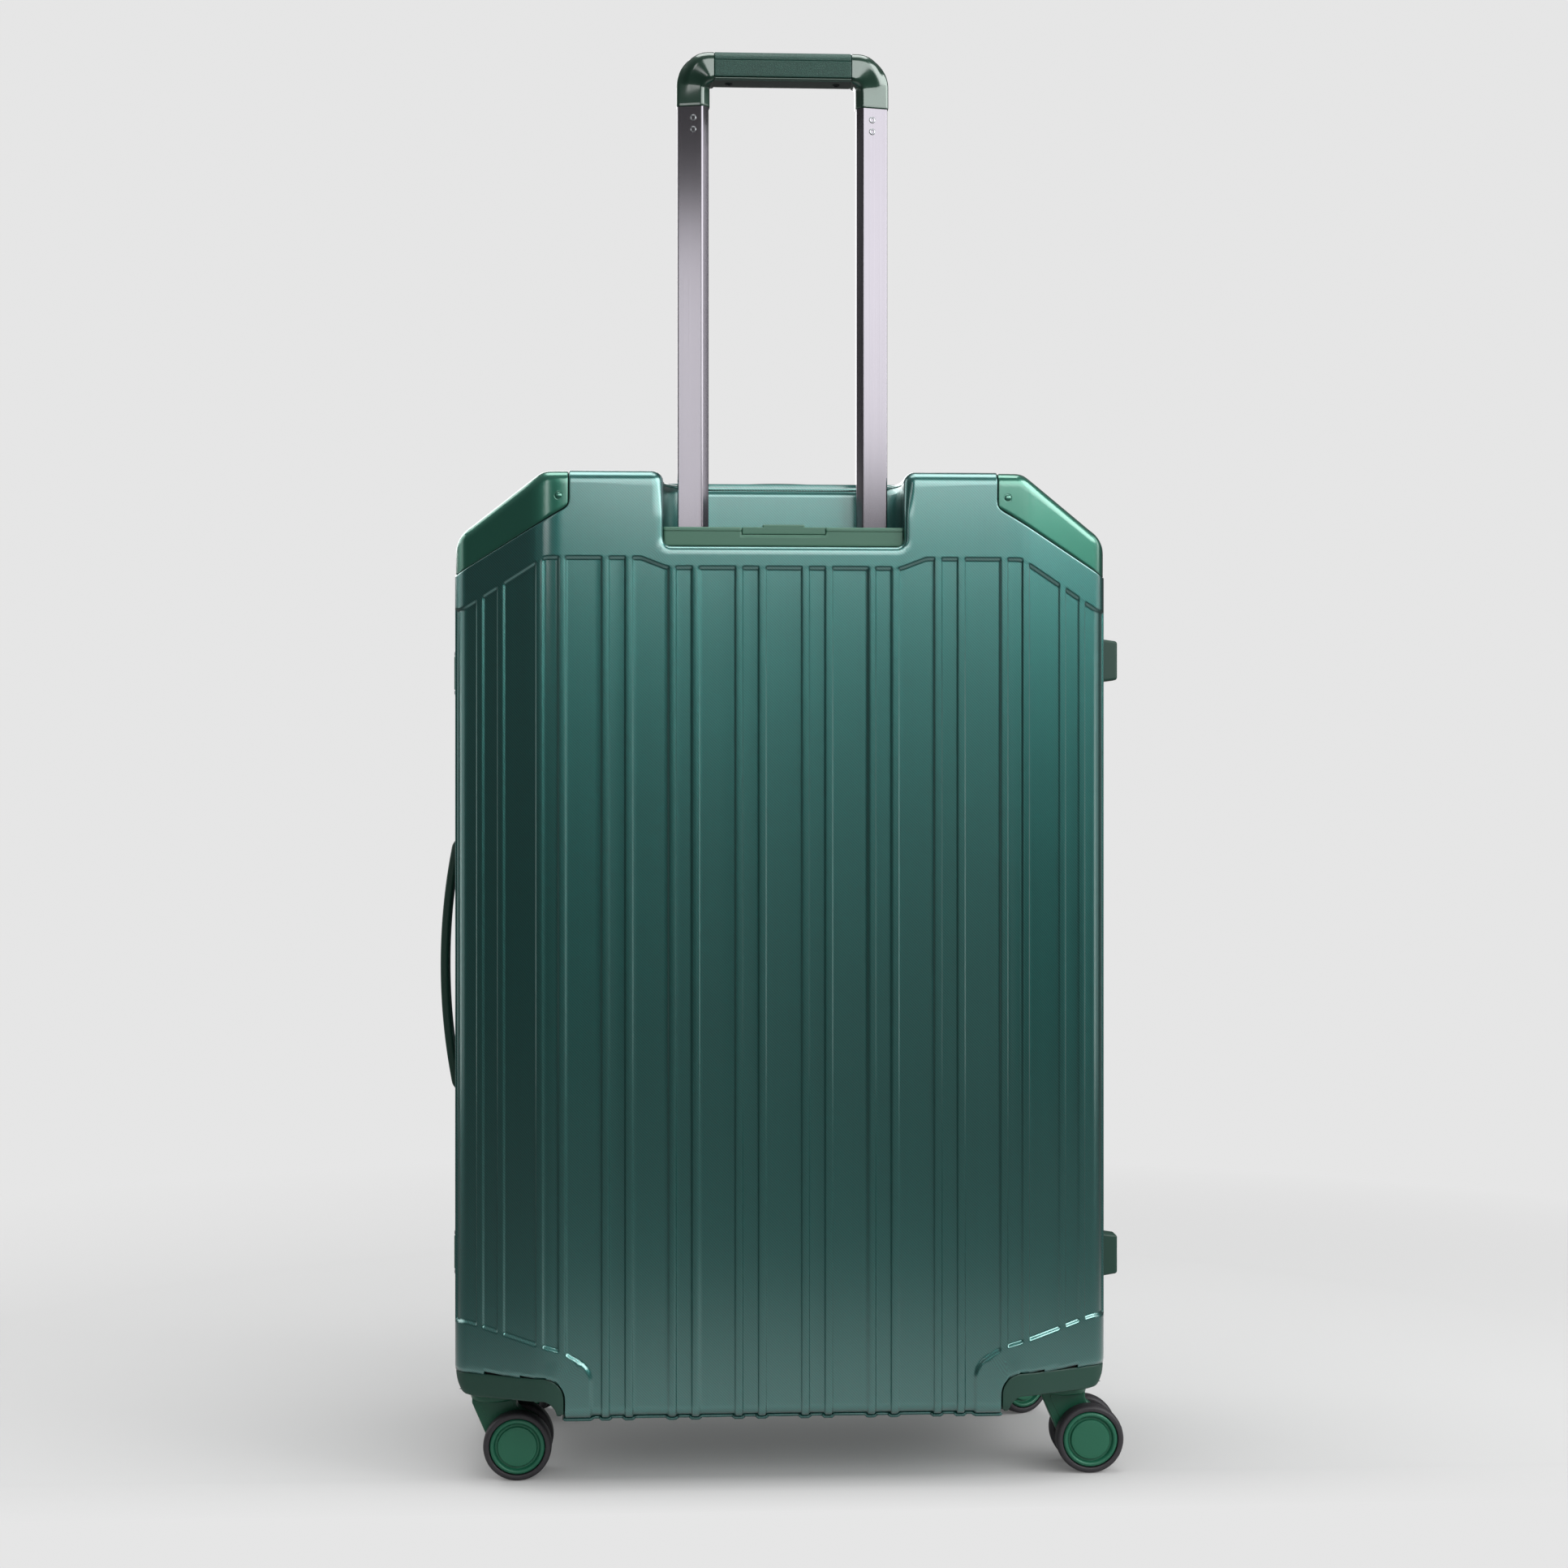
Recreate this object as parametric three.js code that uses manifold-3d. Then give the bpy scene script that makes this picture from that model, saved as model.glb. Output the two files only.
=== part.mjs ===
// Hard shell suitcase on four twin-wheel casters, with an aluminium closing frame and a trolley.
// Units are millimetres, +Z is up. The origin is on the floor under the middle of the case.
// The trolley side faces -Y, the latches and the side handle are on -X, the hinges on +X.

import * as THREE from 'three';
import { mergeVertices } from 'three/addons/utils/BufferGeometryUtils.js';
import Module from 'manifold-3d';

// ---------------------------------------------------------------- driving dimensions

// Fits and tolerances
const GAP = 0.3;                  // between parts that rest on each other
const RUNNING_GAP = 0.5;          // between parts that slide or turn
const ARC_STEP = Math.PI / 9;     // coarsest step of a rounded corner
const THROUGH = 20;               // how far a cutter runs past what it cuts

// Body outline, seen from the back
const HALF_WIDTH = 224;
const HALF_DEPTH = 142;
const BODY_BOTTOM = 50;
const BODY_TOP = 690;
const SLOPE_START_X = HALF_WIDTH - 61.5;    // where the sloped top corner leaves the top
const SLOPE_END_Z = BODY_TOP - 44;          // where it would meet the side
const TOP_CORNER_RADIUS = 14;
const SIDE_CORNER_RADIUS = 22;
const BOTTOM_CORNER_RADIUS = 30;

// Body outline, seen from above and from the side
const FACE_HALF_WIDTH = HALF_WIDTH - 62;    // the flat face; a facet falls away beyond it
const FACET_ANGLE = THREE.MathUtils.degToRad(24);
const FACET_SOFT_RADIUS = 60;
const FACET_SIDE_RADIUS = 16;
const FACE_EDGE_RADIUS = 8;

// Shell walls, raised border and ribs
const RIB_HEIGHT = 1.6;
const WALL = 2.6;
const RIB_TOP_WIDTH = 4.4;
const RIB_SIDE_SLOPE = 0.6;       // extra half width for each millimetre of depth
const RIB_PAIR_PITCH = 45;
const RIB_PAIR_GAP = 15.8;
const RIB_PAIRS_PER_SIDE = 7;
const RIB_ROOT = 1;               // how far a rib reaches into the wall below it
const FIELD_TOP = BODY_TOP - 59.5;
const FIELD_UNDER_RECESS = 15;    // border below the recess
const FIELD_STEP_OUT = 6.7;       // the border steps up this far beside the recess
const FIELD_SIDE_TOP = FIELD_TOP - 33.5;
const FIELD_SIDE_BOTTOM = BODY_BOTTOM + 61;
const FIELD_CORNER_BOTTOM = BODY_BOTTOM + 46;
const FIELD_LEG_X = HALF_WIDTH - 94;        // the ribbed field runs under the case between these
const RIM_BAND = 22;              // plain border next to the frame

// Closing frame
const RAIL_PROUD = 1.2;
const RAIL_DEPTH = 12.6;
const RAIL_INNER = 6.2;
const RAIL_FLANGE = 0.9;
const RIM_GROOVE_WEB = 6.7;       // the shell's edge stops this far from the parting plane
const SEAL_GROOVE_OUTER = 2;
const SEAL_GROOVE_INNER = 5;
const SEAL_GROOVE_DEPTH = 3.2;
const SEAL_THICKNESS = 1.7;
const TONGUE_SIDE_GAP = 0.6;
const TONGUE_DEPTH = 1;

// Top corner guards
const GUARD_INNER_X = HALF_WIDTH - 79;
const GUARD_EDGE_Z = BODY_TOP - 24.8;
const GUARD_SIDE_Z = BODY_TOP - 69;
const GUARD_CORNER_RADIUS = 7;
const GUARD_SUNK = 0.6;
const GUARD_THICKNESS = 1.6;
const GUARD_RIVET_RADIUS = 2.5;
const GUARD_RIVET_HEIGHT = 0.6;
const GUARD_RIVET_INSET = 7;

// Wheel housings and casters
const HOUSING_INNER_X = HALF_WIDTH - 76.2;
const HOUSING_TOP = BODY_BOTTOM + 27.8;
const HOUSING_CORNER_RADIUS = 14;
const HOUSING_FLOOR = BODY_BOTTOM + 12;
const HOUSING_LIP = 4;
const HOUSING_WALL = 3;
const HOUSING_ARCH_RADIUS = 10;
const SWIVEL_X = HALF_WIDTH - 26;
const SWIVEL_Y = HALF_DEPTH - 55;
const WHEEL_RADIUS = 23.5;
const WHEEL_WIDTH = 13;
const WHEEL_TRACK = 29;
const HUB_RADIUS = 19;
const HUB_FLOOR = 4;              // closed outer end of the hub's bore
const CAP_RADIUS = 13.8;
const TRAIL = 16.5;
const AXLE_RADIUS = 2.5;
const STEM_RADIUS = 5;
const STEM_LENGTH = 11;
const FORK_DISC_RADIUS = 18.4;
const FORK_DISC_THICKNESS = 5;
const FORK_COLLAR_RADIUS = 16.4;
const FORK_COLLAR_THICKNESS = 3.5;
const FORK_BOSS_RADIUS = 11;
const CASTER_ANGLES = {           // direction of the trail at rest, degrees from +X
  back_left: 0,
  back_right: 0,
  front_left: -20,
  front_right: 210,
};

// Trolley recess and trolley
const TUBE_X = 61.2;
const TUBE_Y = 24 - HALF_DEPTH;
const RECESS_HALF_WIDTH = TUBE_X + 20.1;
const RECESS_FLOOR = BODY_TOP - 51;
const RECESS_DEPTH = 52;
const RECESS_FLOOR_RADIUS = 5;
const RECESS_BACK_RADIUS = 18;
const RECESS_SHOULDER_RADIUS = 8;
const RECESS_WALL_TOP = BODY_TOP - 5.3;
const TUBE_WALL = 1.2;
const OUTER_TUBE_WALL = 1.3;
const TROLLEY_TRAVEL = 287.5;
const BEZEL_HEIGHT = 12.8;
const GRIP_BOTTOM = RECESS_FLOOR + 2 * GAP + BEZEL_HEIGHT + TROLLEY_TRAVEL + 0.1;
const GRIP_TOP = GRIP_BOTTOM + 36.8;
const GRIP_BAR_BOTTOM = GRIP_BOTTOM + 17;
const GRIP_LEG_WIDTH = 22;
const GRIP_HALF_WIDTH = TUBE_X + GRIP_LEG_WIDTH / 2;
const TUBE_TOP = GRIP_BOTTOM + 11;
const TUBE_OVERLAP = 79;          // what stays in the outer tube when pulled out
const TUBE_BOTTOM = RECESS_FLOOR - TUBE_OVERLAP;
const OUTER_TUBE_BOTTOM = TUBE_BOTTOM - TROLLEY_TRAVEL - 10.5;
const GRIP_DEPTH = 23;
const GRIP_ELBOW_RADIUS = 22;
const GRIP_INNER_RADIUS = 5;
const GRIP_BEVEL = 4;
const WRAP_HALF_LENGTH = 46.8;
const WRAP_THICKNESS = 1.8;
const WRAP_BOTTOM = GRIP_BAR_BOTTOM + WRAP_THICKNESS;
const BUTTON_LENGTH = 30;
const BUTTON_WIDTH = 8;
const BUTTON_HEIGHT = 7;
const BUTTON_TRAVEL = 2.5;
const BUTTON_PROUD = 0.4;
const BEZEL_FRONT = 5 - HALF_DEPTH;
const BEZEL_CORNER_RADIUS = 3.5;
const INSERT_HALF_WIDTH = 28.3;
const INSERT_HEIGHT = 5;
const INSERT_DEPTH = 9;
const INSERT_TAB_HALF_WIDTH = 14.3;
const INSERT_TAB_HEIGHT = 1.7;

// Carry handles; heights are counted from the floor of the pan that the handle lies in
const HANDLE_Y = 94 - HALF_DEPTH;
const SIDE_HANDLE_Z = (BODY_TOP + BODY_BOTTOM) / 2 - 19;
const HANDLE_APEX = 16;
const HANDLE_BOW_RADIUS = 420;
const HANDLE_THICKNESS = 5.5;
const HANDLE_WIDTH = 22;
const HANDLE_HALF_LENGTH = 90;
const HANDLE_LEG_WIDTH = 18;
const HANDLE_LEG_THICKNESS = 6;
const HANDLE_FOOT_LENGTH = 13;
const HANDLE_FOOT_THICKNESS = 3;
const HANDLE_TRAVEL = 8;
const SIDE_HANDLE_REACH = HALF_WIDTH + 14;  // outermost point of the side handle
const TOP_HANDLE_REACH = BODY_TOP + 1;
const PAN_HALF_LENGTH = 98;
const PAN_HALF_WIDTH = 24;
const PAN_RADIUS = 10;
const PAN_BORDER = 7;
const WELL_HALF_LENGTH = 52;
const WELL_HALF_WIDTH = 18;
const WELL_DEPTH = 8.5;

// Side feet, latches and hinges
const FOOT_HEIGHTS = { lower: BODY_BOTTOM + 97, upper: BODY_TOP - 125 };
const FOOT_PROUD = 14;
const FOOT_LENGTH = 31.5;
const FOOT_WIDTH = 19;
const FOOT_TAPER = 2.2;
const CLASP_HEIGHTS = { lower: BODY_BOTTOM + 91, upper: BODY_TOP - 132 };
const LATCH_HEIGHT = 31;
const LATCH_PLATE = 1.4;
const LATCH_PIVOT_X = -HALF_WIDTH - 5.4;
const LATCH_PIVOT_Y = -RAIL_DEPTH - 3.4;
const LATCH_KNUCKLE_RADIUS = 2.3;
const LATCH_PIN_RADIUS = 1;
const LATCH_LEVER_THICKNESS = 2.6;
const LATCH_LEVER_END = 18;
const LATCH_EAR = 3;
const HINGE_X = HALF_WIDTH + 5.8;
const HINGE_RADIUS = 3.2;
const HINGE_PIN_RADIUS = 1.5;
const HINGE_HEIGHT = 60;
const HINGE_KNUCKLE = 18;         // outer knuckles; the middle one takes the rest
const HINGE_PLATE = 1.4;

// Colours
const SHELL_GREEN = { color: 0x2c6c62, roughness: 0.42, metalness: 0.35 };
const TRIM_GREEN = { color: 0x17684c, roughness: 0.38, metalness: 0.4 };
const BEZEL_GREEN = { color: 0x47725f, roughness: 0.5, metalness: 0.2 };
const GRIP_GREEN = { color: 0x1d4a40, roughness: 0.7, metalness: 0 };
const ALUMINIUM = { color: 0xb9b4bb, roughness: 0.35, metalness: 0.9 };
const STEEL = { color: 0x9a9da0, roughness: 0.3, metalness: 1 };
const TYRE_GREY = { color: 0x2f2d31, roughness: 0.75, metalness: 0 };
const SEAL_BLACK = { color: 0x1b1d1d, roughness: 0.8, metalness: 0 };

const CAVITY_INSET = RIB_HEIGHT + WALL;
const SHELL_RIM = -RIM_GROOVE_WEB - GAP;
const TRIM_RIM = -RAIL_DEPTH - GAP;
const HOUSING_RIM = TRIM_RIM - WALL - GAP;

// ---------------------------------------------------------------- solids

const wasm = await Module();
wasm.setup();

function toSolid(geometry) {
  const bare = geometry.clone();
  bare.deleteAttribute('normal');
  bare.deleteAttribute('uv');
  const merged = mergeVertices(bare, 1e-4);
  return new wasm.Manifold(new wasm.Mesh({
    numProp: 3,
    vertProperties: Float32Array.from(merged.attributes.position.array),
    triVerts: Uint32Array.from(merged.index.array),
  }));
}

function toGeometry(solid) {
  const mesh = solid.getMesh();
  const geometry = new THREE.BufferGeometry();
  geometry.setAttribute('position', new THREE.BufferAttribute(mesh.vertProperties, mesh.numProp));
  geometry.setIndex(new THREE.BufferAttribute(mesh.triVerts, 1));
  const faceted = geometry.toNonIndexed();
  faceted.computeVertexNormals();
  return faceted;
}

const join = (first, ...rest) => rest.reduce((sum, solid) => sum.add(solid), first);
const cut = (first, ...rest) => rest.reduce((left, solid) => left.subtract(solid), first);
const common = (first, ...rest) => rest.reduce((shared, solid) => shared.intersect(solid), first);

function transformed(geometry, matrix) {
  const copy = geometry.index ? geometry.toNonIndexed() : geometry.clone();
  copy.applyMatrix4(matrix);
  if (matrix.determinant() < 0) {
    const position = copy.attributes.position;
    const corner = new THREE.Vector3();
    const other = new THREE.Vector3();
    for (let i = 0; i < position.count; i += 3) {
      corner.fromBufferAttribute(position, i + 1);
      other.fromBufferAttribute(position, i + 2);
      position.setXYZ(i + 1, other.x, other.y, other.z);
      position.setXYZ(i + 2, corner.x, corner.y, corner.z);
    }
    copy.computeVertexNormals();
  }
  return copy;
}

const moved = (geometry, x, y, z) => transformed(geometry, new THREE.Matrix4().makeTranslation(x, y, z));
const mirrorX = (geometry) => transformed(geometry, new THREE.Matrix4().makeScale(-1, 1, 1));
const mirrorY = (geometry) => transformed(geometry, new THREE.Matrix4().makeScale(1, -1, 1));

function box(x0, x1, y0, y1, z0, z1) {
  const geometry = new THREE.BoxGeometry(x1 - x0, y1 - y0, z1 - z0);
  return toSolid(geometry.translate((x0 + x1) / 2, (y0 + y1) / 2, (z0 + z1) / 2));
}

// A cylinder between two heights along Z, and one between two depths along Y.
function roundZ(radius, x, y, z0, z1, segments = 16) {
  const geometry = new THREE.CylinderGeometry(radius, radius, z1 - z0, segments);
  return toSolid(geometry.rotateX(Math.PI / 2).translate(x, y, (z0 + z1) / 2));
}

function roundY(radius, x, z, y0, y1, segments = 16) {
  const geometry = new THREE.CylinderGeometry(radius, radius, y1 - y0, segments);
  return toSolid(geometry.translate(x, (y0 + y1) / 2, z));
}

// ---------------------------------------------------------------- outlines

// Corners are [a, b, radius], counter-clockwise. Each edge moves inwards by the inset.
function insetCorners(corners, inset) {
  const count = corners.length;
  const lines = corners.map(([ax, ay], i) => {
    const [bx, by] = corners[(i + 1) % count];
    const length = Math.hypot(bx - ax, by - ay);
    const direction = [(bx - ax) / length, (by - ay) / length];
    return { point: [ax - direction[1] * inset, ay + direction[0] * inset], direction };
  });
  return corners.map(([, , radius = 0], i) => {
    const before = lines[(i + count - 1) % count];
    const after = lines[i];
    const turn = before.direction[0] * after.direction[1] - before.direction[1] * after.direction[0];
    const dx = after.point[0] - before.point[0];
    const dy = after.point[1] - before.point[1];
    const along = (dx * after.direction[1] - dy * after.direction[0]) / turn;
    const x = before.point[0] + before.direction[0] * along;
    const y = before.point[1] + before.direction[1] * along;
    const newRadius = radius === 0 ? 0 : Math.max(radius - Math.sign(turn) * inset, 0);
    return [x, y, newRadius];
  });
}

function roundedShape(corners, step = ARC_STEP) {
  const count = corners.length;
  const points = [];
  corners.forEach(([x, y, radius = 0], i) => {
    if (radius < 0.05) {
      points.push(new THREE.Vector2(x, y));
      return;
    }
    const [px, py] = corners[(i + count - 1) % count];
    const [nx, ny] = corners[(i + 1) % count];
    const inward = Math.atan2(y - py, x - px);
    const outward = Math.atan2(ny - y, nx - x);
    const turn = Math.atan2(Math.sin(outward - inward), Math.cos(outward - inward));
    const tangent = radius * Math.tan(Math.abs(turn) / 2);
    const side = Math.sign(turn);
    const startX = x - Math.cos(inward) * tangent;
    const startY = y - Math.sin(inward) * tangent;
    const centreX = startX - Math.sin(inward) * radius * side;
    const centreY = startY + Math.cos(inward) * radius * side;
    const steps = Math.max(1, Math.ceil(Math.abs(turn) / step - 1e-6));
    for (let k = 0; k <= steps; k += 1) {
      const angle = inward + (turn * k) / steps - (side * Math.PI) / 2;
      points.push(new THREE.Vector2(
        centreX + Math.cos(angle) * radius,
        centreY + Math.sin(angle) * radius,
      ));
    }
  });
  return new THREE.Shape(points);
}

const flat = (shape, depth) => new THREE.ExtrudeGeometry(shape, { depth, bevelEnabled: false });
const X_AXIS = new THREE.Vector3(1, 0, 0);
const Y_AXIS = new THREE.Vector3(0, 1, 0);
const Z_AXIS = new THREE.Vector3(0, 0, 1);
const ACROSS = new THREE.Matrix4().makeBasis(Y_AXIS, Z_AXIS, X_AXIS);

// An outline drawn in (x, z) and run along Y, one in (x, y) along Z, one in (y, z) along X.
const alongY = (shape, y0, y1) => toSolid(flat(shape, y1 - y0).rotateX(Math.PI / 2).translate(0, y1, 0));
const alongZ = (shape, z0, z1) => toSolid(flat(shape, z1 - z0).translate(0, 0, z0));
const alongX = (shape, x0, x1) => toSolid(transformed(flat(shape, x1 - x0), ACROSS).translate(x0, 0, 0));

const rectangle = (x0, x1, y0, y1, radius = 0) => roundedShape([
  [x0, y0, radius],
  [x1, y0, radius],
  [x1, y1, radius],
  [x0, y1, radius],
]);

// ---------------------------------------------------------------- body form

const BACK_OUTLINE = [
  [-HALF_WIDTH, BODY_BOTTOM, BOTTOM_CORNER_RADIUS],
  [HALF_WIDTH, BODY_BOTTOM, BOTTOM_CORNER_RADIUS],
  [HALF_WIDTH, SLOPE_END_Z, SIDE_CORNER_RADIUS],
  [SLOPE_START_X, BODY_TOP, TOP_CORNER_RADIUS],
  [-SLOPE_START_X, BODY_TOP, TOP_CORNER_RADIUS],
  [-HALF_WIDTH, SLOPE_END_Z, SIDE_CORNER_RADIUS],
];

const FACET_DROP = (HALF_WIDTH - FACE_HALF_WIDTH) * Math.tan(FACET_ANGLE);
const FACET_LENGTH = (HALF_WIDTH - FACE_HALF_WIDTH) / Math.cos(FACET_ANGLE);
const PLAN_OUTLINE = [
  [-HALF_WIDTH, HALF_DEPTH],
  [-HALF_WIDTH, FACET_DROP - HALF_DEPTH, FACET_SIDE_RADIUS],
  [-FACE_HALF_WIDTH, -HALF_DEPTH, FACET_SOFT_RADIUS],
  [FACE_HALF_WIDTH, -HALF_DEPTH, FACET_SOFT_RADIUS],
  [HALF_WIDTH, FACET_DROP - HALF_DEPTH, FACET_SIDE_RADIUS],
  [HALF_WIDTH, HALF_DEPTH],
];

const SIDE_OUTLINE = [
  [-HALF_DEPTH, BODY_BOTTOM, FACE_EDGE_RADIUS],
  [HALF_DEPTH, BODY_BOTTOM],
  [HALF_DEPTH, BODY_TOP],
  [-HALF_DEPTH, BODY_TOP, FACE_EDGE_RADIUS],
];

// The back half of the body, its surface moved inwards by the inset, from the face to a rim.
function bodyForm(inset, rim) {
  const outline = roundedShape(insetCorners(BACK_OUTLINE, inset));
  const plan = roundedShape(insetCorners(PLAN_OUTLINE, inset));
  const side = roundedShape(insetCorners(SIDE_OUTLINE, inset));
  return common(
    alongY(outline, -HALF_DEPTH - THROUGH, rim),
    alongZ(plan, BODY_BOTTOM - THROUGH, BODY_TOP + THROUGH),
    alongX(side, -HALF_WIDTH - THROUGH, HALF_WIDTH + THROUGH),
  );
}

// A ring that follows the outline of the body between two insets.
function frameRing(outer, inner, y0, y1) {
  return cut(
    alongY(roundedShape(insetCorners(BACK_OUTLINE, outer)), y0, y1),
    alongY(roundedShape(insetCorners(BACK_OUTLINE, inner)), y0 - 1, y1 + 1),
  );
}

// ---------------------------------------------------------------- ribs and border

// A place on the plan outline at a length measured from the middle of the face.
function planPlace(length) {
  if (length < FACE_HALF_WIDTH) {
    return { x: length, y: -HALF_DEPTH, angle: 0 };
  }
  const past = length - FACE_HALF_WIDTH;
  if (past < FACET_LENGTH) {
    const x = FACE_HALF_WIDTH + past * Math.cos(FACET_ANGLE);
    const y = -HALF_DEPTH + past * Math.sin(FACET_ANGLE);
    return { x, y, angle: FACET_ANGLE };
  }
  return { x: HALF_WIDTH, y: FACET_DROP - HALF_DEPTH + past - FACET_LENGTH, angle: Math.PI / 2 };
}

// Depth of the gap between rib pairs that is nearest the middle of a half's side wall.
function sideGapDepth() {
  const gaps = Array.from({ length: RIB_PAIRS_PER_SIDE }, (_, k) => -planPlace(RIB_PAIR_PITCH * (k + 1)).y);
  return gaps.reduce((best, y) => (Math.abs(y - HALF_DEPTH / 2) < Math.abs(best - HALF_DEPTH / 2) ? y : best));
}

function ribSection(above) {
  const root = RIB_HEIGHT + RIB_ROOT;
  const wide = RIB_TOP_WIDTH / 2 + RIB_SIDE_SLOPE * root;
  const narrow = RIB_TOP_WIDTH / 2 - RIB_SIDE_SLOPE * above;
  return [[-narrow, -above], [narrow, -above], [wide, root], [-wide, root]];
}

function uprightRib(length, side) {
  const place = planPlace(length);
  const cos = Math.cos(place.angle);
  const sin = Math.sin(place.angle);
  const corners = ribSection(1).map(([a, b]) => {
    const x = place.x + a * cos - b * sin;
    return new THREE.Vector2(side * x, place.y + a * sin + b * cos);
  });
  const shape = new THREE.Shape(side > 0 ? corners : corners.reverse());
  return alongZ(shape, BODY_BOTTOM, FIELD_TOP + RIB_HEIGHT);
}

function undersideRib(x) {
  const corners = ribSection(1).map(([a, b]) => new THREE.Vector2(x + a, BODY_BOTTOM + b));
  return alongY(new THREE.Shape(corners), -HALF_DEPTH, -RIM_BAND + 1);
}

function ribs() {
  const solids = [];
  for (let pair = 0; pair < RIB_PAIRS_PER_SIDE; pair += 1) {
    for (const offset of [-RIB_PAIR_GAP / 2, RIB_PAIR_GAP / 2]) {
      const length = RIB_PAIR_PITCH * (pair + 0.5) + offset;
      for (const side of [-1, 1]) {
        solids.push(uprightRib(length, side));
        if (length < FIELD_LEG_X) {
          solids.push(undersideRib(side * length));
        }
      }
    }
  }
  return join(...solids);
}

// The ribbed field: the area where the surface lies a rib's height below the border.
function field(topMiddle) {
  const past = HALF_WIDTH + THROUGH;
  const below = BODY_BOTTOM - THROUGH;
  const step = (FIELD_TOP - topMiddle) * 1.3;
  const stepX = RECESS_HALF_WIDTH + FIELD_STEP_OUT;
  const right = [
    [FIELD_LEG_X, below],
    [FIELD_LEG_X, FIELD_CORNER_BOTTOM - 12, 16],
    [FIELD_LEG_X + 20, FIELD_CORNER_BOTTOM, 12],
    [HALF_WIDTH - 10, FIELD_SIDE_BOTTOM + 1, 20],
    [past, FIELD_SIDE_BOTTOM],
    [past, FIELD_SIDE_TOP],
    [HALF_WIDTH - 6, FIELD_SIDE_TOP, 20],
    [SLOPE_START_X - 1, FIELD_TOP, 8],
    [stepX + step, FIELD_TOP, 6],
    [stepX - step, topMiddle, 6],
  ];
  const corners = topMiddle < FIELD_TOP ? right : right.slice(0, -2);
  const left = corners.map(([x, z, radius]) => [-x, z, radius]).reverse();
  return alongY(roundedShape([...corners, ...left]), -HALF_DEPTH - THROUGH, -RIM_BAND);
}

// ---------------------------------------------------------------- seats cut into the shell

function guardRegion(inset, rim) {
  const past = HALF_WIDTH + THROUGH;
  const slope = (GUARD_EDGE_Z - GUARD_SIDE_Z) / (HALF_WIDTH - 2 - GUARD_INNER_X);
  const corners = [
    [past, GUARD_SIDE_Z],
    [past, BODY_TOP + THROUGH],
    [GUARD_INNER_X, BODY_TOP + THROUGH],
    [GUARD_INNER_X, GUARD_EDGE_Z, GUARD_CORNER_RADIUS],
    [GUARD_INNER_X + (GUARD_EDGE_Z - GUARD_SIDE_Z) / slope, GUARD_SIDE_Z],
  ];
  return alongY(roundedShape(insetCorners(corners, inset)), -HALF_DEPTH - THROUGH, rim);
}

function housingRegion(inset, rim) {
  const past = HALF_WIDTH + THROUGH;
  const corners = [
    [HOUSING_INNER_X, BODY_BOTTOM - THROUGH],
    [past, BODY_BOTTOM - THROUGH],
    [past, HOUSING_TOP],
    [HOUSING_INNER_X, HOUSING_TOP, HOUSING_CORNER_RADIUS],
  ];
  return alongY(roundedShape(insetCorners(corners, inset)), -HALF_DEPTH - THROUGH, rim);
}

function recessForm(inset) {
  const half = RECESS_HALF_WIDTH - inset;
  const floor = RECESS_FLOOR + inset;
  const wide = half + 4 * RECESS_SHOULDER_RADIUS;
  const front = [
    [-half, floor, RECESS_FLOOR_RADIUS],
    [half, floor, RECESS_FLOOR_RADIUS],
    [half, BODY_TOP, inset === 0 ? RECESS_SHOULDER_RADIUS : 0],
    [wide, BODY_TOP],
    [wide, BODY_TOP + THROUGH],
    [-wide, BODY_TOP + THROUGH],
    [-wide, BODY_TOP],
    [-half, BODY_TOP, inset === 0 ? RECESS_SHOULDER_RADIUS : 0],
  ];
  const backWall = RECESS_DEPTH - HALF_DEPTH - inset;
  const plan = [
    [-wide, -HALF_DEPTH - THROUGH],
    [wide, -HALF_DEPTH - THROUGH],
    [wide, backWall - RECESS_BACK_RADIUS],
    [half, backWall - RECESS_BACK_RADIUS],
    [half, backWall, RECESS_BACK_RADIUS - 1],
    [-half, backWall, RECESS_BACK_RADIUS - 1],
    [-half, backWall - RECESS_BACK_RADIUS],
    [-wide, backWall - RECESS_BACK_RADIUS],
  ];
  return common(
    alongY(roundedShape(front), -HALF_DEPTH - THROUGH, backWall),
    alongZ(roundedShape(plan), RECESS_FLOOR - THROUGH, BODY_TOP + THROUGH),
  );
}

function recessTub() {
  const half = RECESS_HALF_WIDTH + WALL;
  return box(-half, half, -HALF_DEPTH, RECESS_DEPTH - HALF_DEPTH + WALL, RECESS_FLOOR - WALL, BODY_TOP);
}

// The top between the trolley recess and the frame lies a little lower than the shoulders.
function topDip() {
  const start = RECESS_DEPTH - HALF_DEPTH - RECESS_BACK_RADIUS;
  return box(-RECESS_HALF_WIDTH, RECESS_HALF_WIDTH, start, -RIM_BAND - 2, RECESS_WALL_TOP, BODY_TOP + THROUGH);
}

// ---------------------------------------------------------------- carry handles

// Local frame: x along the handle, z outwards from the floor of the pan.
function handlePlacement(onTop) {
  if (onTop) {
    return new THREE.Matrix4().makeTranslation(0, HANDLE_Y, TOP_HANDLE_REACH - HANDLE_APEX);
  }
  const turn = new THREE.Matrix4().makeBasis(Z_AXIS, Y_AXIS, X_AXIS.clone().negate());
  return turn.setPosition(HANDLE_APEX - SIDE_HANDLE_REACH, HANDLE_Y, SIDE_HANDLE_Z);
}

const placed = (solid, matrix) => toSolid(transformed(toGeometry(solid), matrix));

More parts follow.
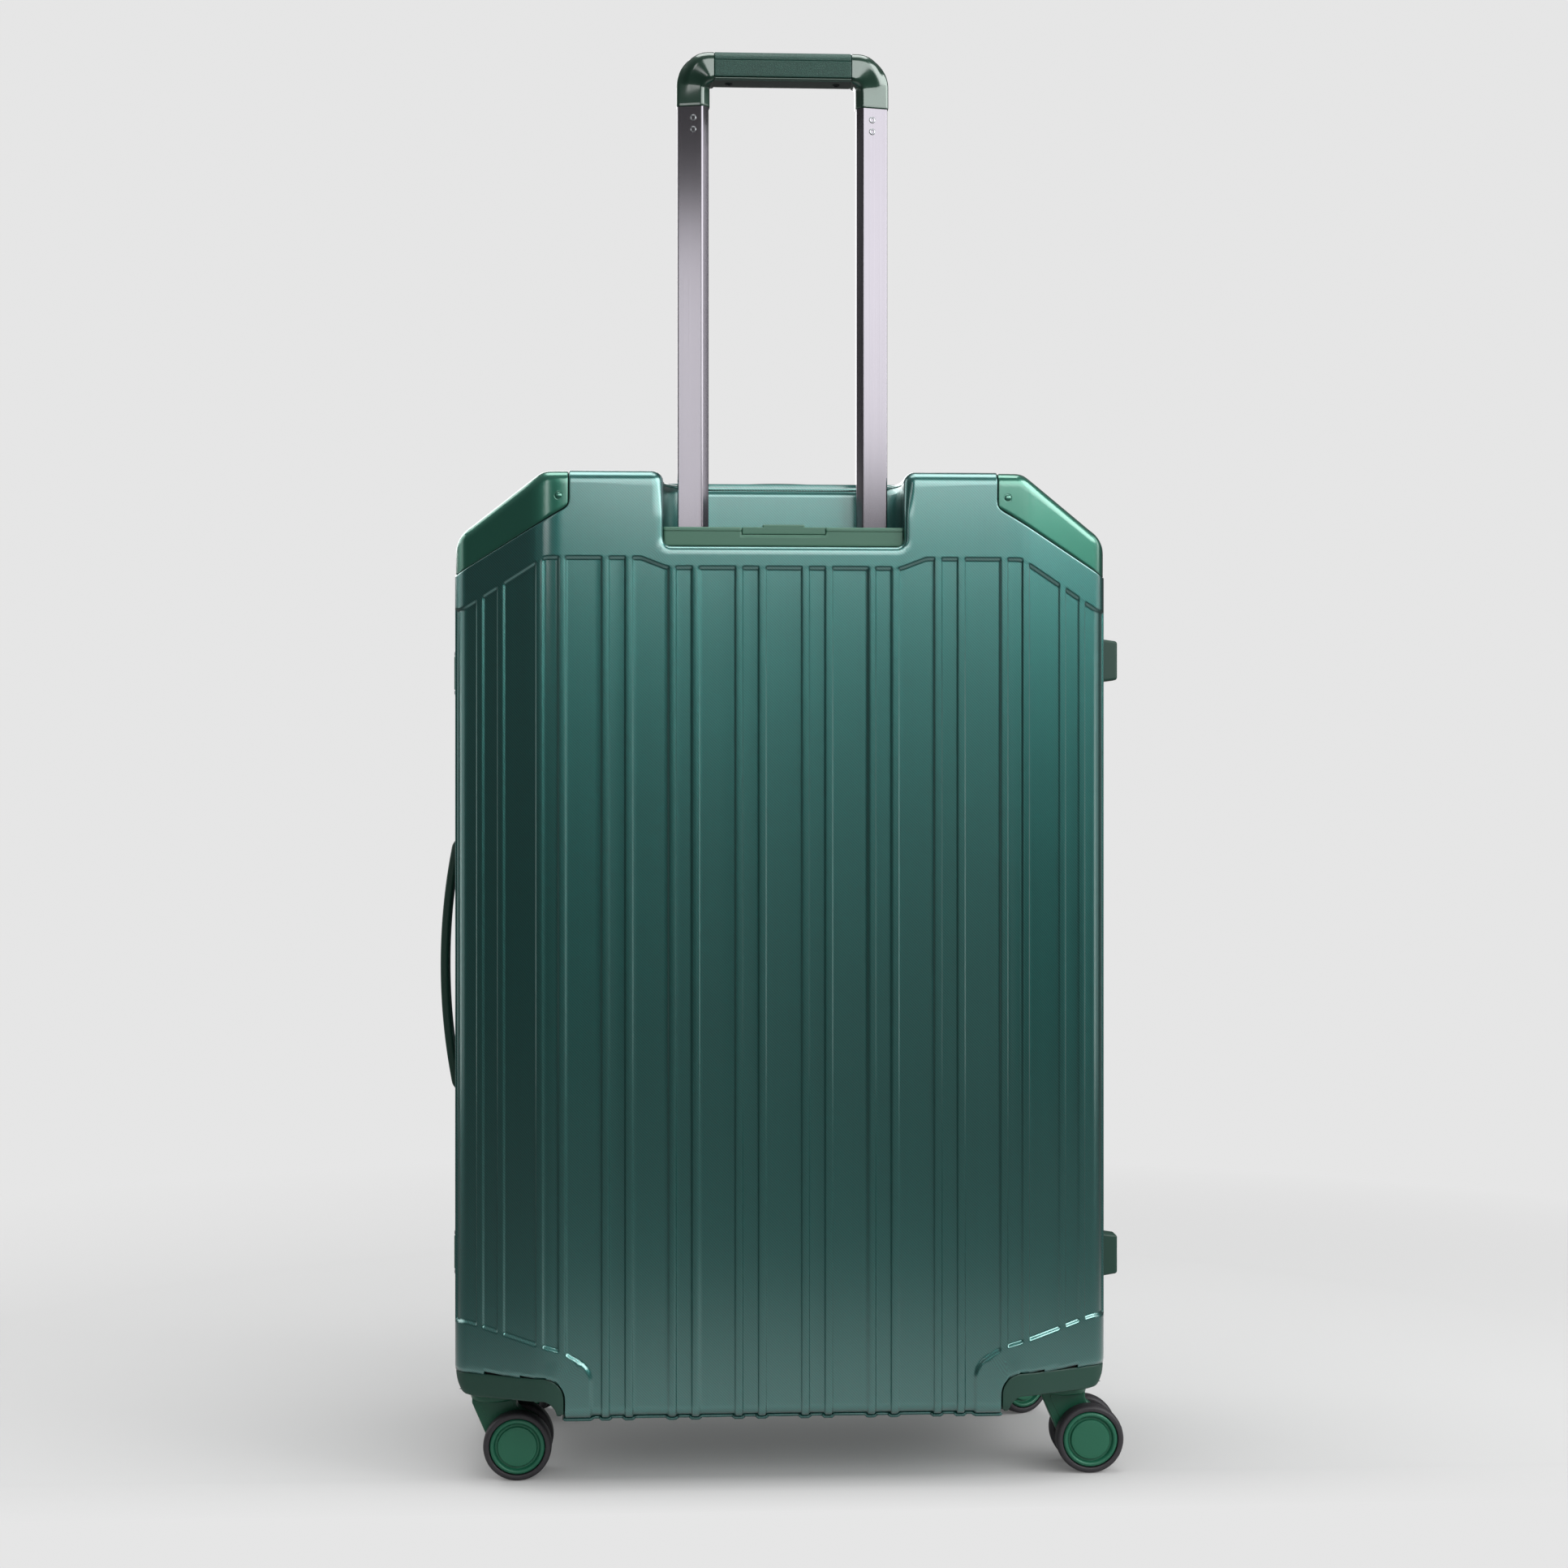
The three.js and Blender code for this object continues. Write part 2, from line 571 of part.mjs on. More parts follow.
function handlePan(onTop) {
  const half = HANDLE_LEG_THICKNESS / 2 + RUNNING_GAP;
  const legX = HANDLE_HALF_LENGTH - HANDLE_LEG_THICKNESS / 2;
  const wide = HANDLE_LEG_WIDTH / 2 + RUNNING_GAP;
  const pan = alongZ(rectangle(-PAN_HALF_LENGTH, PAN_HALF_LENGTH, -PAN_HALF_WIDTH, PAN_HALF_WIDTH, PAN_RADIUS),
    0, 2 * THROUGH);
  const well = alongZ(rectangle(-WELL_HALF_LENGTH, WELL_HALF_LENGTH, -WELL_HALF_WIDTH, WELL_HALF_WIDTH,
    PAN_RADIUS), -WELL_DEPTH, THROUGH);
  const slots = [-1, 1].map((side) => box(side * legX - half, side * legX + half, -wide, wide,
    -THROUGH, THROUGH));
  return placed(join(pan, well, ...slots), handlePlacement(onTop));
}

function handleTub(onTop) {
  const length = PAN_HALF_LENGTH + WALL;
  const width = PAN_HALF_WIDTH + WALL;
  const pan = box(-length, length, -width, width, -WALL, THROUGH);
  const well = box(-WELL_HALF_LENGTH - WALL, WELL_HALF_LENGTH + WALL, -WELL_HALF_WIDTH - WALL,
    WELL_HALF_WIDTH + WALL, -WELL_DEPTH - WALL, THROUGH);
  return placed(join(pan, well), handlePlacement(onTop));
}

function sidePanBorder() {
  const length = PAN_HALF_LENGTH + PAN_BORDER;
  const width = PAN_HALF_WIDTH + PAN_BORDER;
  const plate = alongZ(rectangle(-length, length, -width, width, PAN_RADIUS + PAN_BORDER), -THROUGH, THROUGH);
  return placed(plate, handlePlacement(false));
}

function handleSolid() {
  const bowZ = (x) => HANDLE_APEX - (HANDLE_BOW_RADIUS - Math.sqrt(HANDLE_BOW_RADIUS ** 2 - x * x));
  const steps = 10;
  const upper = [];
  const lower = [];
  for (let i = 0; i <= steps; i += 1) {
    const x = HANDLE_HALF_LENGTH * ((2 * i) / steps - 1);
    upper.push(new THREE.Vector2(x, bowZ(x)));
    lower.push(new THREE.Vector2(x, bowZ(x) - HANDLE_THICKNESS));
  }
  const bow = alongY(new THREE.Shape([...lower, ...upper.reverse()]), -HANDLE_WIDTH / 2, HANDLE_WIDTH / 2);
  const footTop = -WALL - HANDLE_TRAVEL - GAP;
  const legs = [-1, 1].map((side) => {
    const legX = side * (HANDLE_HALF_LENGTH - HANDLE_LEG_THICKNESS / 2);
    const half = HANDLE_LEG_THICKNESS / 2;
    const wide = HANDLE_LEG_WIDTH / 2;
    const leg = box(legX - half, legX + half, -wide, wide, footTop - 1, bowZ(HANDLE_HALF_LENGTH) - 1);
    const foot = box(legX - HANDLE_FOOT_LENGTH / 2, legX + HANDLE_FOOT_LENGTH / 2, -wide, wide,
      footTop - HANDLE_FOOT_THICKNESS, footTop);
    return join(leg, foot);
  });
  return join(bow, ...legs);
}

// ---------------------------------------------------------------- shells and frame

function shellSolid(isBack) {
  const border = bodyForm(0, SHELL_RIM);
  const panels = bodyForm(RIB_HEIGHT, SHELL_RIM);
  const fieldArea = field(isBack ? RECESS_FLOOR - FIELD_UNDER_RECESS : FIELD_TOP);
  const raised = [cut(border, fieldArea), common(border, ribs())];
  if (isBack) {
    raised.push(common(border, sidePanBorder()));
  }
  const outer = join(panels, ...raised);

  const tubs = [];
  const cuts = [];
  for (const flip of [(solid) => solid, (solid) => toSolid(mirrorX(toGeometry(solid)))]) {
    tubs.push(flip(housingRegion(-WALL, TRIM_RIM)));
    cuts.push(flip(housingRegion(0, HOUSING_RIM + GAP)));
    const seat = cut(guardRegion(0, TRIM_RIM + GAP), bodyForm(GUARD_SUNK + GUARD_THICKNESS + GAP, 0));
    cuts.push(flip(seat));
  }
  if (isBack) {
    const clearance = tubeSection(RUNNING_GAP + OUTER_TUBE_WALL + GAP);
    tubs.push(recessTub(), handleTub(true), handleTub(false));
    cuts.push(recessForm(0), topDip(), handlePan(true), handlePan(false));
    for (const side of [-1, 1]) {
      cuts.push(tubeRun(clearance, side, RECESS_FLOOR - THROUGH, RECESS_FLOOR + 1));
    }
  }
  const hollow = cut(bodyForm(CAVITY_INSET, 0), ...tubs);
  return cut(outer, hollow, ...cuts);
}

function backRail() {
  const channel = frameRing(RAIL_FLANGE - RAIL_PROUD, CAVITY_INSET + GAP, -RAIL_DEPTH - 1, -RIM_GROOVE_WEB);
  const groove = frameRing(SEAL_GROOVE_OUTER, SEAL_GROOVE_INNER, -SEAL_GROOVE_DEPTH, 1);
  return cut(frameRing(-RAIL_PROUD, RAIL_INNER, -RAIL_DEPTH, -GAP), channel, groove);
}

function frontRail() {
  const channel = frameRing(RAIL_FLANGE - RAIL_PROUD, CAVITY_INSET + GAP, -RAIL_DEPTH - 1, -RIM_GROOVE_WEB);
  const tongue = frameRing(SEAL_GROOVE_OUTER + TONGUE_SIDE_GAP, SEAL_GROOVE_INNER - TONGUE_SIDE_GAP, -1, TONGUE_DEPTH);
  return join(cut(frameRing(-RAIL_PROUD, RAIL_INNER, -RAIL_DEPTH, -GAP), channel), tongue);
}

function sealRing() {
  const bottom = GAP - SEAL_GROOVE_DEPTH;
  return frameRing(SEAL_GROOVE_OUTER + GAP, SEAL_GROOVE_INNER - GAP, bottom, bottom + SEAL_THICKNESS);
}

// ---------------------------------------------------------------- corner guards, housings, feet

// Both are made for the back right corner and mirrored to the others.
function guardSolid() {
  const skin = cut(bodyForm(GUARD_SUNK, TRIM_RIM), bodyForm(GUARD_SUNK + GUARD_THICKNESS, 0));
  const guard = common(skin, guardRegion(GAP, TRIM_RIM));
  const profile = [];
  for (let i = 0; i <= 3; i += 1) {
    const angle = (Math.PI / 2) * (i / 3);
    profile.push(new THREE.Vector2(GUARD_RIVET_RADIUS * Math.cos(angle), GUARD_RIVET_HEIGHT * Math.sin(angle)));
  }
  profile[3].x = 0;
  profile.unshift(new THREE.Vector2(0, -1), new THREE.Vector2(GUARD_RIVET_RADIUS, -1));
  const dome = new THREE.LatheGeometry(profile, 12).rotateX(Math.PI);
  const rivetX = GUARD_INNER_X + GUARD_RIVET_INSET;
  const rivetZ = GUARD_EDGE_Z + GUARD_RIVET_INSET;
  return join(guard, toSolid(moved(dome, rivetX, GUARD_SUNK - HALF_DEPTH, rivetZ)));
}

function housingSolid() {
  const block = common(bodyForm(GUARD_SUNK, HOUSING_RIM), housingRegion(GAP, HOUSING_RIM));
  const archX = HOUSING_INNER_X + HOUSING_LIP;
  const arch = alongY(roundedShape([
    [archX, BODY_BOTTOM - THROUGH],
    [HALF_WIDTH + THROUGH, BODY_BOTTOM - THROUGH],
    [HALF_WIDTH + THROUGH, HOUSING_FLOOR],
    [archX, HOUSING_FLOOR, HOUSING_ARCH_RADIUS],
  ]), -HALF_DEPTH - THROUGH, 0);
  const rib = HOUSING_WALL;
  const inside = box(archX, SWIVEL_X + FORK_DISC_RADIUS - 8, -HALF_DEPTH + 32, HOUSING_RIM - rib,
    HOUSING_FLOOR + rib, HOUSING_TOP + THROUGH);
  const boss = roundZ(STEM_RADIUS + rib + 1, SWIVEL_X, -SWIVEL_Y, HOUSING_FLOOR, HOUSING_TOP - GAP - rib);
  const bore = roundZ(STEM_RADIUS + RUNNING_GAP, SWIVEL_X, -SWIVEL_Y, HOUSING_FLOOR - THROUGH,
    HOUSING_FLOOR + STEM_LENGTH + 1);
  return cut(join(cut(block, arch, inside), boss), bore);
}

function sideFoot() {
  const reach = FOOT_PROUD + RIB_HEIGHT - GAP;
  const geometry = new THREE.BoxGeometry(FOOT_WIDTH, FOOT_LENGTH, reach);
  const position = geometry.attributes.position;
  for (let i = 0; i < position.count; i += 1) {
    if (position.getZ(i) > 0) {
      position.setX(i, position.getX(i) - Math.sign(position.getX(i)) * FOOT_TAPER);
      position.setY(i, position.getY(i) - Math.sign(position.getY(i)) * FOOT_TAPER);
    }
  }
  const turned = transformed(geometry, new THREE.Matrix4().makeBasis(Y_AXIS, Z_AXIS, X_AXIS));
  return toSolid(turned.translate(HALF_WIDTH + FOOT_PROUD - reach / 2, 0, 0));
}

// ---------------------------------------------------------------- casters

// Local frame: z from the floor, origin under the swivel axis, trail towards +x.
function forkSolid() {
  const top = HOUSING_FLOOR - RUNNING_GAP;
  const discBottom = top - FORK_DISC_THICKNESS;
  const collarBottom = discBottom - FORK_COLLAR_THICKNESS;
  const disc = roundZ(FORK_DISC_RADIUS, 0, 0, discBottom, top, 24);
  const collar = roundZ(FORK_COLLAR_RADIUS, 0, 0, collarBottom, discBottom + 1, 24);
  const stem = roundZ(STEM_RADIUS, 0, 0, top - 1, HOUSING_FLOOR + STEM_LENGTH);
  const web = (WHEEL_TRACK - WHEEL_WIDTH) / 2 - RUNNING_GAP;
  const waist = FORK_COLLAR_RADIUS - 1.5;
  const arm = alongY(roundedShape([
    [-waist, collarBottom + 1],
    [-waist, collarBottom - 2, 4],
    [TRAIL - FORK_BOSS_RADIUS - 4, WHEEL_RADIUS - 6, FORK_BOSS_RADIUS],
    [TRAIL + FORK_BOSS_RADIUS, WHEEL_RADIUS - FORK_BOSS_RADIUS, FORK_BOSS_RADIUS],
    [TRAIL + FORK_BOSS_RADIUS, WHEEL_RADIUS + 14, 8],
    [waist, collarBottom + 1],
  ]), -web, web);
  const bore = roundY(AXLE_RADIUS + GAP, TRAIL, WHEEL_RADIUS, -THROUGH, THROUGH, 12);
  return cut(join(disc, collar, stem, arm), bore);
}

function axleSolid() {
  const reach = (WHEEL_TRACK + WHEEL_WIDTH) / 2 - HUB_FLOOR - GAP;
  return roundY(AXLE_RADIUS, TRAIL, WHEEL_RADIUS, -reach, reach, 12);
}

// Wheel parts turn about Y. The profile is drawn as (radius, depth), depth 0 at the outer face.
function wheelPart(profile, segments) {
  const points = profile.map(([radius, depth]) => new THREE.Vector2(radius, depth - WHEEL_WIDTH / 2));
  return new THREE.LatheGeometry(points, segments);
}

function hubGeometry() {
  const wall = AXLE_RADIUS + GAP;
  const groove = 2.2;
  const profile = [
    [0, 0.6], [CAP_RADIUS - 0.6, 0.6], [CAP_RADIUS, groove + 0.6],
    [CAP_RADIUS + 1.6, groove + 0.6], [HUB_RADIUS - 1.4, 0.4], [HUB_RADIUS, 1.2],
    [HUB_RADIUS, WHEEL_WIDTH], [wall, WHEEL_WIDTH], [wall, HUB_FLOOR], [0, HUB_FLOOR],
  ];
  return wheelPart(profile, 16);
}

function tyreGeometry() {
  const inner = HUB_RADIUS + GAP;
  const profile = [
    [inner, 0], [WHEEL_RADIUS - 2, 0], [WHEEL_RADIUS, 2.5], [WHEEL_RADIUS, WHEEL_WIDTH - 2.5],
    [WHEEL_RADIUS - 2, WHEEL_WIDTH], [inner, WHEEL_WIDTH], [inner, 0],
  ];
  return wheelPart(profile, 20);
}

// ---------------------------------------------------------------- trolley

// Section of the right inner tube: a wide face turned outwards and a narrow one inwards.
const TUBE_SECTION = [
  [-6.2, -7.5, 1], [10.65, 1.5, 1], [10.65, 4.5, 1], [7.6, 7.5, 1],
  [-7.6, 7.5, 1], [-10.65, 4.4, 1], [-10.65, -3.2, 1],
];

const tubeSection = (grow) => insetCorners(TUBE_SECTION, -grow);

function tubeRun(section, side, z0, z1) {
  const corners = section.map(([x, y, radius]) => [side * (TUBE_X + x), TUBE_Y + y, radius]);
  return alongZ(roundedShape(side > 0 ? corners : corners.reverse(), Math.PI / 3), z0, z1);
}

function innerTube(side) {
  return cut(
    tubeRun(tubeSection(0), side, TUBE_BOTTOM, TUBE_TOP),
    tubeRun(tubeSection(-TUBE_WALL), side, TUBE_BOTTOM - 1, TUBE_TOP + 1),
  );
}

function outerTube(side) {
  return cut(
    tubeRun(tubeSection(RUNNING_GAP + OUTER_TUBE_WALL), side, OUTER_TUBE_BOTTOM, RECESS_FLOOR),
    tubeRun(tubeSection(RUNNING_GAP), side, OUTER_TUBE_BOTTOM - 1, RECESS_FLOOR + 1),
  );
}

function gripForm() {
  const inner = GRIP_HALF_WIDTH - GRIP_LEG_WIDTH;
  const shape = roundedShape([
    [-GRIP_HALF_WIDTH, GRIP_BOTTOM],
    [-inner, GRIP_BOTTOM],
    [-inner, GRIP_BAR_BOTTOM, GRIP_INNER_RADIUS],
    [inner, GRIP_BAR_BOTTOM, GRIP_INNER_RADIUS],
    [inner, GRIP_BOTTOM],
    [GRIP_HALF_WIDTH, GRIP_BOTTOM],
    [GRIP_HALF_WIDTH, GRIP_TOP, GRIP_ELBOW_RADIUS],
    [-GRIP_HALF_WIDTH, GRIP_TOP, GRIP_ELBOW_RADIUS],
  ], Math.PI / 12);
  const geometry = new THREE.ExtrudeGeometry(shape, {
    depth: GRIP_DEPTH - 2 * GRIP_BEVEL,
    bevelThickness: GRIP_BEVEL,
    bevelSize: GRIP_BEVEL * 0.75,
    bevelOffset: -GRIP_BEVEL * 0.75,
    bevelSegments: 2,
  });
  geometry.translate(0, 0, GRIP_BEVEL - GRIP_DEPTH / 2);
  return toSolid(geometry.rotateX(Math.PI / 2).translate(0, TUBE_Y, 0));
}

function buttonBlock(grow, bottom, top) {
  const length = BUTTON_LENGTH / 2 + grow;
  const width = BUTTON_WIDTH / 2 + grow;
  return alongZ(rectangle(-length, length, TUBE_Y - width, TUBE_Y + width, width - 0.01), bottom, top);
}

function gripCore(grow) {
  const depth = GRIP_DEPTH / 2 - WRAP_THICKNESS + grow;
  const length = WRAP_HALF_LENGTH + 2;
  return box(-length, length, TUBE_Y - depth, TUBE_Y + depth, WRAP_BOTTOM - 1, GRIP_TOP - WRAP_THICKNESS + grow);
}

function wrapZone(grow) {
  const length = WRAP_HALF_LENGTH + grow;
  return box(-length, length, TUBE_Y - THROUGH, TUBE_Y + THROUGH, WRAP_BOTTOM - grow, GRIP_TOP + THROUGH);
}

function gripFrame() {
  const wellBottom = GRIP_TOP - BUTTON_HEIGHT - BUTTON_TRAVEL - RUNNING_GAP;
  const sockets = [-1, 1].map((side) => tubeRun(tubeSection(GAP), side, GRIP_BOTTOM - 1, TUBE_TOP + GAP));
  const bare = cut(gripForm(), wrapZone(0));
  const core = common(gripForm(), gripCore(0), wrapZone(1));
  return cut(join(bare, core), ...sockets, buttonBlock(RUNNING_GAP, wellBottom, GRIP_TOP + 1));
}

function gripWrap() {
  const sleeve = cut(common(gripForm(), wrapZone(-GAP)), gripCore(GAP));
  return cut(sleeve, buttonBlock(RUNNING_GAP, GRIP_BAR_BOTTOM, GRIP_TOP + 1));
}

function bezelSolid() {
  const half = RECESS_HALF_WIDTH - GAP;
  const bottom = RECESS_FLOOR + GAP;
  const bar = alongY(roundedShape([
    [-half, bottom, BEZEL_CORNER_RADIUS],
    [half, bottom, BEZEL_CORNER_RADIUS],
    [half, bottom + BEZEL_HEIGHT],
    [-half, bottom + BEZEL_HEIGHT],
  ]), BEZEL_FRONT, 0);
  const holes = [-1, 1].map((side) => tubeRun(tubeSection(RUNNING_GAP), side, bottom - 1, BODY_TOP));
  const pocket = insertBlock(GAP);
  return cut(common(bar, recessForm(GAP)), ...holes, pocket);
}

function insertBlock(grow) {
  const top = RECESS_FLOOR + GAP + BEZEL_HEIGHT;
  const half = INSERT_HALF_WIDTH + grow;
  const back = BEZEL_FRONT + INSERT_DEPTH + grow;
  return box(-half, half, BEZEL_FRONT - grow, back, top - INSERT_HEIGHT - grow, top + grow);
}

function insertSolid() {
  const top = RECESS_FLOOR + GAP + BEZEL_HEIGHT;
  const tab = box(-INSERT_TAB_HALF_WIDTH, INSERT_TAB_HALF_WIDTH, BEZEL_FRONT, BEZEL_FRONT + INSERT_DEPTH * 0.7,
    top - 1, top + INSERT_TAB_HEIGHT);
  return join(insertBlock(0), tab);
}

// ---------------------------------------------------------------- latches and hinges

const RAIL_SIDE = HALF_WIDTH + RAIL_PROUD;

function latchBase() {
  const half = LATCH_HEIGHT / 2;
  const outer = -RAIL_SIDE - GAP;
  const plate = box(outer - LATCH_PLATE, outer, -RAIL_DEPTH, -GAP - 1, -half, half);
  const earX0 = LATCH_PIVOT_X - LATCH_KNUCKLE_RADIUS + 0.2;
  const earY0 = LATCH_PIVOT_Y - LATCH_KNUCKLE_RADIUS;
  const ears = [-1, 1].map((side) => {
    const inner = side * (half - LATCH_EAR);
    const z0 = Math.min(inner, side * half);
    return box(earX0, outer, earY0, 1 - RAIL_DEPTH, z0, z0 + LATCH_EAR);
  });
  const pin = roundZ(LATCH_PIN_RADIUS, LATCH_PIVOT_X, LATCH_PIVOT_Y, 1 - half, half - 1, 10);
  return join(plate, ...ears, pin);
}

function latchLever() {
  const half = LATCH_HEIGHT / 2 - LATCH_EAR - RUNNING_GAP;
  const inner = -RAIL_SIDE - GAP - LATCH_PLATE - GAP;
  const blade = alongZ(roundedShape([
    [inner - LATCH_LEVER_THICKNESS, LATCH_PIVOT_Y, 0],
    [inner, LATCH_PIVOT_Y, 0],
    [inner, LATCH_LEVER_END - 4, 0],
    [inner - 0.6, LATCH_LEVER_END, 0.5],
    [inner - LATCH_LEVER_THICKNESS, LATCH_LEVER_END - 3, 2],
  ]), -half, half);
  const knuckle = roundZ(LATCH_KNUCKLE_RADIUS, LATCH_PIVOT_X, LATCH_PIVOT_Y, -half, half, 12);
  const bore = roundZ(LATCH_PIN_RADIUS + GAP, LATCH_PIVOT_X, LATCH_PIVOT_Y, -half - 1, half + 1, 10);
  return cut(join(blade, knuckle), bore);
}

function hingeLeaf(isBack) {
  const half = HINGE_HEIGHT / 2;
  const split = half - HINGE_KNUCKLE;
  const outer = RAIL_SIDE + GAP;
  const plate = box(outer, outer + HINGE_PLATE, -RAIL_DEPTH, -GAP - 1, -half, half);
  const spans = isBack ? [[-half, -split], [split, half]] : [[RUNNING_GAP - split, split - RUNNING_GAP]];
  const knuckles = spans.map(([z0, z1]) => join(
    roundZ(HINGE_RADIUS, HINGE_X, 0, z0, z1, 16),
    box(outer, HINGE_X, -HINGE_RADIUS + 0.4, -GAP, z0, z1),
    box(outer, outer + HINGE_PLATE, -RAIL_DEPTH, -GAP, z0, z1),
  ));
  const leaf = join(plate, ...knuckles);
  if (isBack) {
    return join(leaf, roundZ(HINGE_PIN_RADIUS, HINGE_X, 0, -half, half, 12));
  }
  return cut(leaf, roundZ(HINGE_PIN_RADIUS + GAP, HINGE_X, 0, -half - 1, half + 1, 12));
}

// ---------------------------------------------------------------- assembly

const group = new THREE.Group();

function add(name, geometry, finish) {
  const mesh = new THREE.Mesh(geometry, new THREE.MeshStandardMaterial(finish));
  mesh.name = name;
  group.add(mesh);
}

const keep = (geometry) => geometry;

add('back_shell', toGeometry(shellSolid(true)), SHELL_GREEN);
add('front_shell', mirrorY(toGeometry(shellSolid(false))), SHELL_GREEN);
add('back_frame_rail', toGeometry(backRail()), ALUMINIUM);
add('front_frame_rail', mirrorY(toGeometry(frontRail())), ALUMINIUM);
add('frame_seal', toGeometry(sealRing()), SEAL_BLACK);

const guard = toGeometry(guardSolid());
const housing = toGeometry(housingSolid());
for (const [half, turn] of [['back', keep], ['front', mirrorY]]) {
  for (const [side, flip] of [['left', mirrorX], ['right', keep]]) {
    add(`corner_guard_${half}_${side}`, turn(flip(guard)), TRIM_GREEN);
    add(`wheel_housing_${half}_${side}`, turn(flip(housing)), TRIM_GREEN);
  }
}

const fork = toGeometry(forkSolid());
const axle = toGeometry(axleSolid());
const hub = hubGeometry();
const tyre = tyreGeometry();
for (const [corner, degrees] of Object.entries(CASTER_ANGLES)) {
  const [half, side] = corner.split('_');
  const x = side === 'left' ? -SWIVEL_X : SWIVEL_X;
  const y = half === 'back' ? -SWIVEL_Y : SWIVEL_Y;
  const place = new THREE.Matrix4().makeRotationZ(THREE.MathUtils.degToRad(degrees)).setPosition(x, y, 0);
  add(`caster_fork_${corner}`, transformed(fork, place), TRIM_GREEN);
  add(`caster_axle_${corner}`, transformed(axle, place), STEEL);
  for (const [wheel, flip, offset] of [['a', keep, -WHEEL_TRACK / 2], ['b', mirrorY, WHEEL_TRACK / 2]]) {
    add(`wheel_hub_${corner}_${wheel}`,
      transformed(moved(flip(hub), TRAIL, offset, WHEEL_RADIUS), place), TRIM_GREEN);
    add(`tyre_${corner}_${wheel}`,
      transformed(moved(flip(tyre), TRAIL, offset, WHEEL_RADIUS), place), TYRE_GREY);
  }
}

for (const [side, sign] of [['left', -1], ['right', 1]]) {
  add(`trolley_inner_tube_${side}`, toGeometry(innerTube(sign)), ALUMINIUM);
  add(`trolley_outer_tube_${side}`, toGeometry(outerTube(sign)), ALUMINIUM);
}
add('grip_frame', toGeometry(gripFrame()), TRIM_GREEN);
add('grip_wrap', toGeometry(gripWrap()), GRIP_GREEN);
add('release_button', toGeometry(buttonBlock(0, GRIP_TOP - BUTTON_HEIGHT, GRIP_TOP + BUTTON_PROUD)), TRIM_GREEN);
add('trolley_base_bezel', toGeometry(bezelSolid()), BEZEL_GREEN);
add('trolley_base_insert', toGeometry(insertSolid()), BEZEL_GREEN);

const handle = toGeometry(handleSolid());
add('top_handle', transformed(handle, handlePlacement(true)), TRIM_GREEN);
add('side_handle', transformed(handle, handlePlacement(false)), TRIM_GREEN);

const foot = toGeometry(sideFoot());
const footDepth = sideGapDepth();
for (const [level, z] of Object.entries(FOOT_HEIGHTS)) {
  add(`side_foot_back_${level}`, moved(foot, 0, -footDepth, z), TRIM_GREEN);
  add(`side_foot_front_${level}`, moved(foot, 0, footDepth, z), TRIM_GREEN);
}

const latchPlate = toGeometry(latchBase());
const lever = toGeometry(latchLever());
const backLeaf = toGeometry(hingeLeaf(true));
const frontLeaf = mirrorY(toGeometry(hingeLeaf(false)));
for (const [level, z] of Object.entries(CLASP_HEIGHTS)) {
  add(`latch_base_${level}`, moved(latchPlate, 0, 0, z), STEEL);
  add(`latch_lever_${level}`, moved(lever, 0, 0, z), TRIM_GREEN);
  add(`hinge_leaf_back_${level}`, moved(backLeaf, 0, 0, z), STEEL);
  add(`hinge_leaf_front_${level}`, moved(frontLeaf, 0, 0, z), STEEL);
}

export default group;
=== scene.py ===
"""Hard shell suitcase with a closing frame, twin-wheel casters and a pull-out trolley.

The case is built in millimetres and each finished piece is scaled to metres.
+Z is up, -Y is the trolley side, -X the latch side and +X the hinge side.
"""

from math import atan2, ceil, cos, degrees, pi, radians, sin, tan

import bmesh
import bpy
import numpy as np
from mathutils import Euler, Matrix, Vector


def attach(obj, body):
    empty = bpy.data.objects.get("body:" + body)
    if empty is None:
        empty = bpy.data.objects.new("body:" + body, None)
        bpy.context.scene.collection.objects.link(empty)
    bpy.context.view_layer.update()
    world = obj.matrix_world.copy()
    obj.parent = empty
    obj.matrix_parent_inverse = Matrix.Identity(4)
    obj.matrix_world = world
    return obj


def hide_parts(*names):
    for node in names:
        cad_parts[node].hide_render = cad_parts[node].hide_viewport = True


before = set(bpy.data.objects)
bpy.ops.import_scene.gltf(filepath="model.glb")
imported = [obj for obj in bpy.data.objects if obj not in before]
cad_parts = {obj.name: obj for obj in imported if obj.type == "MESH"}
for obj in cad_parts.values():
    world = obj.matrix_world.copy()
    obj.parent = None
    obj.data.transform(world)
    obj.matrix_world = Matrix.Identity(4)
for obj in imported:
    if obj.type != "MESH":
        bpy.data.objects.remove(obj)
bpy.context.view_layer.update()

MM = 0.001
CORNERS = [(half, side) for half in ("back", "front") for side in ("left", "right")]
SIDE_SIGN = {"left": -1, "right": 1}
HALF_SIGN = {"back": -1, "front": 1}
# Pieces of the front half are drawn on the back half and mirrored
FLIP = {"back": "", "front": "y"}
# Edges that bend more than this are rounded
SHARP_EDGE = radians(30)
# Half the step over which the lean of an outline is measured
PROBE = 0.05
FAR_OFF = 1e6


# ---------------------------------------------------------------- mesh tools

def turned(x=0, y=0, z=0):
    return Euler((radians(x), radians(y), radians(z))).to_matrix().to_4x4()


def placed(x=0, y=0, z=0):
    return Matrix.Translation((x, y, z))


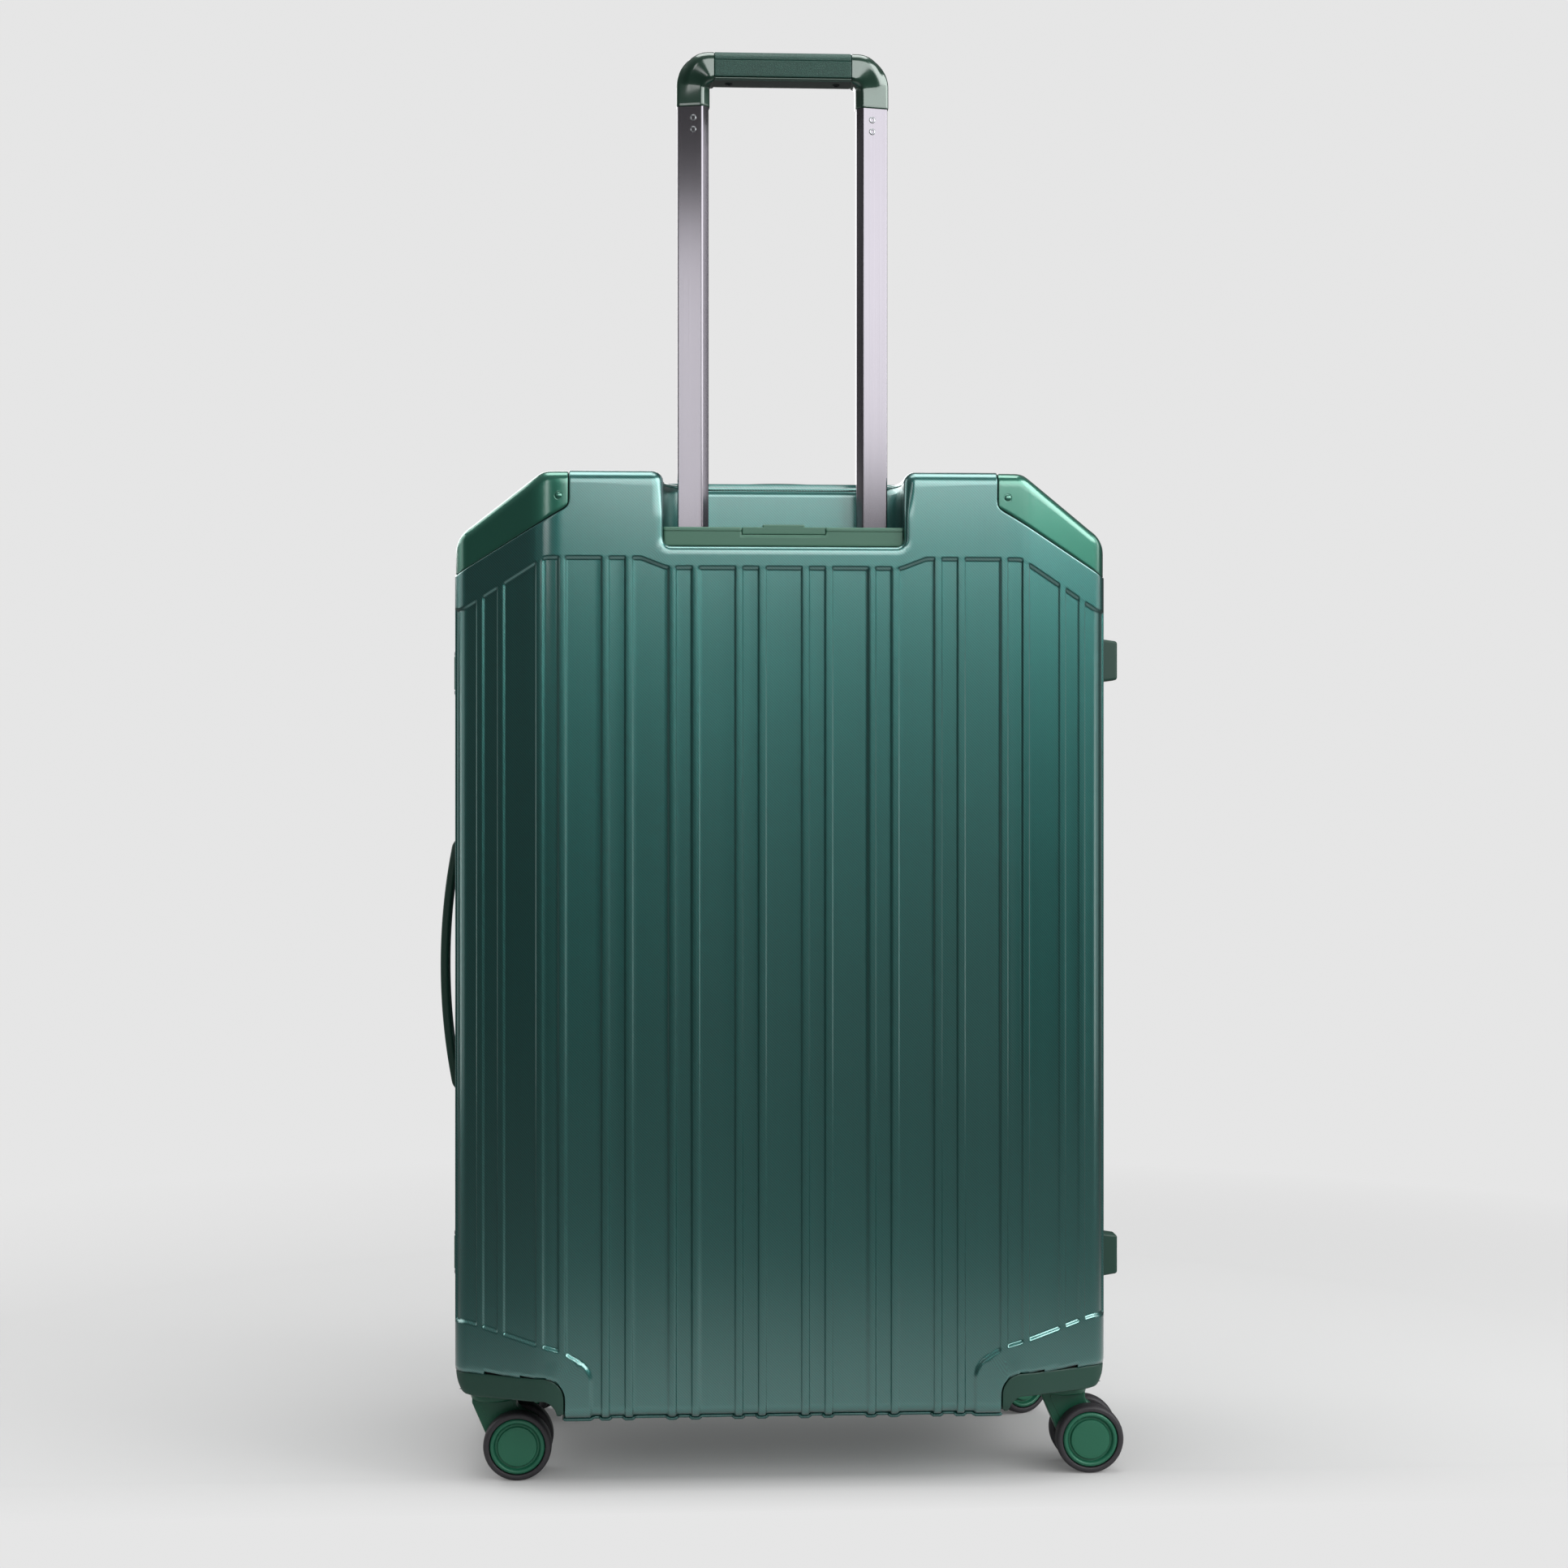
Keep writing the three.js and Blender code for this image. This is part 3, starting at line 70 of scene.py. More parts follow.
def finish_piece(name, bm, material, body, replaces=(), sharp=38, mirror="", wall=0):
    """Scales a modelled piece to metres and hangs it on its body. A wall thickens a sheet inwards."""
    for axis in mirror:
        bmesh.ops.scale(bm, vec=[-1 if axis == a else 1 for a in "xyz"], verts=bm.verts)
    bmesh.ops.scale(bm, vec=(MM, MM, MM), verts=bm.verts)
    if not wall:
        bmesh.ops.recalc_face_normals(bm, faces=bm.faces)
    elif len(mirror) % 2:
        bmesh.ops.reverse_faces(bm, faces=bm.faces)
    mesh = bpy.data.meshes.new(name)
    bm.to_mesh(mesh)
    bm.free()
    for face in mesh.polygons:
        face.use_smooth = True
    mesh.set_sharp_from_angle(angle=radians(sharp))
    piece = bpy.data.objects.new(name, mesh)
    bpy.context.scene.collection.objects.link(piece)
    mesh.materials.append(material)
    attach(piece, body)
    if replaces:
        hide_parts(*([replaces] if isinstance(replaces, str) else replaces))
    if wall:
        thickened = piece.modifiers.new("wall", "SOLIDIFY")
        thickened.thickness = wall * MM
        thickened.offset = -1
    level = piece.modifiers.new("level faces", "WEIGHTED_NORMAL")
    level.keep_sharp = True
    return piece


def moved(bm, matrix):
    bmesh.ops.transform(bm, matrix=matrix, verts=bm.verts)
    return bm


def soften(bm, width, segments=3, edges=None):
    """Rounds the given edges of a solid, or all that are sharp."""
    if edges is None:
        edges = [e for e in bm.edges if len(e.link_faces) == 2 and e.calc_face_angle(0) > SHARP_EDGE]
    bmesh.ops.bevel(bm, geom=edges, offset=width, offset_type="OFFSET", segments=segments, profile=0.5,
                    affect="EDGES", clamp_overlap=True, material=-1)


def new_block(x0, x1, y0, y1, z0, z1, round_by=0, segments=3):
    """A block between two corners with rounded edges."""
    bm = bmesh.new()
    bmesh.ops.create_cube(bm, size=1)
    bmesh.ops.scale(bm, vec=(x1 - x0, y1 - y0, z1 - z0), verts=bm.verts)
    bmesh.ops.translate(bm, vec=((x0 + x1) / 2, (y0 + y1) / 2, (z0 + z1) / 2), verts=bm.verts)
    if round_by:
        soften(bm, round_by, segments)
    return bm


def joined(target, *others):
    """Adds other solids to the first as loose islands."""
    for other in others:
        holder = bpy.data.meshes.new("holder")
        other.to_mesh(holder)
        other.free()
        target.from_mesh(holder)
        bpy.data.meshes.remove(holder)
    return target


def lathed(profile, steps=48, axis="z", matrix=None):
    """Spins a profile of (radius, height) pairs round an axis."""
    bm = bmesh.new()
    verts = [bm.verts.new((radius, 0, height)) for radius, height in profile]
    edges = [bm.edges.new(pair) for pair in zip(verts, verts[1:])]
    bmesh.ops.spin(bm, geom=verts + edges, cent=(0, 0, 0), axis=(0, 0, 1), angle=2 * pi, steps=steps,
                   use_merge=True, use_duplicate=False)
    bmesh.ops.remove_doubles(bm, verts=bm.verts, dist=1e-4)
    if axis == "y":
        moved(bm, turned(x=90))
    return moved(bm, matrix or Matrix())


def grid_of(points, wrap_across=False, wrap_along=False, cap=False):
    """A sheet of quads laid through rows of points, closed on itself where asked."""
    points = np.asarray(points, dtype=float)
    if wrap_across:
        points = np.concatenate([points, points[:, :1]], axis=1)
    if wrap_along:
        points = np.concatenate([points, points[:1]])
    rows, columns = points.shape[:2]
    bm = bmesh.new()
    bmesh.ops.create_grid(bm, x_segments=columns - 1, y_segments=rows - 1, size=1)
    bm.verts.ensure_lookup_table()
    for vert in bm.verts:
        column = round((vert.co.x + 1) / 2 * (columns - 1))
        row = round((vert.co.y + 1) / 2 * (rows - 1))
        vert.co = points[row, column]
    if wrap_across or wrap_along:
        edge = [v for v in bm.verts if v.is_boundary]
        bmesh.ops.remove_doubles(bm, verts=edge, dist=1e-3)
    if cap:
        open_edges = [e for e in bm.edges if e.is_boundary]
        bmesh.ops.holes_fill(bm, edges=open_edges, sides=0)
    bm.normal_update()
    return bm


def arc_corner(previous, corner, following, radius, step):
    """Points that round a corner between two straight runs."""
    (px, py), (x, y), (nx, ny) = previous, corner, following
    inward = atan2(y - py, x - px)
    outward = atan2(ny - y, nx - x)
    turn = atan2(sin(outward - inward), cos(outward - inward))
    if radius < 0.02 or abs(turn) < 1e-4:
        return [(x, y)]
    side = 1 if turn > 0 else -1
    tangent = radius * tan(abs(turn) / 2)
    start = (x - cos(inward) * tangent, y - sin(inward) * tangent)
    centre = (start[0] - sin(inward) * radius * side, start[1] + cos(inward) * radius * side)
    steps = max(2, ceil(abs(turn) / step))
    angles = [inward + turn * k / steps - side * pi / 2 for k in range(steps + 1)]
    return [(centre[0] + cos(a) * radius, centre[1] + sin(a) * radius) for a in angles]


def rounded_outline(corners, step=radians(8), closed=True):
    """A line of points through corners given as (a, b, radius)."""
    points = []
    count = len(corners)
    for i, (a, b, radius) in enumerate(corners):
        if not closed and i in (0, count - 1):
            points.append((a, b))
            continue
        before = corners[(i - 1) % count][:2]
        after = corners[(i + 1) % count][:2]
        points += arc_corner(before, (a, b), after, radius, step)
    return np.array(points)


def prism(outline, low, high, plane="xz", round_by=0, segments=3):
    """A flat outline given thickness. Plane names the two axes that it is drawn in."""
    bm = bmesh.new()
    first, second = ("xyz".index(a) for a in plane)
    through = 3 - first - second
    spots = []
    for pair in outline:
        place = [low] * 3
        place[first], place[second] = pair
        spots.append(bm.verts.new(place))
    lifted = bmesh.ops.extrude_face_region(bm, geom=[bm.faces.new(spots)])
    tops = [v for v in lifted["geom"] if isinstance(v, bmesh.types.BMVert)]
    bmesh.ops.translate(bm, vec=[high - low if k == through else 0 for k in range(3)], verts=tops)
    bmesh.ops.recalc_face_normals(bm, faces=bm.faces)
    if round_by:
        rims = [e for e in bm.edges if abs(e.verts[0].co[through] - e.verts[1].co[through]) < 1e-5]
        soften(bm, round_by, segments, edges=rims)
    return bm


def swept(path, sections, up, closed=False):
    """Carries closed sections of (across, up) points along a path, one for each of its points."""
    path = [Vector(p) for p in path]
    count = len(path)
    rows = []
    for i, point in enumerate(path):
        before = path[i - 1] if closed or i else point
        after = path[(i + 1) % count] if closed or i < count - 1 else point
        first = (point - before).normalized() if (point - before).length else None
        last = (after - point).normalized() if (after - point).length else None
        ahead = ((first or last) + (last or first)).normalized()
        across = ahead.cross(Vector(up)).normalized()
        rise = across.cross(ahead).normalized()
        stretch = 1 / max(0.3, (first or last).dot(ahead))
        rows.append([point + across * a * stretch + rise * b for a, b in sections[i]])
    return grid_of(rows, wrap_across=True, wrap_along=closed, cap=not closed)


def cut_opening(bm, outline, where, reach):
    """Cuts an upright opening into a sheet, and lays the cut edge on its outline."""
    chosen = [v for v in bm.verts if where(v.co)]
    a, b = (np.array([v.co[k] for v in chosen]) for k in (0, 1))
    gap = outline_distance(outline, a, b)
    lean_a, lean_b = outline_lean(outline, a, b, PROBE), outline_lean(outline, a, b, 0, PROBE)
    far = {v: g for v, g in zip(chosen, gap)}
    gone = [f for f in bm.faces if all(v in far for v in f.verts) and sum(far[v] for v in f.verts) < 0]
    bmesh.ops.delete(bm, geom=gone, context="FACES")
    for vert, g, da, db in zip(chosen, gap, lean_a, lean_b):
        if vert.is_valid and vert.is_boundary and abs(g) < reach:
            vert.co.x -= g * da
            vert.co.y -= g * db


def unit(directions):
    """Rows of two numbers, each brought to a length of 1."""
    return directions / np.hypot(*directions.T)[:, None]


def offset_outline(points, distance):
    """A closed outline moved outwards. It runs counter-clockwise."""
    points = np.asarray(points, dtype=float)
    before = unit(points - np.roll(points, 1, axis=0))
    ahead = unit(before + unit(np.roll(points, -1, axis=0) - points))
    out = np.stack([ahead[:, 1], -ahead[:, 0]], axis=1)
    lean = np.clip((before * ahead).sum(1), 0.4, 1)
    return points + out * (distance / lean)[:, None]


def reach_at(outline, angles):
    """How far a closed outline round the origin reaches at each angle."""
    start = np.asarray(outline, dtype=float)
    run = np.roll(start, -1, axis=0) - start
    reach = []
    for angle in angles:
        ray = np.array([cos(angle), sin(angle)])
        turn = run[:, 0] * ray[1] - run[:, 1] * ray[0]
        safe = np.where(np.abs(turn) < 1e-9, 1e-9, turn)
        share = -(start[:, 0] * ray[1] - start[:, 1] * ray[0]) / safe
        far = (start + run * share[:, None]) @ ray
        hits = (share >= -1e-9) & (share <= 1 + 1e-9) & (far > 0)
        reach.append(far[hits].max())
    return np.array(reach)


def rounded_box_outline(half_a, half_b, radius, centre=(0, 0), step=radians(12)):
    a, b = centre
    return rounded_outline([
        (a - half_a, b - half_b, radius), (a + half_a, b - half_b, radius),
        (a + half_a, b + half_b, radius), (a - half_a, b + half_b, radius),
    ], step)


def tube_of(outer, inner, low, high):
    """An upright tube between two outlines that have as many points as each other."""
    levels = [(outer, low), (outer, high), (inner, high), (inner, low)]
    rows = [[(a, b, z) for a, b in outline] for outline, z in levels]
    return grid_of(rows, wrap_across=True, wrap_along=True)


def smooth_step(value):
    value = np.clip(value, 0, 1)
    return value * value * (3 - 2 * value)


def merged_marks(*groups, nearest=0.4):
    """Positions for grid lines. A position too near one from an earlier group is dropped."""
    kept = []
    for group in groups:
        for mark in group:
            if all(abs(mark - other) >= nearest for other in kept):
                kept.append(mark)
    return np.array(sorted(kept))


# ---------------------------------------------------------------- shader groups

def shader_group(name, inputs, outputs):
    """A shared node group with named inputs and outputs. Inputs are (name, kind, value)."""
    group = bpy.data.node_groups.new(name, "ShaderNodeTree")
    for label, kind, value in inputs:
        socket = group.interface.new_socket(label, in_out="INPUT", socket_type=f"NodeSocket{kind}")
        if value is not None:
            socket.default_value = value
    for label, kind in outputs:
        group.interface.new_socket(label, in_out="OUTPUT", socket_type=f"NodeSocket{kind}")
    return group, group.nodes.new("NodeGroupInput"), group.nodes.new("NodeGroupOutput")


def add_node(tree, kind, **settings):
    node = tree.nodes.new(kind)
    for key, value in settings.items():
        setattr(node, key, value)
    return node


def wire(tree, target, value):
    """Feeds a socket from another socket or from a plain value."""
    if isinstance(value, bpy.types.NodeSocket):
        tree.links.new(value, target)
    elif target.type == "VECTOR":
        target.default_value = value[:3]
    else:
        target.default_value = value


def math(tree, operation, first, second=0.0, third=0.0):
    node = add_node(tree, "ShaderNodeMath", operation=operation)
    for socket, value in zip(node.inputs, (first, second, third)):
        wire(tree, socket, value)
    return node.outputs[0]


def ramp(tree, value, low, high, to_low=0.0, to_high=1.0):
    node = add_node(tree, "ShaderNodeMapRange", clamp=True)
    for socket, given in zip(node.inputs, (value, low, high, to_low, to_high)):
        wire(tree, socket, given)
    return node.outputs[0]


def stretched(tree, vector, scale):
    node = add_node(tree, "ShaderNodeVectorMath", operation="MULTIPLY")
    wire(tree, node.inputs[0], vector)
    node.inputs[1].default_value = scale
    return node.outputs[0]


def noise(tree, vector, scale, detail=3.0, rough=0.5):
    node = add_node(tree, "ShaderNodeTexNoise")
    wire(tree, node.inputs["Vector"], vector)
    wire(tree, node.inputs["Scale"], scale)
    node.inputs["Detail"].default_value = detail
    node.inputs["Roughness"].default_value = rough
    return node.outputs["Fac"]


def tinted(tree, color, amount):
    """Makes a colour lighter or darker. An amount of 1 leaves it as it is."""
    node = add_node(tree, "ShaderNodeVectorMath", operation="SCALE")
    wire(tree, node.inputs[0], color)
    wire(tree, node.inputs["Scale"], amount)
    return node.outputs[0]


def weave_group(name, pitch, repeat):
    """Crossing threads a pitch wide: a plain weave with a repeat of 2, a two-by-two twill with 4."""
    group, given, result = shader_group(
        name, [("Vector", "Vector", None), ("Pitch", "Float", pitch)], [("Height", "Float"), ("Over", "Float")])
    split = add_node(group, "ShaderNodeSeparateXYZ")
    wire(group, split.inputs[0], given.outputs["Vector"])
    across = math(group, "DIVIDE", split.outputs[0], given.outputs["Pitch"])
    along = math(group, "DIVIDE", split.outputs[1], given.outputs["Pitch"])
    step = math(group, "ADD", math(group, "FLOOR", across), math(group, "FLOOR", along))
    over = math(group, "FLOORED_MODULO", step, repeat)
    if repeat > 2:
        over = math(group, "LESS_THAN", over, 2.0)
    round_across = math(group, "SINE", math(group, "MULTIPLY", math(group, "FRACT", across), pi))
    round_along = math(group, "SINE", math(group, "MULTIPLY", math(group, "FRACT", along), pi))
    blend = add_node(group, "ShaderNodeMix", data_type="FLOAT")
    for socket, value in zip(blend.inputs[0:1] + blend.inputs[2:4], (over, round_along, round_across)):
        wire(group, socket, value)
    wire(group, result.inputs["Height"], blend.outputs[0])
    wire(group, result.inputs["Over"], over)
    return group


def grain_group():
    """Fine grain of a moulded or painted surface, and the slow drift of its colour and gloss."""
    group, given, result = shader_group(
        "moulded grain",
        [("Vector", "Vector", None), ("Grain", "Float", 1800.0), ("Drift", "Float", 9.0), ("Base", "Color", None),
         ("Shade", "Float", 0.06), ("Rough", "Float", 0.4), ("Rough Range", "Float", 0.06)],
        [("Color", "Color"), ("Roughness", "Float"), ("Height", "Float")])
    fine = noise(group, given.outputs["Vector"], given.outputs["Grain"], 2.0)
    slow = noise(group, given.outputs["Vector"], given.outputs["Drift"], 5.0, 0.6)
    centred = math(group, "SUBTRACT", slow, 0.5)
    shade = math(group, "MULTIPLY_ADD", centred, math(group, "MULTIPLY", given.outputs["Shade"], 2.0), 1.0)
    speck = math(group, "MULTIPLY_ADD", math(group, "SUBTRACT", fine, 0.5), given.outputs["Shade"], shade)
    wire(group, result.inputs["Color"], tinted(group, given.outputs["Base"], speck))
    rough = math(group, "MULTIPLY_ADD", centred, math(group, "MULTIPLY", given.outputs["Rough Range"], 2.0),
                 given.outputs["Rough"])
    wire(group, result.inputs["Roughness"], rough)
    wire(group, result.inputs["Height"], fine)
    return group


TWILL = weave_group("pressed twill", 0.0006, 4.0)
GRAIN = grain_group()
CLOTH = weave_group("plain weave", 0.0007, 2.0)


# ---------------------------------------------------------------- materials

def from_hex(code):
    """A colour written as on a paint card, turned into linear light."""
    parts = [int(code[i:i + 2], 16) / 255 for i in (0, 2, 4)]
    return tuple(c / 12.92 if c <= 0.04045 else ((c + 0.055) / 1.055) ** 2.4 for c in parts) + (1.0,)


def new_material(name, color, roughness, metallic=0.0, **more):
    material = bpy.data.materials.new(name)
    material.use_nodes = True
    tree = material.node_tree
    shader = tree.nodes["Principled BSDF"]
    shader.inputs["Base Color"].default_value = from_hex(color)
    shader.inputs["Roughness"].default_value = roughness
    shader.inputs["Metallic"].default_value = metallic
    for label, value in more.items():
        shader.inputs[label.replace("_", " ").title().replace("Ior", "IOR")].default_value = value
    return material, tree, shader


def place_group(tree, group, **values):
    node = add_node(tree, "ShaderNodeGroup", node_tree=group)
    for label, value in values.items():
        wire(tree, node.inputs[label.replace("_", " ").title()], value)
    return node


def feed(tree, shader, color, roughness=None):
    """Leads a colour and a roughness into a material's shader."""
    tree.links.new(color, shader.inputs["Base Color"])
    if roughness:
        tree.links.new(roughness, shader.inputs["Roughness"])


def bump(tree, shader, height, distance, strength=1.0):
    node = add_node(tree, "ShaderNodeBump")
    node.inputs["Distance"].default_value = distance
    node.inputs["Strength"].default_value = strength
    wire(tree, node.inputs["Height"], height)
    tree.links.new(node.outputs[0], shader.inputs["Normal"])


def object_place(tree):
    return add_node(tree, "ShaderNodeTexCoord").outputs["Object"]


def surface_place(tree):
    return add_node(tree, "ShaderNodeUVMap", uv_map="wrap").outputs["UV"]


def moulded(name, color, rough, grain=1800.0, depth=0.00002, shade=0.06, rough_range=0.05, metallic=0.0, **more):
    """A moulded plastic, paint or cast finish with its own grain."""
    material, tree, shader = new_material(name, color, rough, metallic, **more)
    surface = place_group(tree, GRAIN, vector=object_place(tree), grain=grain, base=from_hex(color), shade=shade,
                          rough=rough, rough_range=rough_range)
    feed(tree, shader, surface.outputs["Color"], surface.outputs["Roughness"])
    bump(tree, shader, surface.outputs["Height"], depth)
    return material


def twill_shell():
    """Polycarbonate sheet with a pressed twill, a metallic pearl and faint streaks from the rollers."""
    base = "266F69"
    material, tree, shader = new_material("twill polycarbonate", base, 0.28, 0.9, coat_weight=1.0, coat_ior=2.0,
                                          coat_roughness=0.18)
    place = surface_place(tree)
    twill = place_group(tree, TWILL, vector=place, pitch=0.00048)
    streaks = noise(tree, stretched(tree, place, (420.0, 2.5, 1.0)), 1.0, 3.0, 0.5)
    clouds = noise(tree, place, 7.0, 3.0)
    shade = ramp(tree, streaks, 0.3, 0.7, 0.985, 1.015)
    shade = math(tree, "MULTIPLY", shade, ramp(tree, clouds, 0.25, 0.75, 0.95, 1.05))
    # The twill's height and its over-threads lighten and darken the colour: painted shade and highlight of the pressed
    # relief, on top of its bump
    shade = math(tree, "MULTIPLY", shade, ramp(tree, twill.outputs["Height"], 0.0, 1.0, 0.5, 1.28))
    shade = math(tree, "MULTIPLY_ADD", twill.outputs["Over"], 0.3, math(tree, "SUBTRACT", shade, 0.15))
    feed(tree, shader, tinted(tree, from_hex(base), shade), ramp(tree, streaks, 0.2, 0.8, 0.274, 0.286))
    bump(tree, shader, twill.outputs["Height"], 0.000022, 0.9)
    return material


def anodised(name, color, rough, stretch, depth=0.00001, spread=0.05):
    """Satin anodised aluminium with fine lines from drawing or brushing."""
    material, tree, shader = new_material(name, color, rough, 1.0)
    place = object_place(tree)
    lines = noise(tree, stretched(tree, place, stretch), 1.0, 4.0, 0.65)
    surface = place_group(tree, GRAIN, vector=place, grain=2600.0, drift=14.0, base=from_hex(color), shade=0.05,
                          rough=rough, rough_range=spread)
    tint = tinted(tree, surface.outputs["Color"], ramp(tree, lines, 0.3, 0.7, 0.92, 1.06))
    smooth = math(tree, "SUBTRACT", surface.outputs["Roughness"], spread)
    feed(tree, shader, tint, math(tree, "MULTIPLY_ADD", lines, 2 * spread, smooth))
    bump(tree, shader, lines, depth, 0.6)
    return material


def leather(name, color):
    """Pebbled leather with fine creases between the grains."""
    material, tree, shader = new_material(name, color, 0.5, 0.0, specular_ior_level=0.45)
    place = object_place(tree)
    pebbles = add_node(tree, "ShaderNodeTexVoronoi", feature="DISTANCE_TO_EDGE")
    wire(tree, pebbles.inputs["Vector"], place)
    pebbles.inputs["Scale"].default_value = 950.0
    crease = ramp(tree, pebbles.outputs["Distance"], 0.0, 0.22)
    surface = place_group(tree, GRAIN, vector=place, grain=3200.0, drift=30.0, base=from_hex(color), shade=0.12,
                          rough=0.5, rough_range=0.08)
    # The creases are darker in colour: painted shade in them, on top of their bump
    tint = tinted(tree, surface.outputs["Color"], ramp(tree, crease, 0.0, 1.0, 0.6, 1.05))
    dull = math(tree, "ADD", surface.outputs["Roughness"], 0.1)
    feed(tree, shader, tint, math(tree, "MULTIPLY_ADD", crease, -0.12, dull))
    bump(tree, shader, crease, 0.00012, 0.7)
    return material


def cloth(name, color, pitch, rough=0.85, sheen=0.25):
    """Woven polyester that follows the piece's own surface."""
    material, tree, shader = new_material(name, color, rough, 0.0, sheen_weight=sheen, specular_ior_level=0.2)
    place = surface_place(tree)
    weave = place_group(tree, CLOTH, vector=place, pitch=pitch)
    slow = noise(tree, place, 22.0, 4.0)
    # The weave lightens the colour on the threads that lie over and darkens it between the threads: painted shade of
    # the weave
    shade = math(tree, "MULTIPLY", ramp(tree, slow, 0.3, 0.7, 0.9, 1.1),
                 ramp(tree, weave.outputs["Height"], 0.0, 1.0, 0.62, 1.1))
    shade = math(tree, "MULTIPLY_ADD", weave.outputs["Over"], 0.12, math(tree, "SUBTRACT", shade, 0.06))
    feed(tree, shader, tinted(tree, from_hex(color), shade))
    bump(tree, shader, weave.outputs["Height"], pitch * 0.16, 0.8)
    return material


SHELL_SHEET = twill_shell()
GUARD_PAINT = moulded("green guard paint", "28735F", 0.3, 2400.0, 0.000012, 0.04, 0.05, 0.8, coat_weight=0.9,
                      coat_ior=1.8, coat_roughness=0.15)
HOUSING_PLASTIC = moulded("dark green housing plastic", "173C31", 0.46, 1500.0, 0.00003)
CASTER_PLASTIC = moulded("green caster plastic", "15513C", 0.38, 1700.0, 0.00002, metallic=0.15)
CAP_PLASTIC = moulded("green wheel cap", "1F6149", 0.42, 1600.0, 0.00002, metallic=0.2)
GRIP_PLASTIC = moulded("green grip paint", "0A3828", 0.3, 1500.0, 0.000015, metallic=0.5, coat_weight=1.0,
                       coat_ior=1.8, coat_roughness=0.15)
BEZEL_PLASTIC = moulded("grey green bezel plastic", "3F6B58", 0.44, 1300.0, 0.00003)
HANDLE_PLASTIC = moulded("soft green handle plastic", "133A2F", 0.52, 1400.0, 0.00003)
DARK_PLASTIC = moulded("black moulded plastic", "1A1C1C", 0.5, 1400.0, 0.00003)
TYRE_RUBBER = moulded("charcoal tyre", "29272B", 0.55, 1200.0, 0.00003, 0.1)
SEAL_RUBBER = moulded("black seal rubber", "161717", 0.7, 1600.0, 0.00003, 0.1)
TUBE_METAL = anodised("drawn anodised aluminium", "7E7B81", 0.15, (3000.0, 3000.0, 3.0), 0.000001, 0.012)
RAIL_METAL = anodised("brushed anodised frame", "8F9492", 0.34, (900.0, 60.0, 900.0))
STEEL = anodised("brushed steel", "9A9DA0", 0.28, (60.0, 1500.0, 1500.0))
GRIP_LEATHER = leather("dark green grip leather", "1F4A40")
LINING = cloth("grey green lining", "4A5F58", 0.0011)
WEBBING = cloth("dark green webbing", "1E3A31", 0.0016, 0.8, 0.15)
MESH_CLOTH = cloth("dark divider cloth", "2B3834", 0.0009)


# ---------------------------------------------------------------- body form

HALF_WIDTH = 224
HALF_DEPTH = 142
BODY_BOTTOM = 50
BODY_TOP = 690
FACE_HALF_WIDTH = 162
FACET_ANGLE = radians(24)
FACET_DROP = (HALF_WIDTH - FACE_HALF_WIDTH) * tan(FACET_ANGLE)
FACET_LENGTH = (HALF_WIDTH - FACE_HALF_WIDTH) / cos(FACET_ANGLE)
FACET_SOFT_RADIUS = 60
FACET_SIDE_RADIUS = 16
EDGE_RADIUS = 8
ARC_LOW, ARC_HIGH = EDGE_RADIUS + BODY_BOTTOM, BODY_TOP - EDGE_RADIUS
RAIL_EDGE = -12.9

ELEVATION = rounded_outline([
    (-HALF_WIDTH, BODY_BOTTOM, 30), (HALF_WIDTH, BODY_BOTTOM, 30), (HALF_WIDTH, 646, 22),
    (162.5, BODY_TOP, 14), (-162.5, BODY_TOP, 14), (-HALF_WIDTH, 646, 22),
], radians(5))
PLAN = rounded_outline([
    (-HALF_WIDTH, HALF_DEPTH, 0), (-HALF_WIDTH, FACET_DROP - HALF_DEPTH, FACET_SIDE_RADIUS),
    (-FACE_HALF_WIDTH, -HALF_DEPTH, FACET_SOFT_RADIUS), (FACE_HALF_WIDTH, -HALF_DEPTH, FACET_SOFT_RADIUS),
    (HALF_WIDTH, FACET_DROP - HALF_DEPTH, FACET_SIDE_RADIUS), (HALF_WIDTH, HALF_DEPTH, 0),
], radians(4))


def outline_distance(outline, a, b):
    """Distance from a closed outline, negative inside it."""
    start = outline
    end = np.roll(outline, -1, axis=0)
    run = end - start
    length = (run ** 2).sum(1)
    keep = length > 1e-9
    start, run, length = start[keep], run[keep], length[keep]
    best = np.full(a.shape, 1e9)
    crossings = np.zeros(a.shape, dtype=int)
    for (sa, sb), (ra, rb), size in zip(start, run, length):
        along = np.clip(((a - sa) * ra + (b - sb) * rb) / size, 0, 1)
        best = np.minimum(best, (a - sa - along * ra) ** 2 + (b - sb - along * rb) ** 2)
        spans = (sb > b) != (sb + rb > b)
        if rb:
            crossings += spans & (a < sa + (b - sb) * ra / rb)
    return np.where(crossings % 2 == 1, -1, 1) * np.sqrt(best)


def outline_lean(outline, a, b, along_a=0, along_b=0):
    """How fast the distance from an outline grows along a short step."""
    ahead = outline_distance(outline, a + along_a, b + along_b)
    return (ahead - outline_distance(outline, a - along_a, b - along_b)) / (2 * PROBE)


def body_distance(points):
    """Distance from the body's surface, negative inside, with the crossing edges rounded."""
    x, y, z = points.T
    side = outline_distance(ELEVATION, x, z)
    plan = outline_distance(PLAN, x, y)
    crossing = outline_lean(ELEVATION, x, z, PROBE) * outline_lean(PLAN, x, y, PROBE)
    radius = EDGE_RADIUS * np.clip(1 - crossing, 0.001, 1)
    a, b = side + radius, plan + radius
    return np.minimum(np.maximum(a, b), 0) + np.hypot(np.maximum(a, 0), np.maximum(b, 0)) - radius


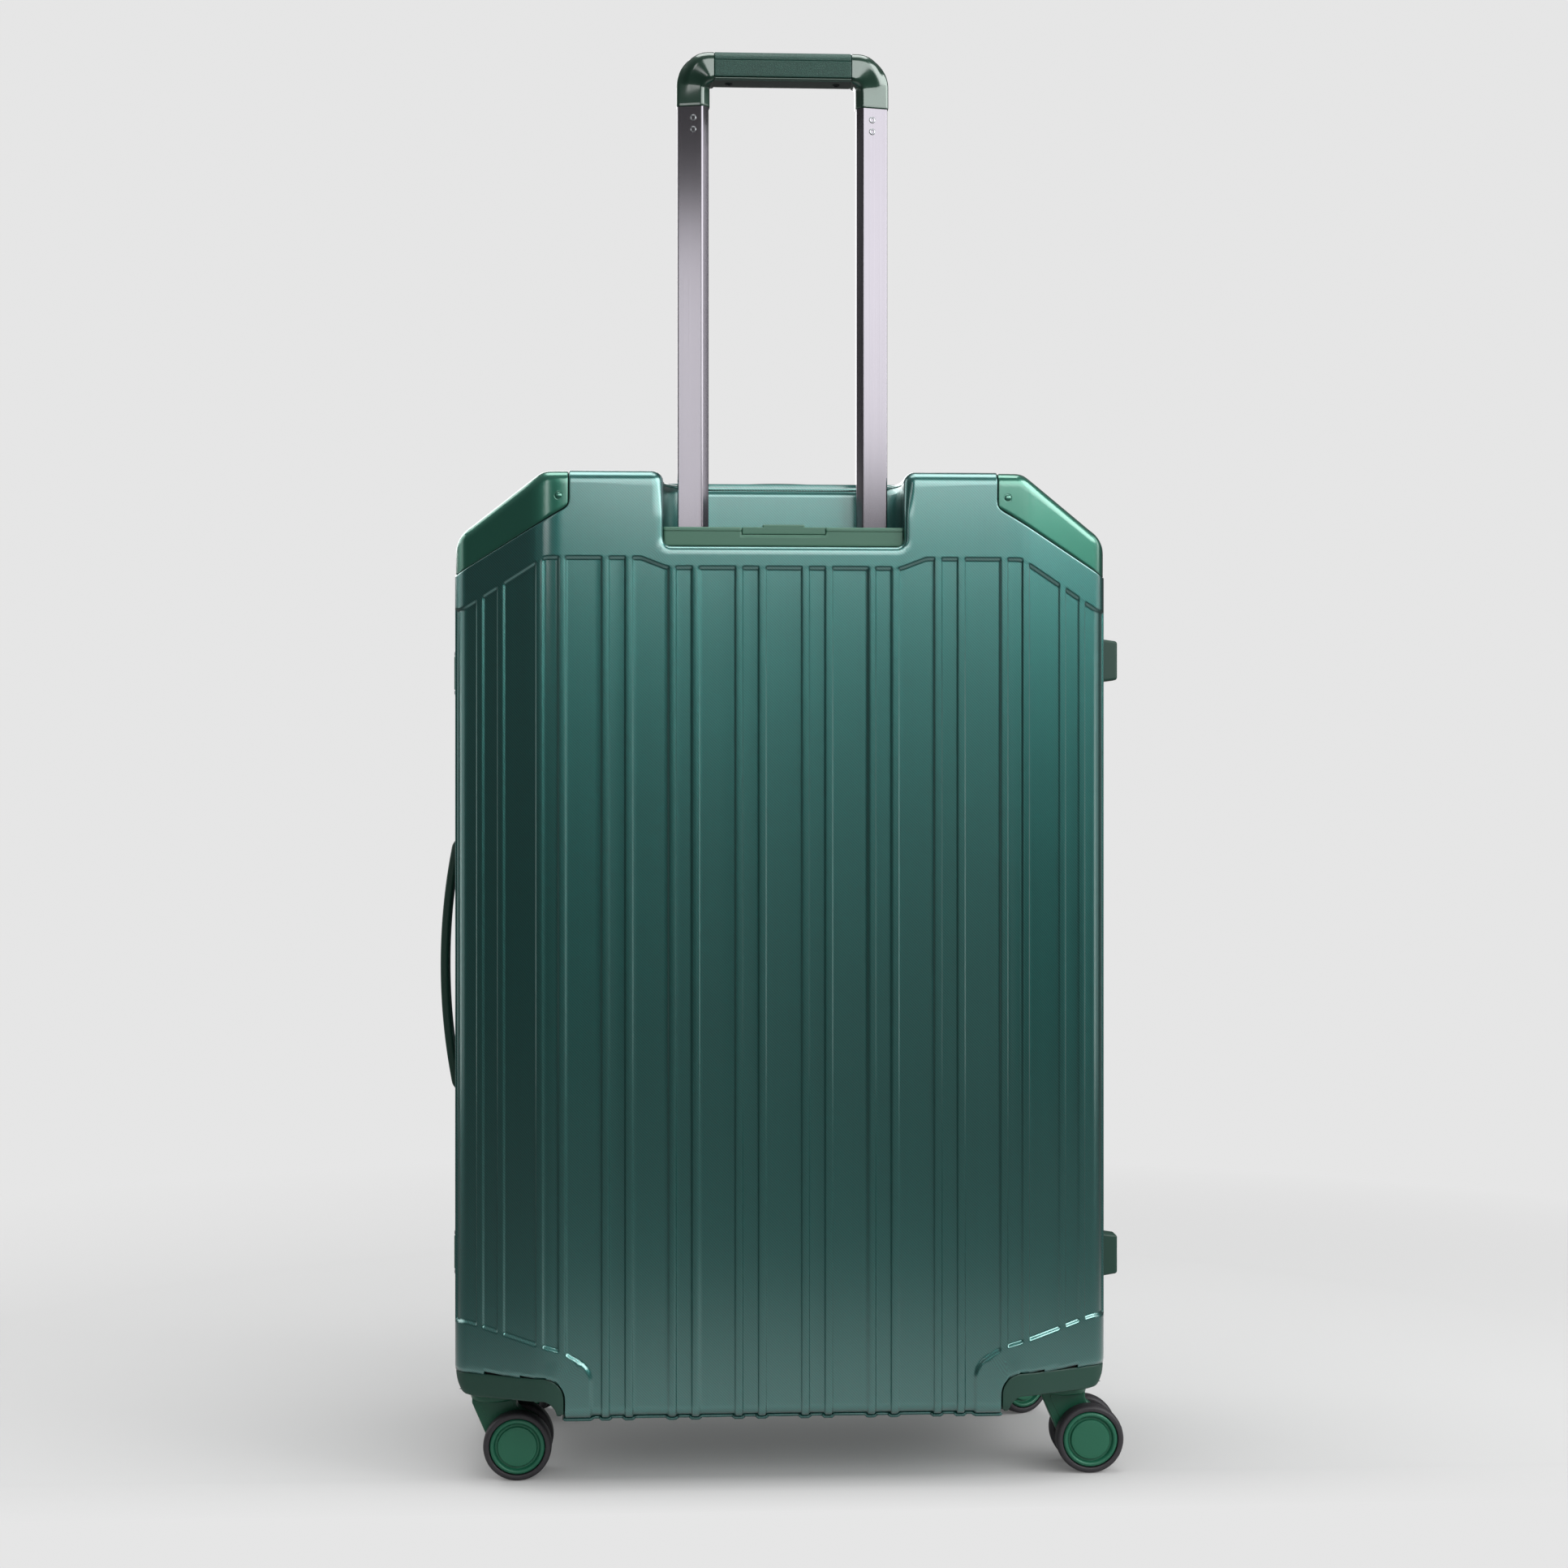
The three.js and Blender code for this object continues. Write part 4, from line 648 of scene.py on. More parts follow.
def onto_body(points, depth, rounds=3):
    """Moves points onto the surface that lies a depth inside the body's own."""
    shape = points.shape
    flat = points.reshape(-1, 3).copy()
    depth = np.broadcast_to(depth, shape[:-1]).reshape(-1)
    step = 0.1
    for _ in range(rounds):
        here = body_distance(flat)
        slope = np.stack([(body_distance(flat + np.eye(3)[k] * step) - here) / step for k in range(3)], axis=1)
        flat -= ((here + depth) / np.maximum((slope ** 2).sum(1), 0.05))[:, None] * slope
    return flat.reshape(shape)


def plan_place(length):
    """Place and outward direction on the plan outline, by the length from the middle of the face."""
    sign = -1 if length < 0 else 1
    length = abs(length)
    turns = [
        (FACE_HALF_WIDTH, -HALF_DEPTH, 0, FACET_ANGLE, FACET_SOFT_RADIUS, FACE_HALF_WIDTH),
        (HALF_WIDTH, FACET_DROP - HALF_DEPTH, FACET_ANGLE, pi / 2, FACET_SIDE_RADIUS,
         FACE_HALF_WIDTH + FACET_LENGTH),
    ]
    for x, y, start, end, radius, at in turns:
        tangent = radius * tan((end - start) / 2)
        if abs(length - at) < tangent:
            angle = start + (end - start) * (length - at + tangent) / (2 * tangent)
            centre_x = x - cos(start) * tangent - sin(start) * radius
            centre_y = y - sin(start) * tangent + cos(start) * radius
            px = centre_x + sin(angle) * radius
            py = centre_y - cos(angle) * radius
            return sign * px, py, sign * sin(angle), -cos(angle)
    if length <= FACE_HALF_WIDTH:
        return sign * length, -HALF_DEPTH, 0, -1
    past = length - FACE_HALF_WIDTH
    if past < FACET_LENGTH:
        x = FACE_HALF_WIDTH + past * cos(FACET_ANGLE)
        y = past * sin(FACET_ANGLE) - HALF_DEPTH
        return sign * x, y, sign * sin(FACET_ANGLE), -cos(FACET_ANGLE)
    return sign * HALF_WIDTH, FACET_DROP - HALF_DEPTH + past - FACET_LENGTH, sign, 0


def side_length(y):
    """Plan length of a place on the side wall."""
    return FACE_HALF_WIDTH + FACET_LENGTH + y - (FACET_DROP - HALF_DEPTH)


# ---------------------------------------------------------------- shell features

RIB_HEIGHT = 1.6
RIB_FLANK = (1.8, 3.4)
RIBS = sorted(45 * (pair + 0.5) + offset for pair in range(7) for offset in (-7.9, 7.9))
STEP_REACH = 1.25
FIELD_LEG = 130
RIM_BAND = -22
GUARD_X, GUARD_Z, GUARD_SIDE_Z, GUARD_CORNER = 145, 665.2, 621, 7
GUARD_SLOPE = (GUARD_Z - GUARD_SIDE_Z) / (HALF_WIDTH - 2 - GUARD_X)
HOUSING_X, HOUSING_TOP, HOUSING_CORNER = 147.8, 77.8, 14
HOUSING_LEG, HOUSING_RIM = 153.6, RAIL_EDGE - 2.9
RECESS_X, RECESS_FLOOR, RECESS_BACK, RECESS_WALL_TOP = 81.3, 639, -90, 684.7
RECESS_RADIUS, RECESS_BACK_RADIUS, SHOULDER_RADIUS, LIP_RADIUS = 5, 34, 8, 4
HANDLE_Y, SIDE_HANDLE_Z = -48, 351
SIDE_PAN_OPENING = (101, 26.5)
PAN_HALF_LENGTH, PAN_HALF_WIDTH, PAN_RADIUS = 98, 24, 10
PAN_EDGE = 1.4
SWIVEL_X, SWIVEL_Y = 198, 87

GUARD_REGION = rounded_outline([
    (GUARD_X, BODY_TOP + 40, 0), (GUARD_X, GUARD_Z, GUARD_CORNER),
    (HALF_WIDTH - 2, GUARD_SIDE_Z, 0), (HALF_WIDTH + 40, GUARD_SIDE_Z, 0), (HALF_WIDTH + 40, BODY_TOP + 40, 0),
])
HOUSING_REGION = rounded_outline([
    (HOUSING_X, 0, 0), (HALF_WIDTH + 40, 0, 0), (HALF_WIDTH + 40, HOUSING_TOP, 0),
    (HOUSING_X, HOUSING_TOP, HOUSING_CORNER),
])
NOTCH = rounded_outline([
    (-RECESS_X, BODY_TOP + 60, 0), (-RECESS_X, RECESS_FLOOR, RECESS_RADIUS), (RECESS_X, RECESS_FLOOR, RECESS_RADIUS),
    (RECESS_X, BODY_TOP + 60, 0),
])
NOTCH_PLAN = rounded_outline([
    (-RECESS_X, -HALF_DEPTH - 60, 0), (RECESS_X, -HALF_DEPTH - 60, 0), (RECESS_X, RECESS_BACK, RECESS_BACK_RADIUS),
    (-RECESS_X, RECESS_BACK, RECESS_BACK_RADIUS),
])


TOP_PAN = rounded_box_outline(PAN_HALF_LENGTH, PAN_HALF_WIDTH, PAN_RADIUS, (0, HANDLE_Y), radians(8))


def top_drop(x, y):
    """How far the top between the recess and the frame lies below the shoulders."""
    shoulder = edge_round(np.abs(x) - RECESS_X, SHOULDER_RADIUS)
    dip = (BODY_TOP - RECESS_WALL_TOP) * smooth_step((RIM_BAND - 2 - y) / 1.8)
    return np.minimum(shoulder, dip)


def field_outline(under_recess):
    """The ribbed field, which lies a rib's height below the border."""
    step = (630.5 - under_recess) * 1.3
    right = [
        (FIELD_LEG, 0, 0), (FIELD_LEG, 84, 16), (150, 96, 12), (HALF_WIDTH - 10, 112, 20), (HALF_WIDTH + 40, 111, 0),
        (HALF_WIDTH + 40, 597, 0), (HALF_WIDTH - 6, 597, 20), (161.5, 630.5, 8),
    ]
    if step:
        right += [(88 + step, 630.5, 6), (88 - step, under_recess, 6)]
    left = [(-x, z, radius) for x, z, radius in reversed(right)]
    return rounded_outline(right + left)


def rib_mask(length):
    """1 on the ribs, 0 between them, by the length along the plan outline."""
    nearest = np.min([np.abs(np.abs(length) - rib) for rib in RIBS], axis=0)
    return 1 - smooth_step((nearest - RIB_FLANK[0]) / (RIB_FLANK[1] - RIB_FLANK[0]))


def edge_round(distance, radius):
    """Depth of a rounded edge at a distance from the line where it ends."""
    near = np.clip(radius - distance, 0, radius)
    return radius - np.sqrt(radius ** 2 - near ** 2)


def round_grid_corner(a, b, centre, radius, reach=10):
    """Bends square grid lines round a corner. Both coordinates grow away from the centre."""
    qa, qb = a - centre[0], b - centre[1]
    size = np.maximum(np.maximum(qa, qb), 1e-6)
    inside = (qa > 0) & (qb > 0)
    angle = np.where(qa >= qb, pi / 4 * qb / size, pi / 2 - pi / 4 * qa / size)
    fade = smooth_step((size - radius - 3) / reach)
    new_a = size * np.cos(angle) * (1 - fade) + qa * fade
    new_b = size * np.sin(angle) * (1 - fade) + qb * fade
    return np.where(inside, new_a + centre[0], a), np.where(inside, new_b + centre[1], b)


def shell_columns():
    flank = np.linspace(*RIB_FLANK, 4)
    flanks = [rib + side * d for rib in RIBS for d in flank for side in (-1, 1)]
    recess = [RECESS_X + d for d in (0, 0.12, 0.6, 1.4, 2.5, 4, 6, 8.2)] + list(np.arange(46, 81, 2.2))
    lines = [FIELD_LEG + d for d in (-2.4, -1.25, -0.6, 0, 0.6, 1.25, 2.4)]
    lines += [side_length(RIM_BAND) + d for d in (-2.4, -1.25, -0.4, 0.4, 1.25, 2.4)]
    lines += [side_length(y) for y in (-7, RAIL_EDGE)]
    lines += [side_length(HANDLE_Y + side * SIDE_PAN_OPENING[1]) for side in (-1, 1)]
    lines += [PAN_HALF_LENGTH + d for d in (-1, 0, 0.1, 0.5, 1, PAN_EDGE)]
    seats = [GUARD_X + d for d in (-1.2, -0.5, -0.2, 0)] + [HOUSING_X + d for d in (-0.5, -0.2, 0, 0.9)]
    fill = list(np.arange(132, 165, 1.5)) + list(np.arange(168, 176, 3)) + list(np.arange(219, 242, 1.8))
    fill += list(np.arange(82, 97, 1.7)) + [0, 33, 45, 56, 180, 260, 275, 310, 330]
    return merged_marks(recess, lines, seats, flanks, fill)


def shell_rows(wide, field, with_recess):
    """Rows of the shell's grid from the frame under the case, up the face and back over its top.

    Each row has a kind, and a value for every column: a depth, a share of an arc or a height.
    """
    # Lines that rows of the face follow: field bottom, field top, then the recess lip or the guard
    right = field[: len(field) // 2]
    low_line = right[(right[:, 1] < 300) & (right[:, 0] >= FIELD_LEG)]
    high_line = right[right[:, 1] > 300][::-1]
    bottom = np.interp(wide, low_line[:, 0], low_line[:, 1])
    bottom = np.maximum(np.where(wide < FIELD_LEG + 0.1, 0, bottom), 85)
    top = np.interp(wide, high_line[:, 0], high_line[:, 1])
    guard = np.clip(GUARD_Z - (wide - GUARD_X) * GUARD_SLOPE, GUARD_SIDE_Z, GUARD_Z)
    lip = np.where(wide < 84, RECESS_FLOOR, RECESS_FLOOR + (guard - RECESS_FLOOR) * smooth_step((wide - 84) / 55))
    if not with_recess:
        lip = guard
    cluster = [-2.8, -1.9, -1.25, -0.62, 0, 0.62, 1.25, 1.9, 2.8]
    edge = cluster[-1]
    low, high = top + edge, lip - LIP_RADIUS
    arcs = [k / 6 for k in range(1, 6)]
    pan_ends = [(SIDE_HANDLE_Z + d * SIDE_PAN_OPENING[0] - bottom[0] - edge) / (top[0] - bottom[0] - 2 * edge)
                for d in (-1, 1)]
    upper = [-134, -131, -127, -122, -116, -112, -109]
    upper += list(np.arange(-106, -90, 2.2)) + [RECESS_BACK + d for d in (0, 0.15, 0.6, 1.3, 2.2, 3.4, 6)]
    upper += [HANDLE_Y - PAN_HALF_WIDTH - d for d in (-1, 0, 0.1, 0.5, 1, PAN_EDGE, 3)]
    upper += [HANDLE_Y + PAN_HALF_WIDTH + d for d in (-1, 0, 0.1, 0.5, 1, PAN_EDGE)]
    upper += [-7, RAIL_EDGE, -28, -33, -38, -58, -63, -68] + [RIM_BAND + d for d in (0.6, 1.8, 2.8)]

    rows = []
    for name, values in (
        ("under", merged_marks([RIM_BAND + d for d in cluster], [-7, RAIL_EDGE, -17, -134], [-45, -75, -105, -125])),
        ("low arc", arcs),
        ("face", [ARC_LOW + (bottom - edge - ARC_LOW) * t for t in np.linspace(0, 1, 19)[:-1]]),
        ("face", [bottom + d for d in cluster]),
        ("face", [bottom + edge + (top - bottom - 2 * edge) * t
                  for t in sorted([*np.linspace(0, 1, 10)[1:-1], *pan_ends])]),
        ("face", [top + d for d in cluster]),
        ("face", [low + (high - low) * t for t in (0.35, 0.7)]),
        ("face", [high + d for d in (0, 1.5, 2.6, 3.4, 3.85, LIP_RADIUS)]),
        ("face", [lip + (ARC_HIGH - lip) * t ** 1.3 for t in np.linspace(0, 1, 18)[1:]]),
        ("high arc", arcs),
        ("top", merged_marks(upper, nearest=0.09)),
    ):
        rows += [(name, np.full(wide.shape, value)) for value in values]
    return rows


def bent_lines(x, y, z, face, flat_top, with_recess):
    """Bends the shell's grid lines round the corners of the seats, the recess and the pan."""
    sign = np.sign(x)
    near_housing = face & (np.abs(x) < 175) & (z < 105)
    a, b = round_grid_corner(-np.abs(x), z, (-(HOUSING_X + HOUSING_CORNER), HOUSING_TOP - HOUSING_CORNER),
                             HOUSING_CORNER)
    x = np.where(near_housing, -a * sign, x)
    z = np.where(near_housing, b, z)
    if with_recess:
        near_lip = face & (np.abs(x) < 110) & (z > 600)
        a, b = round_grid_corner(np.abs(x), -z, (RECESS_X - RECESS_RADIUS, -(RECESS_FLOOR + RECESS_RADIUS)),
                                 RECESS_RADIUS, 6)
        x = np.where(near_lip, a * sign, x)
        z = np.where(near_lip, -b, z)
        near_back = flat_top & (np.abs(x) < 110)
        a, b = round_grid_corner(np.abs(x), y, (RECESS_X - RECESS_BACK_RADIUS, RECESS_BACK - RECESS_BACK_RADIUS),
                                 RECESS_BACK_RADIUS, 6)
        x = np.where(near_back, a * sign, x)
        y = np.where(near_back, b, y)
        for end in (-1, 1):
            near_pan = flat_top & (np.abs(np.abs(x) - PAN_HALF_LENGTH) < 14) & (np.abs(y - HANDLE_Y) < 32)
            a, b = round_grid_corner(np.abs(x), end * (y - HANDLE_Y),
                                     (PAN_HALF_LENGTH - PAN_RADIUS, PAN_HALF_WIDTH - PAN_RADIUS), PAN_RADIUS, 3)
            x = np.where(near_pan, a * sign, x)
            y = np.where(near_pan, HANDLE_Y + end * b, y)
    return x, y, z

def shell_sheet(with_recess):
    """The outer skin of a half, with its border, ribs, seats and, on the back, the mouth of the recess."""
    half = shell_columns()
    length = np.concatenate([-half[::-1], half[1:] if half[0] == 0 else half])
    places = np.array([plan_place(u) for u in length])
    px, py, pnx, pny = places.T
    wide = np.abs(px)
    field = field_outline(624 if with_recess else 630.5)

    rows = shell_rows(wide, field, with_recess)
    quarter = EDGE_RADIUS * pi / 2
    shape = (len(rows), len(length))
    kind = np.array([name for name, _ in rows])
    x = np.tile(px, (shape[0], 1))
    y = np.zeros(shape)
    z = np.zeros(shape)
    normal = np.zeros(shape + (3,))
    along = np.zeros(shape)
    for i, (name, value) in enumerate(rows):
        if name == "face":
            y[i], z[i] = py, value
            normal[i] = np.stack([pnx, pny, 0 * pnx], axis=1)
            along[i] = value
        elif name in ("under", "top"):
            up = 1 if name == "top" else -1
            y[i] = value
            z[i] = BODY_TOP if name == "top" else BODY_BOTTOM
            normal[i] = (0, 0, up)
            along[i] = (ARC_HIGH if up > 0 else ARC_LOW) + up * (quarter + value + HALF_DEPTH - EDGE_RADIUS)
        else:
            up = 1 if name == "high arc" else -1
            angle = value[0] * pi / 2
            if name == "low arc":
                angle = pi / 2 - angle
            y[i] = EDGE_RADIUS - HALF_DEPTH - EDGE_RADIUS * cos(angle)
            z[i] = (ARC_HIGH if up > 0 else ARC_LOW) + up * EDGE_RADIUS * sin(angle)
            normal[i] = (0, -cos(angle), up * sin(angle))
            along[i] = (ARC_HIGH if up > 0 else ARC_LOW) + up * EDGE_RADIUS * angle

    face, flat_top, over, below = (
        np.isin(kind, names)[:, None] & np.ones(shape, bool)
        for names in (["face"], ["top"], ["top", "high arc"], ["under", "low arc"]))
    x, y, z = bent_lines(x, y, z, face, flat_top, with_recess)

    # Depth below the border's surface
    lengths = np.where(wide < 149, x, np.tile(length, (shape[0], 1)))
    inside = -outline_distance(field, x, z)
    inside = np.where(below, np.minimum(FIELD_LEG - np.abs(x), 50), inside)
    in_field = smooth_step((inside + STEP_REACH) / (2 * STEP_REACH))
    rim = np.where(below, y, np.tile(py, (shape[0], 1)))
    in_field = in_field * smooth_step((RIM_BAND + STEP_REACH - rim) / (2 * STEP_REACH))
    in_field = np.where(over, 0, in_field)
    depth = RIB_HEIGHT * in_field * (1 - rib_mask(lengths))

    guard_gap = outline_distance(GUARD_REGION, np.abs(x), np.where(over, BODY_TOP, z))
    housing_gap = outline_distance(HOUSING_REGION, np.abs(x), np.where(below, BODY_BOTTOM, z))
    depth += edge_round(guard_gap, 0.5) + edge_round(housing_gap, 0.5)
    hole = np.minimum(guard_gap, housing_gap)
    if with_recess:
        notch = outline_distance(NOTCH, x, z)
        notch_plan = outline_distance(NOTCH_PLAN, x, y)
        beside = np.abs(x) - RECESS_X
        arc_share = np.clip((z - 660) / 22, 0, 1)
        on_face = edge_round(np.where(face, notch, beside), LIP_RADIUS)
        on_face = on_face * (1 - arc_share) + edge_round(beside, SHOULDER_RADIUS) * arc_share
        shoulder = edge_round(beside, SHOULDER_RADIUS)
        behind = y > RECESS_BACK - RECESS_BACK_RADIUS
        drop = np.where(behind, top_drop(x, y), shoulder)
        drop = drop + np.where(behind, edge_round(notch_plan, 3), 0)
        depth += np.where(face & (notch < LIP_RADIUS + SHOULDER_RADIUS), on_face, 0)
        depth += np.where(flat_top, drop, np.where(over, shoulder, 0))
        mouth = np.where(flat_top, notch_plan, np.where(over, beside, notch))
        pan_gap = outline_distance(TOP_PAN, x, y)
        depth += np.where(flat_top, edge_round(pan_gap, PAN_EDGE), 0)
        wall = np.tile(py, (shape[0], 1))
        side_pan = np.maximum(np.abs(z - SIDE_HANDLE_Z) - SIDE_PAN_OPENING[0],
                              np.abs(wall - HANDLE_Y) - SIDE_PAN_OPENING[1]).round(6)
        hole = np.minimum(hole, np.where(face | over, mouth, 9))
        hole = np.minimum(hole, np.where(flat_top, pan_gap, 9))
        hole = np.minimum(hole, np.where(face & (x < 1 - HALF_WIDTH), side_pan, 9))

    points = np.stack([x, y, z], axis=-1) - normal * depth[..., None]
    bm = grid_of(points)
    wrap = bm.loops.layers.uv.new("wrap")
    count = shape[1]
    lost = []
    for quad in bm.faces:
        spots = [divmod(v.index, count) for v in quad.verts]
        if sum(hole[spot] for spot in spots) < 0:
            lost.append(quad)
            continue
        for loop, spot in zip(quad.loops, spots):
            loop[wrap].uv = (lengths[spot] * MM, along[spot] * MM)
    bmesh.ops.delete(bm, geom=lost, context="FACES")
    lay_edge_on(bm, GUARD_REGION, lambda p: p.y < 3 - HALF_DEPTH and p.z > 640 and 140 < abs(p.x) < 160)
    lay_edge_on(bm, HOUSING_REGION, lambda p: p.y < 3 - HALF_DEPTH and p.z < 90 and 140 < abs(p.x) < 175)
    return bm


def lay_edge_on(bm, outline, where):
    """Moves the open edge of a sheet onto an outline seen from the back."""
    edge = [v for v in bm.verts if v.is_boundary and where(v.co)]
    for vert in edge:
        a, b = np.array([abs(vert.co.x)]), np.array([vert.co.z])
        gap = outline_distance(outline, a, b)[0]
        if abs(gap) < 1.5:
            vert.co.x -= gap * outline_lean(outline, a, b, PROBE)[0] * (1 if vert.co.x > 0 else -1)
            vert.co.z -= gap * outline_lean(outline, a, b, 0, PROBE)[0]


# ---------------------------------------------------------------- pieces that follow the body

def facing_out(bm, middle=(0, 0, 370), side=1):
    """Turns a sheet's faces away from a place, or towards it on the other side."""
    away = sum((f.calc_center_median() - Vector(middle)).dot(f.normal) * f.calc_area() for f in bm.faces)
    if away * side < 0:
        bmesh.ops.reverse_faces(bm, faces=bm.faces)
    return bm


def spaced(total, edge_marks, step):
    """Fractions of a run, close together at both ends and even between them."""
    low = [m / total for m in edge_marks]
    count = max(2, int(total / step))
    middle = np.linspace(low[-1], 1 - low[-1], count)
    return np.array(low[:-1] + list(middle) + [1 - m for m in reversed(low[:-1])])


def sampled(line, fractions):
    """Points along a line of points at fractions of its length."""
    line = np.asarray(line, dtype=float)
    steps = np.sqrt((np.diff(line, axis=0) ** 2).sum(1))
    run = np.concatenate([[0], np.cumsum(steps)])
    return np.stack([np.interp(np.asarray(fractions) * run[-1], run, line[:, k]) for k in range(line.shape[1])], axis=1)


def plan_depth(x):
    """Depth of the plan outline at a distance from the middle."""
    lengths = np.linspace(0, side_length(-60), 400)
    places = np.array([plan_place(u)[:2] for u in lengths])
    return np.interp(x, places[:, 0], places[:, 1])


EDGE_MARKS = (0, 0.2, 0.5, 1.2, 2.4)


def guard_sheet(gap=0.35, sunk=0.6, round_by=1.2):
    """Outer skin of the back right corner guard. A negative gap reaches under the shell."""
    low_z, inner_x = GUARD_SIDE_Z + gap, GUARD_X + gap
    rim = ELEVATION[(ELEVATION[:, 0] >= inner_x) & (ELEVATION[:, 1] > low_z)]
    rim = rim[np.argsort(rim[:, 1])]
    rim = np.vstack([[HALF_WIDTH, low_z], rim, [inner_x, BODY_TOP]])
    rows = spaced(130, EDGE_MARKS, 2.2)
    across = sampled(rim, rows)
    front = sampled([[HALF_WIDTH, low_z], [HALF_WIDTH - 2, low_z], [inner_x, GUARD_Z + gap]], rows)
    columns = spaced(150, EDGE_MARKS, 2.2)
    grid = []
    for (ax, az), (fx, fz) in zip(across, front):
        crease = plan_depth(ax)
        line = [(ax, RAIL_EDGE, az), (ax, crease, az)]
        for t in np.linspace(0, 1, 12)[1:]:
            x, z = ax + (fx - ax) * t, az + (fz - az) * t
            line.append((x, plan_depth(x), z))
        grid.append(sampled(line, columns))
    grid = np.array(grid)

    # The inner lower corner is rounded by moving what lies outside its outline back onto it
    corner = rounded_outline([
        (inner_x, BODY_TOP + 40, 0), (inner_x, GUARD_Z + gap, GUARD_CORNER), (HALF_WIDTH - 2, low_z, 0),
        (HALF_WIDTH + 40, low_z, 0), (HALF_WIDTH + 40, BODY_TOP + 40, 0),
    ])
    x, z = grid[..., 0], grid[..., 2]
    for _ in range(2):
        push = np.maximum(outline_distance(corner, x, z), 0)
        lean_x, lean_z = outline_lean(corner, x, z, PROBE), outline_lean(corner, x, z, 0, PROBE)
        x, z = x - lean_x * push, z - lean_z * push
    grid[..., 0], grid[..., 2] = x, z
    marks = np.array([*EDGE_MARKS, *[9] * max(len(rows), len(columns))])
    edge_rows, edge_columns = (marks[np.minimum(np.arange(n), np.arange(n)[::-1])] for n in (len(rows), len(columns)))
    edge = np.minimum(edge_rows[:, None], edge_columns)
    grid = onto_body(grid, sunk + edge_round(edge, round_by))
    return facing_out(grid_of(grid))


def housing_skirt(gap=0.35, sunk=0.6, round_by=1.0):
    """Outer skin of the back right wheel housing. A negative gap reaches under the shell."""
    inner, top = HOUSING_X + gap, HOUSING_TOP - gap
    rim, leg = HOUSING_RIM, HOUSING_LEG
    lengths = merged_marks([inner, inner + 0.2, inner + 0.6, inner + 1.4, side_length(rim), side_length(rim) - 0.3,
                            side_length(rim) - 0.9], np.arange(inner + 2.6, 172, 1.3), np.arange(175, 218, 5),
                           np.arange(219, 242, 1.8), np.arange(246, side_length(rim), 8))
    places = np.array([plan_place(u) for u in lengths])
    wide = places[:, 0]
    arch = rounded_outline([(leg, 0, 0), (leg, 62, 10), (300, 62, 0)], closed=False)
    arch_low = np.interp(wide, arch[1:-1, 0], arch[1:-1, 1])
    low = np.where(wide < leg, BODY_BOTTOM + 0.4, arch_low)
    low = np.where(wide > leg + 10, 61.8, low)
    rows = np.concatenate([[0, 0.02, 0.06, 0.13], np.linspace(0.2, 0.8, 9), [0.88, 0.95, 0.985, 1]])
    z = low + (top - low) * rows[:, None]
    x = np.tile(wide, (len(rows), 1))
    y = np.tile(places[:, 1], (len(rows), 1))
    a, b = round_grid_corner(-x, z, (-(inner + HOUSING_CORNER), top - HOUSING_CORNER), HOUSING_CORNER, 6)
    near = x < 170
    x = np.where(near, -a, x)
    z = np.where(near, b, z)
    region = rounded_outline([(inner, 0, 0), (400, 0, 0), (400, top, 0), (inner, top, HOUSING_CORNER)])
    edge = np.minimum(-outline_distance(region, x, z), np.abs(z - low) + 0.05)
    edge = np.minimum(edge, np.abs(np.tile(lengths, (len(rows), 1)) - side_length(rim)))
    grid = onto_body(np.stack([x, y, z], axis=-1), sunk + edge_round(np.maximum(edge, 0), round_by))
    return facing_out(grid_of(grid), (190, -80, 70))


def housing_inside():
    """Deck, inner wall and stem boss of the back right wheel housing."""
    inner, rim = HOUSING_X + 0.35, HOUSING_RIM
    bm = new_block(inner + 2, HOUSING_LEG, -134, rim, BODY_BOTTOM + 0.6, 70, 1.2)
    places = [plan_place(u) for u in np.linspace(inner + 1, side_length(rim), 24)]
    line = [(min(x - 3.6 * nx, 216.5 - 0.01 * i), y - 3.6 * ny) for i, (x, y, nx, ny) in enumerate(places)]
    deck = prism(line + [(inner + 1, rim)], 62.4, 65.4, "xy")
    boss = lathed([(0, 61.9), (9.2, 61.9), (9.6, 62.2), (9.6, 74), (0, 74)], 40,
                  matrix=placed(SWIVEL_X, -SWIVEL_Y, 0))
    return joined(bm, deck, boss)


def guard_rivet():
    """Domed rivet in a thin ring at the guard's inner corner."""
    x, z = GUARD_X + 7, GUARD_Z + 7
    dome = [(0, 0.62), (0.8, 0.58), (1.5, 0.42), (2.1, 0.14), (2.45, -0.25), (2.5, -0.8), (0, -0.8)]
    ring = [(2.5, -0.7), (2.75, 0.0), (3.0, 0.06), (3.2, -0.1), (3.3, -0.7), (2.5, -0.7)]
    place = placed(x, 0.65 - HALF_DEPTH, z)
    return joined(lathed(dome, 40, "y", place), lathed(ring, 40, "y", place))


def make_trim():
    for half, side in CORNERS:
        flips = ("x" if side == "left" else "") + FLIP[half]
        body, where = f"{half}_half", f"{half}_{side}"
        finish_piece(f"corner_guard_{where}_skin", guard_sheet(), GUARD_PAINT, body, f"corner_guard_{where}",
                     50, flips, 1.6)
        # Black sheets sunk a little under the edges of the guard and the housing: painted shade, so the gaps round them
        # read as dark lines
        seats = joined(guard_sheet(-2.2, 2.9, 0.3), housing_skirt(-2.2, 2.9, 0.3))
        finish_piece(f"{half}_shell_seats_{side}", seats, SEAL_RUBBER, body, (), 50, flips, 0.8)
        finish_piece(f"corner_guard_{where}_rivet", guard_rivet(), GUARD_PAINT, body, mirror=flips)
        finish_piece(f"wheel_housing_{where}_skirt", housing_skirt(), HOUSING_PLASTIC, body, f"wheel_housing_{where}",
                     50, flips, 2.6)
        finish_piece(f"wheel_housing_{where}_deck", housing_inside(), HOUSING_PLASTIC, body,
                     mirror=flips)


